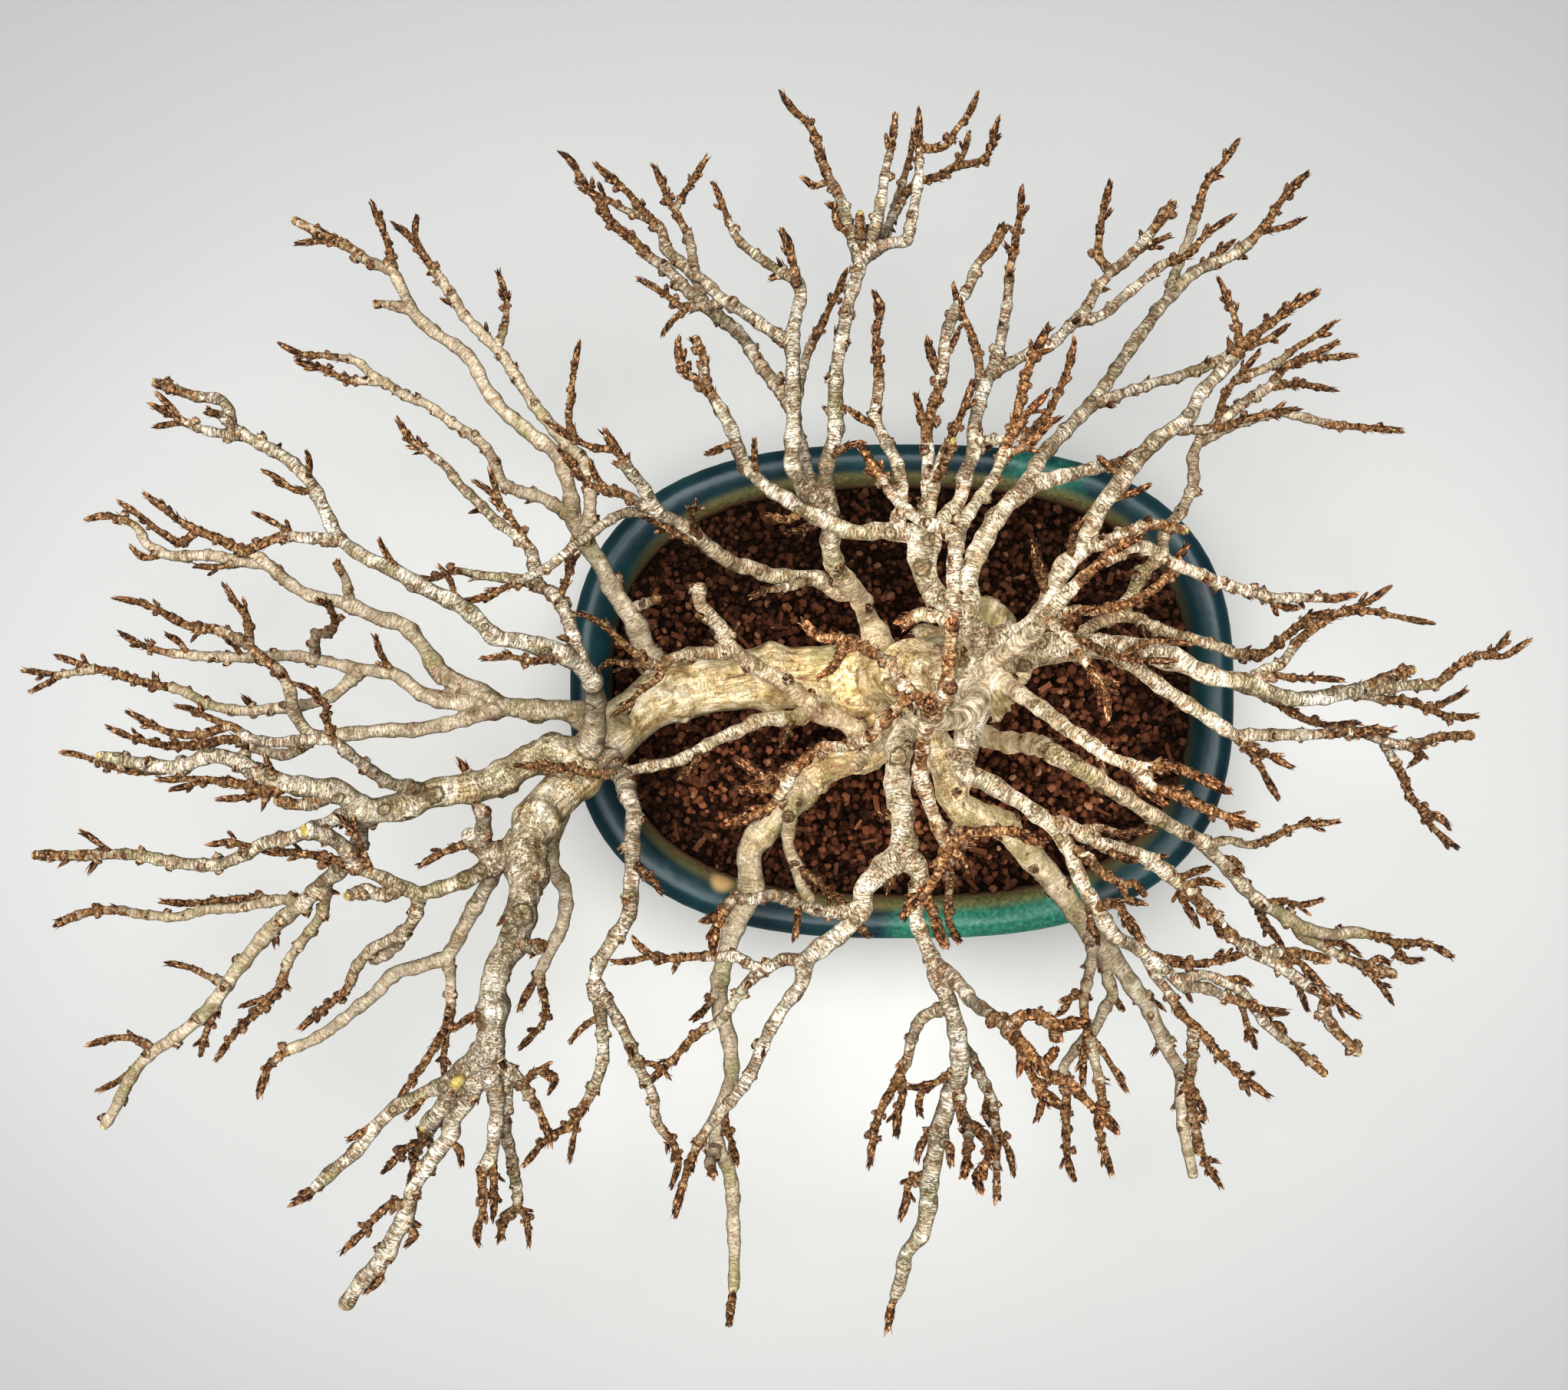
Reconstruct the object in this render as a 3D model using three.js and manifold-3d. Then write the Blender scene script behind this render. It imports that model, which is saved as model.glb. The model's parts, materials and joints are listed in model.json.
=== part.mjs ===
// A trident maple bonsai in winter, without leaves, in an oval glazed pot. Millimetres, +Z up.
// The wood is drawn as a plan, read as an eye EYE_HEIGHT above the table sees it, true at PLAN_HEIGHT.
import * as THREE from "three";
import { mergeVertices } from "three/addons/utils/BufferGeometryUtils.js";
import Module from "manifold-3d";

const wasm = await Module();
wasm.setup();

// Eye and plan
const EYE_HEIGHT = 580;
const PLAN_HEIGHT = 120;

// Pot
const POT_LENGTH = 180;
const POT_WIDTH = 134;
const POT_CENTRE = [32, 1];
const OVAL_POWER = 2.7;
const RIM_HEIGHT = 56;
const FOOT_HEIGHT = 7;
const FLOOR_THICK = 6;
const WALL_THICK = 5.5;
const LIP_WIDTH = 10.5;
const LIP_THICK = 6;
const DRAIN_RADIUS = 7;
const DRAIN_SPACING = 84;
const POT_SIDES = 56;
const FOOT_PLACES = [0.17, 0.83, 1.17, 1.83];
const FOOT_HALF_SPAN = 0.23;
const FOOT_BAR = 8.5;
const FOOT_TAPER = 0.8;
const FOOT_INSET = 12;

// Soil
const SOIL_EDGE = 51;
const SOIL_CROWN = 57.5;
const SOIL_RINGS = 9;
const GRANULE_RELIEF = 0.9;
const FIT = 0.35;

// Drain screens and their wires
const SCREEN_SIZE = 21;
const SCREEN_THICK = 1.2;
const SCREEN_HOLES = 4;
const SCREEN_BAR = 1.5;
const SCREEN_ROOM = 4.5;
const WIRE_RADIUS = 0.8;
const WIRE_SIDES = 6;
const WIRE_CORNER = 0.9;
const WIRE_TAIL = 4;

// Wood
const BEND_KEPT = 1.7;
const SHORTEST_STRAND = 20;
const BUD_LENGTH = 5;
const BUD_SHARE = 0.7;
const BUD_SHOULDER = 0.6;
const BUD_SWELL = 1.35;

// Each strand: name, what it grows from, heights, widths, end, then its way across the plan.
// Heights and widths are spread evenly over the way. A strand starts at its parent's height.
// The end is a bud, a saw cut, a blunt knob, or a join where other strands carry on.
const WOOD = `
trunk - 44/66/92/110/130/150 27/21/18/16.5/14/9 join 45,8 38,5 25,2 26,5 34,5 43,1
root1 trunk 58/53 18/17/11 knob 43,7 46,13 48,18.5
root2 trunk 57/52 15/12/8 knob 43,7 51,8 57,6.5
root3 trunk 56/52 13/10/8 knob 43,7 48,1 51,-4
root4 trunk 56/52 11/8/5 knob 43,7 40,-1 38,-6
root5 trunk 56/52 11/8/5 knob 43,7 35,12 30,16
leader trunk 170/190/208/224/235 7.6/6.8/6/5.2/4.4/3.2 bud 43,1 46,0 43,-5 38,-6 35.5,-4.5 34,-1
knucklenorth trunk 154/158/160 9/8/7.6/7.4 join 43,1 46,7 47,13 43,18
knucklesouth trunk 154/157 9/8/7.4 join 43,1 44,-6 43,-13
column knucklenorth 162/163 7.4/7/6.6/7.2 join 43,18 38,21 35,25 33,31 32,38
top1 leader 228/230/230 4.6/3.8/3.4 join 36,-4 38,0 39,8 40,18
top2 leader 222/216 4/3.4/3 join 36.5,-5 30,0 26,-4 20,-10
top3 leader 214/208 4/3.6 join 37,-3 34,-6 33,-12 32,-18
top4 top2 212/206 3.4/2.6 bud 30,0 24,8 19,11 15,13 8,14 4,18
top5 top4 204 2.4/2.2 bud 15,13 12,7 8,4
top6 top1 226 3/3.6/4 knob 39,14 38,18 33,19 28,17
top7 top1 222/214/206 4/3.2/2.4 bud 40,18 40,28 40,38 33,41 28,45 24,50 20,56 18,60
top8 top7 212/205/200 3.4/3/2.4 bud 40,34 42,40 46,46 50,52 53,60 55,66 57,74 59,80 63,87.5
top9 top8 202 2.4/2 bud 54,62 58,67 63,72
top10 top8 208 2.4/2 bud 52,57 59,60 62,64 66,66
high1 leader 188/196/200 5.4/4.4/3.4/2.4 bud 41,-1 50,8 56,13 62,18 66,23 71,28 76,32 81,36 85,37.5
high2 high1 192/186 3/2.4 bud 62,18 68,20 75,20 80,21 85,23.5 90,27 93,32 96,36
high3 high1 190/182/176 3.4/3/2.2 bud 76,32 84,35 88,34 92,31.5 100,28 105,26 112,24 118,23 125,23 131,23
  136,24
high4 high3 174 2.2/2 bud 112,24 118,21 122,20.5
high5 high1 204/202 2.8/2.2 bud 62,18 66,15 70,10 73,5 76,0 77,-6
high6 high5 200 2.2/2 bud 73,5 79,2.5
high7 leader 182/194/200/200 5.4/4.4/3.6/3/2.8 bud 41,-1 50,4 55,1 62,-4 67,-8 72,-11 78,-15 84,-17 92,-17
  98,-19.2 102,-21 106,-23.5
high8 high7 200/196 3.2/3/2.8 bud 83,-16.7 88,-22 92,-23 98,-26 104,-28.3 108,-30.2 112.4,-31.4
high9 high7 194 2.8/2.8 bud 83,-16.7 85,-21 88,-24 91,-26
high10 top3 206/202 4.2/3.8/3.6 join 32,-18 34,-25 36.2,-30.6 38.5,-36
high11 high10 202/200 3.4/3/2.8 bud 38.5,-36 42,-34 45.4,-32.8 55.4,-32.8 61.8,-35.6
high12 high10 202/200 3.4/3/2.8 bud 38.5,-36 36.2,-42.7 33.3,-47 30.5,-49.1 27.6,-53.4
high13 high12 200 3/2.8 bud 33.3,-47 34.8,-50.5 36.2,-55.5 39,-60.5
high14 high10 200 2.4/2.4 bud 38.5,-36 42.6,-39.2 43.4,-42.4
high15 top2 208/202 3.4/3/2.6 bud 20,-10 15,-12 8,-13 3,-17 -3,-20 -11,-15
high16 high15 202 2.8/2.6 bud 3,-17 -3,-22 -12,-22.5
high17 high15 198 3/3 bud 3,-17 -3,-26 -8,-29 -14,-30
limb trunk 92/94/98/105/114/124/135 17/16.5/16/15/14/12/10 join 25,2 10,4 0,4 -15,3 -28,0 -38,-7 -45,-14
  -52,-22 -58,-29 -61,-36
west1 limb 116/113/112 6/5.5/5.2/5 join -42,-10 -50,-4 -60,-3.5 -68,-2 -73,1 -80,4
west2 west1 112/110/108 4.6/3.6/2.8/2.2 bud -80,4 -82,6 -86,12 -91,17 -95,18 -105,22 -112,23.5 -118,27
  -123,31 -128,31.5 -135,33 -147,33.5 -151,36 -153,39.5 -158,42 -162,42.5 -166,41.5
west3 west2 106 2.4/2 bud -128,31.5 -133,30.5 -140,30.5
west4 west2 113/114 3/2.6/2.2 bud -118,27 -125,33 -130,35 -139,39 -142,40.5 -146,43.5 -152,48
west5 west4 110 2.4/2 bud -139,39 -143,36 -147,38 -152,42 -158,46
west6 west2 112 2/2 bud -147,33.5 -152,32.5 -155,35.5
west7 west2 118 2.6/2.2 knob -103,21 -104,27 -106,31
west8 west1 108/107/105 4.6/3.6/2.8/2.2 bud -68,-2 -82,-1 -88,2 -92,5 -100,6 -105,7 -113,9 -130,9 -140,9.5
  -150,11 -158,15
west9 west8 110/108/106 3.2/2.6/2.2 bud -100,6 -107,0 -112,-2 -120,-3 -130,-3.5 -137,-2 -143,1 -152,3
  -160,5.5 -166,7 -173,9.5
west10 west9 104 2.2/2 bud -163,6 -172,5 -181,6
west11 west10 102 2/1.8 bud -171,5 -175,2.5 -179,0.5
west12 west8 116 2.2/2 bud -93,5 -95.5,10 -97,14.5
west13 west8 130/146 2.6/2 bud -111,8.5 -111,14 -107.5,15 -106.5,18 -108,21 -111,23
west14 west1 114/119/121 4.2/3.4/2.8 join -66,-3 -78,-6.5 -85,-8 -96,-8.5 -106,-9.5 -111,-10 -116,-4 -117,1
  -120,6 -124,9 -127,12
west15 west14 124 2.8/2 bud -127,12 -127,18 -130,22 -133,26.5
west16 west14 120/118 2.8/2 bud -127,12 -133,15 -141,16.3 -148,20 -153,22 -159,23
west17 west14 118/116 3/2.6/2.2 bud -111,-10 -118,-14 -124,-13 -130,-10.5 -140,-12 -146,-12 -152,-11
  -160.5,-7.5
west18 west8 112 2/2 bud -128,9 -132,13.5 -135,15
west19 west8 110 2/2 bud -141,9.6 -144,13 -147,14.5
shelf1 limb 128/138/142/143/142 9/7.6/5.4/4.4/3.4 cut -46,-15 -58,-15 -70,-21 -85,-24 -93,-27 -100,-27
  -105,-23 -110,-22 -118,-21 -124,-19 -129,-16 -136,-14.5 -143,-17 -150,-16.5 -162,-14.5
shelf2 shelf1 140/138 2.4/2 bud -143,-17 -150,-18.2 -160,-16.8 -166,-14.5 -172,-13.5
shelf3 shelf1 143/142 3.4/2.8/2.2 bud -118,-21 -122,-22.6 -128,-21.5 -137,-20 -149,-20
shelf4 shelf3 139 2/2 bud -137,-20 -141,-21.5 -146,-22.5
shelf5 shelf1 140 2.8/2.2 bud -118,-21 -124,-23.6 -130,-24.4 -135,-24.8
shelf6 shelf1 149 2.2/2 bud -119.5,-20.6 -122,-17 -123,-14
shelf7 shelf1 140 3.4/3.2 cut -107,-22.7 -110,-25 -115,-26 -120,-25
shelf8 shelf1 150/153/152 3.6/3/2.6/2.2 bud -84,-24 -88,-22 -93,-21 -97,-18.5 -102,-15 -107,-11 -113,-10.5
  -120,-11 -127,-10 -131,-7.5 -138,-9.5 -145,-9 -150,-7 -156,-3.5
shelf9 shelf8 155 2.2/2 bud -131,-7.5 -137,-5 -140,-3.5 -145,-2.5
shelf10 shelf8 160/164 2.4/2 bud -107,-11 -108.5,-5 -109,-2 -112,1 -117,3
shelf11 shelf1 142/141/140 4/3.4/2.8 cut -99,-27 -105,-29 -110,-31 -117,-34 -123,-35 -128,-38 -133,-40
  -140,-40 -148,-39 -153,-38 -168,-38 -177.5,-38
shelf12 shelf11 144 2/2 bud -159,-38 -164,-34 -167,-32
shelf13 shelf11 146 2.6/2.2 bud -126,-37 -131,-35 -137,-35.5
drop1 shelf1 122/110/106/104 4.6/4.2/3.6/3 cut -93,-27 -100,-30 -101,-36 -105,-41 -110,-45 -115,-50 -122,-56
  -128,-63 -133,-70 -138,-76 -144,-81 -150,-85 -155,-91 -158,-97 -161,-102
drop2 drop1 108/106 2.8/2.2 bud -114,-49 -122,-48.5 -130,-48.5 -140,-49.5 -148,-49
drop3 drop2 108/107 2.6/2.4 cut -120,-48.6 -130,-50.3 -137,-51 -143,-52.5 -150,-52.2 -158,-51 -165,-51.5
  -172,-54
drop4 drop1 104 2.4/2 bud -132,-68.5 -138,-66 -143,-64 -147,-63.5
drop5 drop1 102 2.4/2 bud -149,-84.4 -154,-81.5 -160,-81.5 -165.5,-83
drop6 drop1 102 2.4/2 bud -152,-87.5 -157,-91 -163,-94
drop7 drop1 112/106/102 3/2.6/2.2 bud -109,-44 -109,-50 -113,-57 -117,-62 -120,-70 -125,-75 -130,-80
  -135,-87
drop8 drop7 104 2/2 bud -121,-71 -129,-74
drop9 drop1 100 2.2/2 bud -134,-71.5 -137,-80 -138.5,-86
crest1 limb 142/152/155/155/154/152/150 6/5/4.6/4.4/4/3.4/3/2.8 cut -45,-14 -46,-12 -44.5,-4 -45,1 -46,4
  -48,6.5 -51,9 -55,11 -60,12 -64,13 -69,14 -73,18 -78,22 -84,25 -88,27 -92,29.5 -100,33 -106,38 -109,44
  -112,50 -116,54.5 -122,58.5 -128,61.5 -131,64 -131.5,67 -133,69.5 -140,71 -149,74
crest2 crest1 150 2.8/2.2 bud -128,61.5 -134,62 -140,63.5 -145,66.5 -150.5,69
crest3 crest2 148 2/2 bud -142,64.5 -149.5,63.5
crest4 crest1 154/153 3/2.6 cut -105,37 -112,37 -118,37.5 -122,36.5 -128,34
crest5 crest4 154 2/2 bud -116,37.4 -121,41 -126,43.5
crest6 crest1 154 2.4/2 bud -111,48 -117,49 -120,51.5 -124,53.3
crest7 crest1 160 2/2 bud -113,51.3 -112.5,54 -113,58
crest8 crest1 156/157 2.6/2.2 bud -50,8 -55,8.5 -60,8 -65,9 -72,8.5
crest9 crest2 152 2/2 bud -143,65.3 -145.5,68.5 -149,72
crest10 crest1 158 2.4/2.2 knob -130,63 -134,66.5 -136,67
crest11 crest1 158 2.2/2 bud -90,28.3 -94,33 -96,37
crest12 crest1 158 2.2/2 bud -78,22 -79,27 -82,31
fan1 crest1 146/142/138 4/3.6/3.2 join -46,4 -48,8 -50,14 -52,20 -55,24 -58,26 -59,30
fan2 fan1 138/136 3/2.6/2.2 bud -59,30 -60,34 -64,38 -68,41 -72,45 -77,50 -80,54 -84,57 -89,61 -92,66
fan3 fan2 136 2.4/2 bud -60,35 -64,41 -67,45 -70,48.5 -74,51
fan4 fan1 138/136 2.8/2.2 bud -57,25.3 -60,27 -68,28 -73,28.5 -78,29.5 -84,27.5 -90,28
fan5 fan1 140 2.4/2 bud -54,22.5 -52,26 -51,30 -50,38
fan6 fan3 140 2/2 bud -67,45 -69,51.5 -70,54
nook1 limb 104/106/108 6/5.2/5 join -27,0 -33,11 -36,18 -40,24 -43,30 -47,36 -50,42
nook2 nook1 108/107/106 4/3.4/2.6 cut -50,42 -51,50 -54,57 -60,62 -67,68 -71,73 -74,79 -77,82 -83,86 -88,91
  -91,97 -93,100.5 -98,102.5 -103,106 -109,109 -116,112.5
nook3 nook2 104 2.4/2 bud -92.5,99.5 -94,107 -96,112 -98,117.5
nook4 nook2 108 2.2/2.2 knob -88,91 -94,92.5 -97,92.5
nook5 nook2 104 2/2 bud -105,107 -112,107.5 -116,107
nook6 nook1 108/106 3.4/2.6/2.2 bud -50,42 -54,45 -58,47 -62,48 -66,50 -69,56 -72,60 -76,63 -80,65.5 -85,69
  -90,71 -95,74 -103,74.5 -110,77.5 -116,79
nook7 nook6 108 2.4/2 bud -94,73.5 -97,75.5 -101,79 -108,80.5 -115,81 -120,83.5
nook8 nook1 108/106/104 3.6/3/2.4 bud -47,36 -46,43 -46,50 -48,56 -52,60 -56,65 -60,70 -64,76 -68,82 -72,86
  -76,90 -79,95 -84,102 -88,108 -90,110 -93,112
nook9 nook8 104 2/2 bud -68,82 -66,89 -66,94 -68,101
nook10 nook8 102 2/2 bud -87,106.5 -87.5,110 -87,114
nook11 nook1 112 2.6/2.4 knob -37,20 -32,22 -30,23
arch1 north1 124/136/146/152/154 4.6/4/3.6/3 bud 17,24 12,25 8,27.5 0,28 -8,30 -15,33 -20,37 -25,41 -30,43.5
  -32,47 -34,50 -37,53.5 -39,57 -41,60 -43,63
arch2 arch1 156 2.4/2 bud -40,58 -45,58.5 -49,60 -54,63 -57,65.5
arch3 arch1 154/154 2.8/2.4/2.2 bud -30,43.5 -36,46.5 -41,48.5 -46,50 -49,53 -51,56 -54,58.5
arch4 arch1 142/146 2.4/2 bud -18,35.4 -25,38 -30,40.5 -34,42.5
arch5 arch1 152/150 2.6/2.2 bud -28,42.5 -38,43 -42,41 -46,38 -50,35 -54,31.5 -60,28.5 -65,26 -70,23.5
  -77,22
arch6 arch2 162/164 2.2/2 bud -50,60.5 -51,66 -50.5,72 -49.5,78 -48.5,84
arch7 arch1 150 2.2/2 bud 5,27.6 3,26 -4,25 -8,23.5
arch8 arch1 158 2.2/2 bud -20,37 -22,42 -21,46
arch9 arch3 158 2.2/2.2 bud -42,48.8 -45,52.5 -46,56
under1 trunk 104/116/120/122 6/5/4.2/3.6 bud 26,3 25,-8 21,-11 18,-9 13,-6 8,-4 5,-1 0,3 -5,5.5 -10,9 -13,12
  -15,16 -18,19 -20,22 -20,26
under2 under1 124/128 3.4/2.8/2.2 bud -12,11 -16,10 -22,10 -27,8.5 -30,7 -34,9 -38,12 -41,15 -45,18 -49,19.5
under3 under2 128 2.4/2 bud -30,7 -37,7 -41,8 -45,5
under4 under2 120 2.4/2 bud -27,8 -31,3 -34,1 -38,-3 -41,-5
under5 under1 122/128/130/130 4/3.6/3/2.4 bud 7,-3 4,-5 0,-5.5 -6,-6 -10,-8 -15,-10 -20,-13 -25,-15.5
  -32,-17 -40,-18.5 -46,-18.5 -52,-17 -58,-17 -64,-16.5
under6 under5 130 2/2 bud 2,-5.2 1,-9 -1,-12
under7 under5 136 2.2/2 bud -20,-13 -22,-17 -25,-20
fork1 limb 140/148/150/150 5.4/4.6/4.2/3.8 join -44,-13 -40,-17 -38,-20 -37,-24 -35.5,-28 -36,-35 -36,-45
  -37,-52 -41,-59 -44,-64 -45,-68
fork2 fork1 150/150/148 3.4/3/2.4 bud -45,-68 -44,-73 -43,-80 -43,-88 -45,-93 -48,-98 -51,-102 -56,-105
  -62,-112
fork3 fork2 146 2/2 bud -49,-99.4 -50,-105 -51,-111
fork4 fork1 150/148/146 3.2/2.8/2.2 bud -45,-68 -40,-76 -37,-82 -34,-89 -31,-95 -30,-101 -26,-107 -25,-110
  -27,-117
fork5 fork1 158 2.4/2.2 bud -36,-40 -32,-43 -29,-47
fork6 fork2 154 2.2/2 bud -43.5,-76 -48,-79 -51,-83
fork7 fork4 152 2.2/2 bud -35,-87 -30,-88 -27,-91
heel1 limb 142/148/151/150 9.5/8/7.4/7.6/9 cut -61,-36 -61,-43 -62,-50 -64,-58 -68,-65 -69,-70 -69,-78
  -71,-86 -75.7,-90
heel2 heel1 150/150/150 4.4/3.8/3.6/3.2 bud -72,-87 -77.8,-90.5 -81.2,-92.5 -84.6,-93.6 -88,-95.6
  -92.2,-97.7 -94.2,-99.7 -96.6,-102 -99.7,-106.2 -102.4,-109 -105.8,-111.7 -109.3,-115 -112.3,-117.8
  -117,-121
heel3 heel2 152 2.6/2.4 bud -96.6,-102 -101,-104.2 -104,-105.7
heel4 heel1 146 5/4.4 cut -73,-89 -77.8,-91.8 -80.5,-96.6 -82.6,-99.7 -85,-102.1
heel5 heel1 150/150/149 5/4.6/3.8/5/3.8 cut -72,-88 -74,-93 -76.4,-98 -78.5,-100.7 -79.2,-104.2 -81.6,-107.6
  -84,-111 -86.3,-114.4 -88,-117.8 -88.7,-121.3 -90.4,-125 -92.5,-128.1 -93.5,-131.2 -96,-134.6 -99,-137.7
  -101.7,-141.1 -104.1,-144.5
heel6 heel5 150 2.8/2.2 bud -88.7,-121.3 -93.5,-120.9 -95.9,-123 -98.3,-125.7 -101,-128.4 -105.2,-132.5
heel7 heel5 151 2.6/2.4 bud -91,-126 -87.5,-127.6 -89.8,-131
heel8 heel5 150 2.6/2.4 bud -94.5,-133 -95.9,-138.4 -99.5,-142
heel9 heel1 150/148/146 4.4/3.8/3/2.4 bud -71,-86 -68.6,-93.6 -68.2,-98 -68.6,-102.8 -68.9,-107.2
  -69.6,-109.6 -71.3,-112.4 -71.6,-115.8 -71.3,-120.2 -72,-124.3 -73,-127.8 -72.1,-131
heel10 heel9 147 2.8/2.4 bud -69.4,-109 -68.9,-112.4 -68.6,-117.5 -68.6,-121 -69.2,-125
heel11 heel1 140/136/134 3.4/2.8/2.4 cut -69,-84 -66,-92 -66.2,-102 -65.5,-105.5 -64.4,-109.6 -63.8,-113.4
  -63.2,-117.5 -63.4,-121.3 -65.5,-123.3 -66.8,-126 -67.2,-128.6
heel12 heel11 134 2.4/2 bud -63.4,-121.3 -61.4,-123.3 -60.7,-126.7 -60.3,-131
heel13 heel1 154/156 3.6/3/2.4 bud -70,-86 -64,-90 -60,-95 -57,-101 -55,-107
heel14 heel13 158 2.4/2.2 bud -62,-92.4 -58,-89 -54,-91 -56,-95
heel15 heel1 126/118/114 3.4/2.8/2.2 bud -72,-87 -80,-97 -84.6,-104.2 -86.3,-106.2 -89,-107 -92.2,-110.3
  -95.2,-113.2
heel16 heel15 112 2.6/2.4 bud -86,-106 -87.4,-109 -88,-113 -89,-116
heel17 limb 130/134 8/6/5 knob -60,-33 -66,-38 -72,-36 -75,-33
heel18 heel17 142 4/3.6 knob -72,-36 -71,-30 -72,-27
heel19 heel17 134 2.8/2.4 bud -74,-35 -82,-38 -87,-41
heel20 heel17 134/136/138 5/4/3.2/2.6 bud -66,-38 -74,-43 -80,-45.5 -86,-47 -92,-44.5 -100,-41.5 -107,-39
  -115,-37.5 -124,-37
heel21 heel20 146 4/4.2 cut -101,-41 -104,-36 -108,-33.5 -113,-32.3
heel22 heel20 142 2.4/2.2 bud -98,-42 -101,-34 -106,-28
heel23 heel20 138 3.4/3.6 cut -90,-45.5 -95,-47.3 -100,-46.5 -103,-47.5
heel24 heel20 130/124/120 3.4/3/2.4 bud -86,-47 -89,-55 -93,-58 -97,-60 -101,-64 -104,-70 -110,-75
  -115,-79.5
heel25 heel24 122 3.6/3.8 cut -90,-56 -93,-60 -97,-62.5
heel26 limb 118/110/104/102 4.6/4/3.4/2.6 bud -60,-33 -67,-40 -70,-44 -73,-50 -77,-57 -80,-62 -85,-64
  -92,-66 -97,-71 -105,-77 -112,-82 -118,-84.5 -122,-88 -124.7,-95.6
heel27 heel26 106/102 3/2.4 bud -80,-62 -79,-67 -79,-74 -80,-79 -83,-84 -88,-91 -92,-97
heel28 heel27 100 2.4/2.2 bud -80,-79 -80.5,-85 -80.5,-91
heel29 limb 112/108/106 5/4/3.2/2.6 bud -52,-22 -54,-30 -55,-40 -52,-46 -52,-52 -55,-60 -58,-66 -61,-71
  -63,-75
heel30 heel29 104 2.4/2.2 bud -58,-66 -57,-77 -60,-81 -63,-84
heel31 heel1 158 3/3 knob -64,-58 -59,-60 -57,-59
heel32 heel1 158 2.6/2.4 bud -69,-74 -74,-76 -79,-80
heel33 heel2 153 2.6/2.4 bud -84.6,-93.6 -87,-97.5 -90,-100.7
heel34 heel5 152 2.6/2.4 bud -79.5,-105 -77,-108 -76.5,-112
north1 trunk 108/122/134/142 6/5.4/5/5 join 27,5 22,14 20,18 18,23 15,27 12,31 11,36 11,42 8,46
north2 north1 146/148/149/149 4.6/4/3.4/3 bud 8,46 5,49 2,54 2,60 2,70 2,80 2,86 3,91 4,95 3,99 2,103 1,107
  -1,111
north3 north2 150 2.6/2.2 bud 2.4,98 -2,101 -6,104 -10,107 -13,112 -15,117 -17,122
north4 north2 146/142/140 3.4/3/2.4 bud 1.5,83 -5,87.5 -10,91 -15,94 -19,98 -24,102 -28,106 -29,110 -33,114
  -37,119 -41,122.5 -45,126
north5 north4 138 2.2/2 bud -32,113 -38,115 -43,118 -49,120.5
north6 north4 138/134 2.6/2.2 bud -14,93.5 -20,92 -25,92.5 -28,95 -35,99
north7 north6 134 2.2/2 bud -23,92 -27,88 -29,85
north8 north2 150 2.4/2.2 bud 9,43 5,39.5 1,39
north9 north2 128/120/116/114 3.6/3/2.4 bud 2,68 -3,75 -7,80 -11,86 -16,90 -20,93 -23,96 -28,101 -32,104
  -36,108 -41,112 -44,117 -48,122 -50,126 -53,129
north10 north9 114/112 2.6/2.2 bud -19,92.5 -21,100 -22,106 -23,109 -26,115 -28,119 -31,126
north11 north10 112 2/2 bud -26,115 -23,120 -18,128
north12 column 162/160/158/156 4.6/4/3.4/2.6 bud 32,38 24,39 17,38.5 10,41 4,44 0,47 -5,50 -9,54 -11,58
  -12,62 -14,66 -17,71 -19,74 -23,76 -25,80 -25,85
north13 north12 158 2.4/2.6 cut -19,74 -19,80 -21,84.5
north14 north12 164 2.2/2 bud -6.5,51.8 -7,56 -7,61
north15 north12 160 2.4/2.4 bud -11.5,60 -16,58 -19,57
north16 north12 162 2.4/2.4 bud 5,43.5 0,41.5 -4,43
north17 north12 158/157/156 3.4/3/2.4 bud 26,39 28,46 27,54 24,60 22,64 22.5,75 22,87 23,92 21,96
north18 north17 160 2.4/2.4 bud 22,64 19,65 15,68
north19 north1 150/154/156/156 4.4/4/3.6/3.4 join 11,42 10,50 10,55 12,62 12,70 12.5,78 14,86 15,92 17,98
  19,104
north20 north19 158 2.4/2.2 bud 10.5,56 15,59 19,60
north21 north19 155/154 3.2/2.8/2.4 bud 18.5,102 15,112 13,118 10,124 8,130 6,135 2,139 -1,143
north22 north21 160 2.4/2.2 bud 16,109 12.5,112 12,117
north23 north21 156 2.2/2.2 bud 11,122 7,120.5 4,123
north24 north19 156/155 3.2/2.8/2.4 bud 19,104 22,112 23,118 24,124 25.5,130 26.5,138
north25 north24 130/124 2.4/2 bud 21,109 24,110 27,118 30,128 31,134
north26 north25 120 2.2/2 bud 25.5,114 31,121 38,123.5 42,127 44,134
north27 north26 118 2/2 bud 40,125 47,127 51,137
north28 north19 157/157/155 3.2/2.8/2.4 bud 19,104 25,107 29,108 30,112 31,117 32,124 32,132 32,139
north29 north28 154 2.4/2.2 bud 32,129.5 38,130 41,134 44,138 46,143
north30 north1 120/112/110 3/2.6/2.2 bud 8,46 5,56 3,66 4,76 6,82 9,88 12,94 15,101
north31 north24 160 2.4/2.4 cut 19.5,105 18,109 18,114
spire1 column 160/160 3.6/3.4/3 bud 32,38 34,46 34,55 34,62 35,68 37,75 35,80 34,85
spire2 spire1 160/158/156 3/2.8/2.6 cut 36.5,73 38,80 39,88 41,92 44,97 46,102 50,107 52,111
spire3 spire2 160 2.2/2 bud 37.8,79 40,83 42,88
spire4 spire1 164 2.4/2.2 bud 34,62 32,68 31,72
spire5 column 166/168 3.4/2.8/2.4 bud 33,34 36,52 37,56 40,62 43,69 45,75
spire6 spire5 172 2.4/2.6 cut 35.8,50 38,55 40,60
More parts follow.
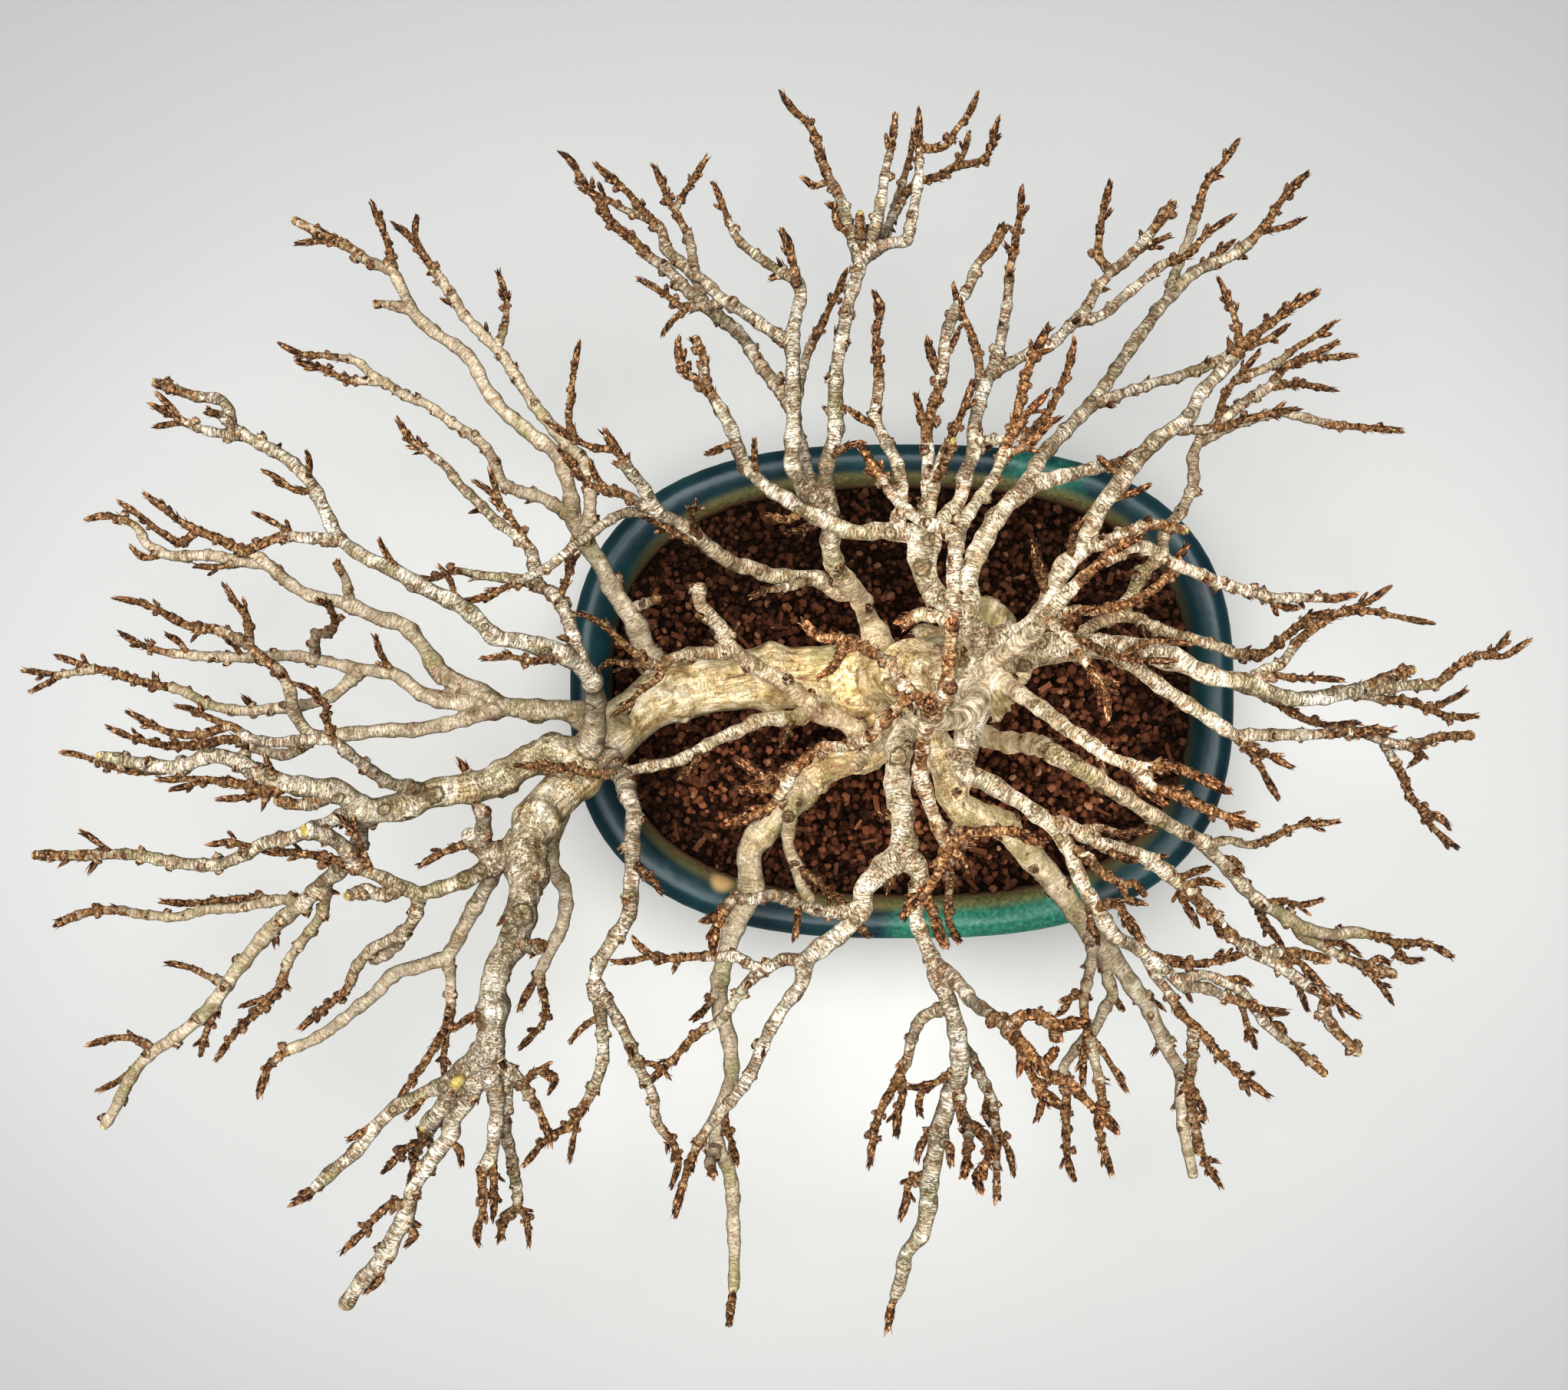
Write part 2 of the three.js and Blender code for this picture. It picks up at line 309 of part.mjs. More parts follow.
spire7 column 158/158/158 4.4/4/3.6/3.4 join 33,31 38,42 41,45 43,52 45,58 45,62 46,68 48,74 50,78
spire8 spire7 158/157 3/2.6/2.2 bud 50,78 51,82 52,87 53,95 53.5,101 55,108 56,114 56.5,121
spire9 spire7 160 2.6/2.2 bud 47.5,72 45,84 43,89 41,94 40,98
spire10 spire7 156/156/155 3.2/2.8/2.4 bud 49,76 54,79 58,81 63,83 67,87 71,91 74,96 77,100 74.5,104 75,110
  76,116 77.5,122
spire11 spire10 154 2.8/2.8 cut 77,100 80,102 84,106 88,111 92,116
spire12 spire11 152 2.2/2 bud 81,103 87,107 92,109
spire13 spire10 154/152 2.8/2.2 bud 69,88.5 75,90 80,94 85,98 90,102 95,104 100,109 104,112 107,114
spire14 spire7 168/170 2.6/2.2 bud 45,60 58,62 62,66 66,74 68,80 69,85
northeast1 knucklenorth 156/150/146/142 5.6/5/4.2/3.4/2.6 bud 43,18 44,28 48,38 53,45 60,50 68,52.5 75,54
  82,56 88,60
northeast2 northeast1 130/122/118/116 4.2/3.6/3.2/2.8/2.4 bud 57,48 60,55 65,61 70,66 74,70 78,76 82,82
  87,89 92,95 97,100 101,102 107,104.5 112,109 114,111 117,116 120,120 124.5,124
northeast3 northeast2 114 2.2/2 bud 113,110 119,111 123,113
northeast4 northeast2 116 2.4/2 bud 98,100.6 102,104 107,108
northeast5 northeast2 112/110 2.6/2.2 bud 91,94 93,101 96,108 98,115 100,121 104,126 108,132
northeast6 northeast2 120/116 2.8/2.2 bud 73,69 82,72 88,74 95,76 100,78 106,81 114,84 120,88
northeast7 knucklenorth 162/166/165/162/160 6.4/5.4/4.6/4/3.4/2.6 bud 46,12 57,15 62,20 64,26 67,31 71,35
  73,41 79,50 83,55 88,60 92,63 96,66 98,70 102,75 106,79 109,83 115,88 120,91.5 127,96
northeast8 northeast7 160/158 2.6/2.2 bud 92,63 102,63 108,65 115,66.5 122,68
northeast9 northeast7 158 2.4/2 bud 108,82 107,89 105,94 103,99
northeast10 northeast7 168 2.4/2.4 bud 77,46 83,48 87,50
northeast11 northeast7 168/168 3.4/3.2 cut 71,35 76,36.5 82,39 88,40.5 95,39
northeast12 northeast7 174 2.2/2.2 bud 68,32 68.5,38 71,42
northeast13 northeast7 172 2.4/2.2 bud 63,23 60,30 59,37
northeast14 northeast7 164 2.4/2.2 bud 80,51.4 77,54 74,57
eastlow1 trunk 122/122/124/124 6.4/5.4/4.6/4/3.4 join 34,5 55,8 75,11 95,7 110,2 120,-1 133,1
eastlow2 eastlow1 122/120 3.4/3/2.4 bud 68,10 74,17 80,18.5 88,16 95,13.5 102,12 108,9.5 114,10 119,14
  124,18 130,20
eastlow3 eastlow2 120/118/118/116 3.4/3/2.6/2.2 bud 79,18.2 83,25 85,29 89,33 91,40 95,45 97,50 97,57 100,62
  105,66 110,70 116,74 118,77 123,80 128,82 132,84
eastlow4 eastlow3 114 2.2/2 bud 121,79 128,80 136,80.5
eastlow5 eastlow3 114 2.2/2 bud 115,73.3 123,73.5 131,72
eastlow6 eastlow3 118 2.4/2 bud 103,64.4 105,72 109,77 113,82
eastlow7 eastlow6 114/113 2.2/2 bud 107,74.5 117,79 121,82 127,86 131,89
eastlow8 eastlow3 116/112 2.6/2.2 bud 99,60 110,65 118,67 124,65.5 130,64 136,63.5 147,62.5
eastlow9 eastlow1 122/120/118 3/2.6/2.2 bud 130,1 140,1 148,2 155,3 160,7 165,9.5 170,9 177,13.5
eastlow10 eastlow9 116 2/2 bud 163,8.6 169,11 172,15
eastlow11 eastlow9 118/116 2.4/2.2 bud 134,1 142,-1 148,-1.5 153,-3.5 158,-5 165,-5
eastlow12 eastlow11 116 2/2 bud 153,-3.5 159,-0.5 162,1.5
eastlow13 eastlow1 120 2.6/2.2 bud 114,0.8 122,-5 128,-7 137,-6.5
east1 knucklenorth 162/164/163/160/158 6.4/5.6/5/4.4/3.6/3 cut 46,11 60,12 68,12 78,12 86,10.5 93,9 98,6
  104,4 109,3.5 112,2 117,0 124,-1 131,0 138,2 143,4 149,6
east2 east1 160/158 3/2.6/2.2 bud 110,3 113,5 118,8 122,13 127,17 133,20 138,22 144,26
east3 east2 156 2.2/2 bud 132,19.5 138,20 145,18.5 154,17
east4 east1 160 2.4/2 bud 112,2 115,4.5 120,4 127,4 133,3.5
east5 east1 160/158/156/156 4.4/4/3.6/3/2.6 bud 77,12 84,6 88,3 92,0 97,-3 103,-7 107,-9.5 112,-9.5 120,-9.5
  130,-9 138,-8.5 145,-8.5
east6 east5 154 2.6/2.4 bud 107,-9.5 110,-13 113,-17 115,-21 117.5,-25
east7 east6 156 2.2/2.2 bud 109,-12 116,-15 121,-17.5
east8 east5 146/142/140 2.6/2.4 bud 133,-8.8 141,-10 144,-15 147,-20 149,-25 152.4,-27.7 155.5,-29 158,-32
east9 east8 138 2.2/2.2 bud 151,-27 153,-30.8 156,-33.8 160,-36.5
east10 east8 146 2.6/2.4 cut 138,-9.5 148,-12 155,-10 163,-9.5
east11 east10 142 2.2/2 bud 147,-11.8 151,-14 148,-17
east12 east1 170 2.2/2 bud 66,12 70,13 76,10 83,8.5 93,8
east13 east12 172 2/2 bud 80,9.2 86,12.5 97,12
east14 high5 206 2.2/2 bud 66,15 69,19 74,21
southeast1 knucklesouth 160/159/158/160/163 5.4/4.6/4/3.8/3.6/3/2.6 bud 43,-13 42,-17.8 48.3,-20.7 54,-24.3
  59.7,-27.8 64,-32 67.5,-36.3 69.4,-41.7 71.2,-45.9 74.2,-50.2 76,-53.8 79,-57.4 84,-59.8 87.6,-62.9
  91.2,-65.9 94.8,-68.9 99.7,-69.5 104.5,-71.4 109.4,-73.2 113.6,-74.7 120,-75.3
southeast2 southeast1 158/157/156/155 3.4/3.8/4.2/3.6/3.2 join 62.5,-30.5 68.2,-31.4 71.8,-33.8 76,-35.9
  80.3,-36.8 85.8,-38.6 89.4,-41.1 92.4,-43.5 94.8,-45.3 98.5,-48.9 101.5,-52 104.5,-55.6 108.2,-59
southeast3 southeast2 154 3/3/2.6 cut 108.2,-59 114.2,-61 118.5,-61 122.7,-61.4 129,-63
southeast4 southeast2 154/152 3.2/3.4/3 cut 108.2,-59 113.6,-62.3 117.9,-64.7 121.5,-67.1 125.2,-69.2
  128.2,-71.4 127.8,-74.4 130,-78.6 133,-81.7 136,-84.7
southeast5 southeast4 158 2.6/2.6 bud 116,-63.6 122.1,-63.5 125.2,-66.5 128.5,-70
southeast6 southeast4 154 2.4/2.4 bud 127,-70.4 131.2,-72.6 133.6,-74.4 136.8,-76.6
southeast7 southeast4 146 2.2/2 bud 120,-66.2 122,-69.5 124,-75
southeast8 southeast1 156/154 2.8/2.6 bud 86,-61.5 92.4,-63.5 98.5,-63.8 103.3,-62.9 107.6,-61.7 111,-60
southeast9 southeast2 162/160 2.4/2.4 bud 69.5,-32.4 76,-31.7 80.3,-32.9 84,-32.3 88,-32.5
southeast10 southeast2 162 2.6/2.6 bud 75,-35.5 80,-38.5 84,-39.5
southeast11 southeast2 162 2.4/2.4 bud 92.4,-43.5 98.5,-41.7 101,-41
southeast12 southeast2 160 2.6/2.6 bud 94.8,-45.3 99.7,-44 104,-45.5
southeast13 southeast2 154 2.8/2.6 bud 94,-44.8 94.8,-49 96.7,-52 98,-55
southeast14 southeast2 158 2.4/2.6 bud 100.5,-51 103,-55.5 103.8,-58
southeast15 southeast1 162 2.8/2.6 join 67.5,-36.3 72.4,-38.5 74.2,-41 77.9,-43.5 80.3,-45.3
southeast16 southeast15 164 2.6/2.6 bud 80.3,-45.3 82.7,-44.7 86,-48
southeast17 southeast15 160 2.6/2.4 bud 80.3,-45.3 81.5,-48.5 86,-49.5
southeast18 southeast1 158/157/156 3/2.8/2.6 bud 86,-61.5 88.8,-67.7 91.2,-70.8 93.6,-75 97.3,-78.6
  100.3,-81.7 103.3,-85.3 107,-88.9 110.6,-92 115.5,-95.8
southeast19 southeast18 150/148 3/2.8/2.8 cut 97.3,-78.6 96.7,-83.5 96.4,-88.9 96,-95 97,-99.8 97.9,-104.7
  98.5,-108.3
southeast20 southeast19 146 2.2/2.2 bud 98,-106 101.5,-113.2 104,-117
southeast21 southeast19 150 2.2/2.2 bud 96.2,-92 99,-97.4 100,-101
southeast22 southeast1 158/156/154 2.6/2.6/2.4 cut 93,-67.4 100.3,-66.5 104.5,-68.3 108.2,-70 111.2,-73.8
  114.2,-78 117.3,-80.5 120.3,-82.9 123.9,-85.9 128.2,-89.8
southeast23 southeast22 150 2.2/2.2 bud 107.8,-69.8 108.8,-73.8 110,-78.6 112,-84
southeast24 southeast22 158 2.2/2.2 bud 103,-67.6 108.2,-67.4 111,-69
southeast25 southeast1 166/168 3/3 bud 74.2,-50.2 79,-49.5 82.1,-54.4 85.2,-58.6
southeast26 southeast1 152 2.4/2.4 bud 72,-47 73,-55 75,-59
southeast27 southeast22 157 2.2/2.2 bud 114.2,-78 117.5,-78.2 119,-80
eastdown1 trunk 126/122/118/116/114 6/5/4.2/3.8/3.6/3.2 join 34,4 44,-8 52,-11 60,-12 65.8,-15 71.2,-18
  76.7,-21.7 82.7,-25.6 88.2,-28.9 93.6,-32 98.5,-34.4 101.5,-37.4 105.8,-41.7 109.4,-45.9 113.6,-49.5
  117.9,-52 122.7,-55 126.4,-56.2 130.6,-56.8 134.8,-56.2 138,-56.6
eastdown2 eastdown1 112 2.4/2.2 bud 138,-56.6 140.9,-57.4 144.5,-59.2 147,-62.9 152,-62.6
eastdown3 eastdown2 110 2.4/2.4 bud 144.5,-59.2 149.4,-58.6 153,-59.2 159,-62.5
eastdown4 eastdown1 118/120 2.2/2 bud 100,-36 105.2,-34.4 110,-35.6 114.2,-34.7 118.5,-32.6 122.7,-31
  127.6,-30.5 132,-29.8
eastdown5 eastdown1 118 2.4/2.6 bud 103,-38.8 106.4,-39.2 109,-42
eastdown6 eastdown1 116 2.2/2 bud 113.6,-49.5 118.5,-48.9 122.7,-49.8 128,-48.4
eastdown7 eastdown1 108/106 2.8/2.4 bud 111.5,-47.8 114.2,-54.4 118.5,-60
eastdown8 eastdown1 112/110 2.8/2.6 cut 121,-54 122.7,-56.8 127,-59.2 131.8,-61.7 137.9,-64 144.5,-66.2
eastdown9 eastdown8 106 2.2/2 bud 136,-63.3 141.5,-69 144.3,-73
eastdown10 eastdown8 116 2.4/2.4 bud 127,-59.2 131.5,-58.8 137,-62
eastdown11 eastdown8 112 2.2/2.2 bud 137.9,-64 141,-62.3 144,-63.8
southlow1 trunk 112/104/98/94/92/92 9/8/7/6/5/4/3.4/3 bud 28,5 34,-8 38,-16 39.7,-22.1 41.9,-26.4 46.9,-28.5
  51.1,-30 55.4,-35 60.4,-39.9 65.3,-45.6 69,-51 73.6,-58 77.3,-61.7 80.3,-65.3 84,-70.8 86.4,-74.4
  88.8,-79.2 91.2,-84.7 94.2,-90.2 94.2,-95.6 94.5,-101.7 95.5,-106.5 97,-114
southlow2 southlow1 94/96 3/2.8/2.4 join 38.5,-19 41.9,-29.2 40.5,-33.5 39.2,-39.2 39.4,-43.5 39,-49.1
  39,-53.4
southlow3 southlow2 98 2.6/2.6 bud 39,-53.4 40,-56 42,-59
southlow4 southlow1 90/88 3.2/2.8/2.6 bud 75,-59.5 77,-67.1 77.9,-71.4 76,-74.4 74.2,-78 70.6,-82.3
  66.4,-88.3 67,-93.8 66.7,-99.8 67,-105.9 67.3,-110.8 69,-115.5
southlow5 southlow4 92 2.4/2.2 bud 77.9,-71.4 79.2,-73 80.6,-75
southlow6 southlow1 88/86 2.2/2 bud 86,-73.8 88,-73 90,-74.5
under8 trunk 110/116/120 5/4.4/4 join 26,4 24,-6 20,-12 17,-17
south1 trunk 142/150/153/155/156 8/7/6.6/6.2/6.4 join 34,5 30,-6 27,-14 27,-19.3 28,-29 28.4,-37.7
south2 south1 156/157/156/155/155 6/5.4/4.8/3.6/3.2/3/2.8 bud 28.4,-37.7 22.7,-42 18.8,-46.3 18.4,-50.5
  14.9,-54.8 9.9,-59 4.9,-63.3 4.5,-67.6 1.3,-71.9 -2.2,-76.8 -4.4,-81.8 -6.5,-86.8 -10.8,-93.9 -15.7,-99.6
  -19.3,-104.5 -22,-110 -24,-116 -26,-124
south3 south2 156/155/154 3/2.8/2.4 bud 4.9,-63.3 0.6,-62.6 -4.4,-64.4 -7.2,-64 -10.8,-61.9 -15.7,-61.9
  -22,-62 -30,-62 -34,-60 -36,-57
south4 south3 152 2.2/2.2 bud -31,-62 -36,-63 -41,-63.5
south5 south3 152/148 2.8/2.6 bud -5,-64.4 -9.3,-69 -12.9,-74 -15.7,-77.5 -20,-80 -26,-86 -32,-92
south6 south2 160/168/178/184 3.2/3/2.8 bud 18.4,-50.5 13.4,-51.6 7,-50.9 1.3,-48.8 -2.9,-47.7 -7.2,-48.4
  -12.9,-49.1 -16,-55 -17,-62
south7 south6 182 3/2.8 bud -12,-49 -15,-52 -20,-54
south8 south6 168 2.2/2.2 bud 3.5,-49.7 3.1,-53.4 2.5,-58
south9 south1 156/158 4.6/4/4/5 join 28.4,-37.7 32.3,-42.7 31.2,-47 31.2,-52 33,-57.6 34.8,-62 36.2,-64.8
south10 south9 158/157/156/154/152 5/4.8/5/4.8/4/2.8 bud 36.2,-64.8 38.3,-70.4 40.5,-76.9 41.5,-82.5
  41.2,-90.3 39.4,-95.3 38,-98.9 36.5,-104.6 35.5,-110.2 34.4,-114.5 34,-121.6 31.9,-128.7 29,-132.3
  27.7,-138.7 25.5,-145 24.5,-151
south11 south10 156 2.8/2.6 bud 37.5,-100.6 32.8,-106 31.5,-111
south12 south10 158 2.8/2.6 bud 36.5,-104.6 39,-107 39.6,-112
south13 south10 154/152 3/2.6 bud 34.6,-113.6 29.8,-115.2 29,-120.2 27.5,-124.5
south14 south10 150/146 3/2.8/2.4 bud 39.5,-74 36.2,-74.7 33.3,-76.1 30.5,-81.1 29,-86.8 27.3,-90.3
  25.5,-93.9 22.7,-98.9 21.2,-104.6 20.3,-112
south15 south14 144 3/2.8 bud 27.3,-90.3 28,-94.6 26.9,-98.9 26.6,-105
south16 south10 158 2.8/2.6 bud 41.3,-88 36.9,-91.4 32.6,-93.2 29,-92.8
south17 south16 156 2.4/2.4 bud 33,-93 31.9,-96.7 32.3,-100
south18 south10 148/144/142 3/2.8/2.4 bud 41.3,-82 44,-85.4 46.9,-91 49.3,-96 50.4,-102.4 53.3,-108
  54.5,-114
south19 south18 138 2.2/2 cut 50,-100 50.4,-106.7 50.4,-113 50.4,-119.3
south20 south18 146 2.4/2.4 bud 48.5,-94.5 47.8,-98 48.5,-102
south21 south10 172/180 3.2/3/2.8 bud 40.8,-92 42.6,-100.3 46.1,-103.1 49,-106.7 48.3,-110.2 45.4,-114.5
  47,-118
south22 south21 184 2.6/2.6 bud 43.6,-101.2 43.5,-108 42.6,-114.5
south23 south9 160/168/178/184 4.4/4/3.6/3.2 join 36.2,-64.8 40.5,-67.6 44.7,-72.6 49.7,-76.1 53,-79
south24 south23 188 3.4/3.4/3.2 bud 53,-79 56.8,-76.1 61.8,-76.5 64.6,-78.3 69,-77.5 73,-78
south25 south24 184 3/3.4 knob 61.8,-76.5 64.2,-79 64.8,-81.5
south26 south23 190/192/190 4/3.6/3/2.8 bud 53,-79 55.4,-81.8 59,-85.4 62.5,-89.7 68.2,-92.5 71.8,-96.2
  75.5,-99.8 79.5,-104
south27 south26 184 3/2.8 bud 57.5,-84 58,-88 60.3,-92.6 63.9,-96.2 67.2,-98.5
south28 south26 196 2.6/2.6 bud 61,-88 63,-86 64.5,-83.5
south29 south27 180 2/2 bud 60,-92 61,-97 59.8,-101
south30 south1 158 2.4/2.2 bud 27.6,-25 24,-29 22.3,-27.5
south31 south1 158 2.6/2.6 bud 27.5,-38.4 25.5,-43 24.3,-47
south32 south2 158 2.6/2.6 bud 16.6,-52.8 18.4,-55.5 20.5,-57.5
south33 southlow1 110/114 3/2.8/2.6 join 72,-55.6 73,-61 72.4,-66.5 71.2,-70.8 71.2,-75.6 72.4,-81
south34 south33 114/116 2.8/2.6/2.4 bud 72.4,-81 73.6,-86.5 74.8,-92.6 75.2,-98.6 74.2,-101 75.5,-105.9
  77.8,-114
south35 south33 116 2.6/2.4 bud 71.2,-70.8 68.2,-71.4 66.4,-74.4 64.6,-76
south36 south33 114 2.4/2.2 bud 72.4,-81 75.5,-84.7 77.9,-88.3 81.5,-94.3
south37 south33 116 2.6/2.4 bud 72,-79 71.2,-84.7 70.8,-93
southlow7 trunk 98/94/92/92/94/98/102/104 10/8.6/7/4.8/4.2/3.8/3.4/2.8 bud 25,2 24,-6 21,-13 14,-16 8,-18.5
  4,-24 -2,-29.6 -7.6,-36.3 -8,-47 -11.8,-55.5 -14.7,-64.8 -15.4,-68.3 -14.7,-75.4 -13.6,-79 -12.5,-86
  -12.5,-91.8 -15.7,-100 -15.7,-106.7 -13.2,-112.4 -12.2,-119.5 -12,-123.7 -11.8,-130 -11.8,-135.8
  -12.2,-142 -13.2,-150
southlow8 southlow7 104/112 4.2/3.4/3.2 knob 6,-21 2.4,-24 1.3,-29.2 1,-35 3.1,-41.3 4.5,-46.3 6.3,-48.5
southlow9 southlow8 116 2.4/2 bud 3.1,-41.3 6.3,-43 10.6,-47 15.5,-50
southlow10 southlow7 104 2.6/2.4 bud -15.4,-69 -19,-75 -22,-77
southlow11 southlow7 108 2.8/2.8 knob -15.7,-106.7 -17.5,-110 -17,-113.5
southlow12 southlow7 108 2.4/2.2 bud -14.6,-98 -12.2,-106.7 -11,-111.5
`;

// A value found a share of the way along a list
function spread(values, share) {
  if (values.length === 1) return values[0];
  const place = share * (values.length - 1);
  const step = Math.min(Math.floor(place), values.length - 2);
  return THREE.MathUtils.lerp(values[step], values[step + 1], place - step);
}

// The true size of a plan measure at a height above the table
function trueScale(height) {
  return (EYE_HEIGHT - height) / (EYE_HEIGHT - PLAN_HEIGHT);
}

function readStrands(text) {
  const strands = new Map();
  for (const entry of text.trim().split(/\n(?=\S)/)) {
    const [name, parent, heights, widths, end, ...way] = entry.trim().split(/\s+/);
    strands.set(name, {
      parent,
      end,
      heights: heights.split("/").map(Number),
      widths: widths.split("/").map(Number),
      way: way.map((pair) => pair.split(",").map(Number)),
    });
  }
  return strands;
}

// The place on a strand's axis that lies nearest to a plan point, seen from the eye
function nearestOnPlan(strand, x, y) {
  let best = null;
  for (let i = 0; i < strand.plan.length - 1; i += 1) {
    const a = strand.plan[i];
    const b = strand.plan[i + 1];
    const run = (b.x - a.x) ** 2 + (b.y - a.y) ** 2;
    const along = run > 0 ? ((x - a.x) * (b.x - a.x) + (y - a.y) * (b.y - a.y)) / run : 0;
    const spot = a.clone().lerp(b, THREE.MathUtils.clamp(along, 0, 1));
    const apart = Math.hypot(spot.x - x, spot.y - y);
    if (best === null || apart < best.apart) best = { spot, apart };
  }
  return best.spot;
}

// Works out a strand's axis and radii, after those of what it grows from
function placeStrand(strands, name) {
  const strand = strands.get(name);
  if (strand.points) return strand;
  const last = strand.way.length - 1;
  let heights = strand.heights;
  let start = null;
  if (strand.parent !== "-") {
    start = nearestOnPlan(placeStrand(strands, strand.parent), ...strand.way[0]);
    heights = [start.z, ...heights];
  }
  strand.plan = strand.way.map(([x, y], i) => new THREE.Vector3(x, y, spread(heights, i / last)));
  if (start) strand.plan[0] = start;
  strand.points = strand.plan.map((p) => {
    const scale = trueScale(p.z);
    return new THREE.Vector3(p.x * scale, p.y * scale, p.z);
  });
  strand.radii = strand.plan.map((p, i) => (spread(strand.widths, i / last) / 2) * trueScale(p.z));
  return strand;
}

// Leaves out the points that lie within the kept bend of a straight run
function thin(points, first, last, kept) {
  const chord = new THREE.Line3(points[first], points[last]);
  const foot = new THREE.Vector3();
  let worst = BEND_KEPT;
  let bend = -1;
  for (let i = first + 1; i < last; i += 1) {
    chord.closestPointToPoint(points[i], true, foot);
    const off = foot.distanceTo(points[i]);
    if (off > worst) {
      worst = off;
      bend = i;
    }
  }
  if (bend < 0) return;
  thin(points, first, bend, kept);
  kept.push(bend);
  thin(points, bend, last, kept);
}

function sidesFor(radius) {
  if (radius > 6) return 8;
  if (radius > 3) return 6;
  if (radius > 2.2) return 5;
  return radius > 1.8 ? 4 : 3;
}

// Rings of a tube: centre, radius and the direction that it faces
function strandRings(strand, extra) {
  const last = strand.points.length - 1;
  const kept = [0];
  thin(strand.points, 0, last, kept);
  kept.push(last);
  const rings = kept.map((i) => ({ centre: strand.points[i].clone(), radius: strand.radii[i] + extra }));
  const tip = rings[rings.length - 1];
  const before = rings[rings.length - 2];
  const out = tip.centre.clone().sub(before.centre);
  const reach = out.length();
  out.normalize();
  if (extra > 0) {
    const back = rings[0].centre.clone().sub(rings[1].centre).setLength(extra);
    rings[0].centre.add(back);
    tip.centre.addScaledVector(out, extra);
    return rings;
  }
  if (strand.end === "bud") {
    const length = Math.min(BUD_LENGTH, reach * BUD_SHARE);
    const point = tip.centre.clone();
    const shoulder = point.clone().addScaledVector(out, -length * BUD_SHOULDER);
    tip.centre.addScaledVector(out, -length);
    rings.push({ centre: shoulder, radius: tip.radius * BUD_SWELL });
    rings.push({ centre: point, radius: 0 });
  }
  return rings;
}

// A closed tube through rings, its corners turned as little as they can be from ring to ring
function tubeGeometry(rings, sides) {
  const positions = [];
  const faces = [];
  const swell = (1 + 1 / Math.cos(Math.PI / sides)) / 2;
  const ahead = rings.map((ring, i) => {
    const from = rings[Math.max(i - 1, 0)].centre;
    const to = rings[Math.min(i + 1, rings.length - 1)].centre;
    return to.clone().sub(from).normalize();
  });
  const upright = Math.abs(ahead[0].z) > 0.9 ? new THREE.Vector3(1, 0, 0) : new THREE.Vector3(0, 0, 1);
  let side = upright.cross(ahead[0]).normalize();
  rings.forEach((ring, i) => {
    side = side.sub(ahead[i].clone().multiplyScalar(side.dot(ahead[i]))).normalize();
    const over = ahead[i].clone().cross(side);
    if (ring.radius === 0) {
      positions.push(...ring.centre.toArray());
      return;
    }
    for (let k = 0; k < sides; k += 1) {
      const turn = (k / sides) * 2 * Math.PI;
      const corner = ring.centre.clone();
      corner.addScaledVector(side, Math.cos(turn) * ring.radius * swell);
      corner.addScaledVector(over, Math.sin(turn) * ring.radius * swell);
      positions.push(...corner.toArray());
    }
  });
  const lastRing = rings.length - 1;
  for (let i = 0; i < lastRing; i += 1) {
    for (let k = 0; k < sides; k += 1) {
      const a = i * sides + k;
      const b = i * sides + ((k + 1) % sides);
      if (rings[i + 1].radius === 0) {
        faces.push(a, b, (i + 1) * sides);
      } else {
        faces.push(a, b, b + sides, a, b + sides, a + sides);
      }
    }
  }
  for (let k = 1; k < sides - 1; k += 1) {
    faces.push(0, k + 1, k);
    if (rings[lastRing].radius > 0) {
      const base = lastRing * sides;
      faces.push(base, base + k, base + k + 1);
    }
  }
  const geometry = new THREE.BufferGeometry();
  geometry.setAttribute("position", new THREE.Float32BufferAttribute(positions, 3));
  geometry.setIndex(faces);
  return geometry;
}

function toSolid(geometry) {
  const bare = geometry.clone();
  bare.deleteAttribute("normal");
  bare.deleteAttribute("uv");
  const merged = mergeVertices(bare, 1e-4);
  const vertProperties = new Float32Array(merged.getAttribute("position").array);
  const triVerts = new Uint32Array(merged.getIndex().array);
  return new wasm.Manifold(new wasm.Mesh({ numProp: 3, vertProperties, triVerts }));
}

function toGeometry(solid) {
  const mesh = solid.getMesh();
  const geometry = new THREE.BufferGeometry();
  geometry.setAttribute("position", new THREE.BufferAttribute(new Float32Array(mesh.vertProperties), 3));
  geometry.setIndex(new THREE.BufferAttribute(new Uint32Array(mesh.triVerts), 1));
  geometry.computeVertexNormals();
  return geometry;
}

// Keeps the largest skin of a fused mesh, so that a hollow sealed inside it is filled
function largestSkin(geometry) {
  const index = geometry.getIndex().array;
  const group = Array.from({ length: geometry.getAttribute("position").count }, (_, i) => i);
  const find = (i) => {
    let top = i;
    while (group[top] !== top) top = group[top];
    group[i] = top;
    return top;
  };
  for (let i = 0; i < index.length; i += 3) {
    group[find(index[i + 1])] = find(index[i]);
    group[find(index[i + 2])] = find(index[i]);
  }
  const sizes = new Map();
  for (let i = 0; i < index.length; i += 3) sizes.set(find(index[i]), (sizes.get(find(index[i])) ?? 0) + 1);
  const largest = [...sizes.entries()].sort((a, b) => b[1] - a[1])[0][0];
  const kept = [];
  for (let i = 0; i < index.length; i += 3) {
    if (find(index[i]) === largest) kept.push(index[i], index[i + 1], index[i + 2]);
  }
  geometry.setIndex(kept);
  return geometry;
}

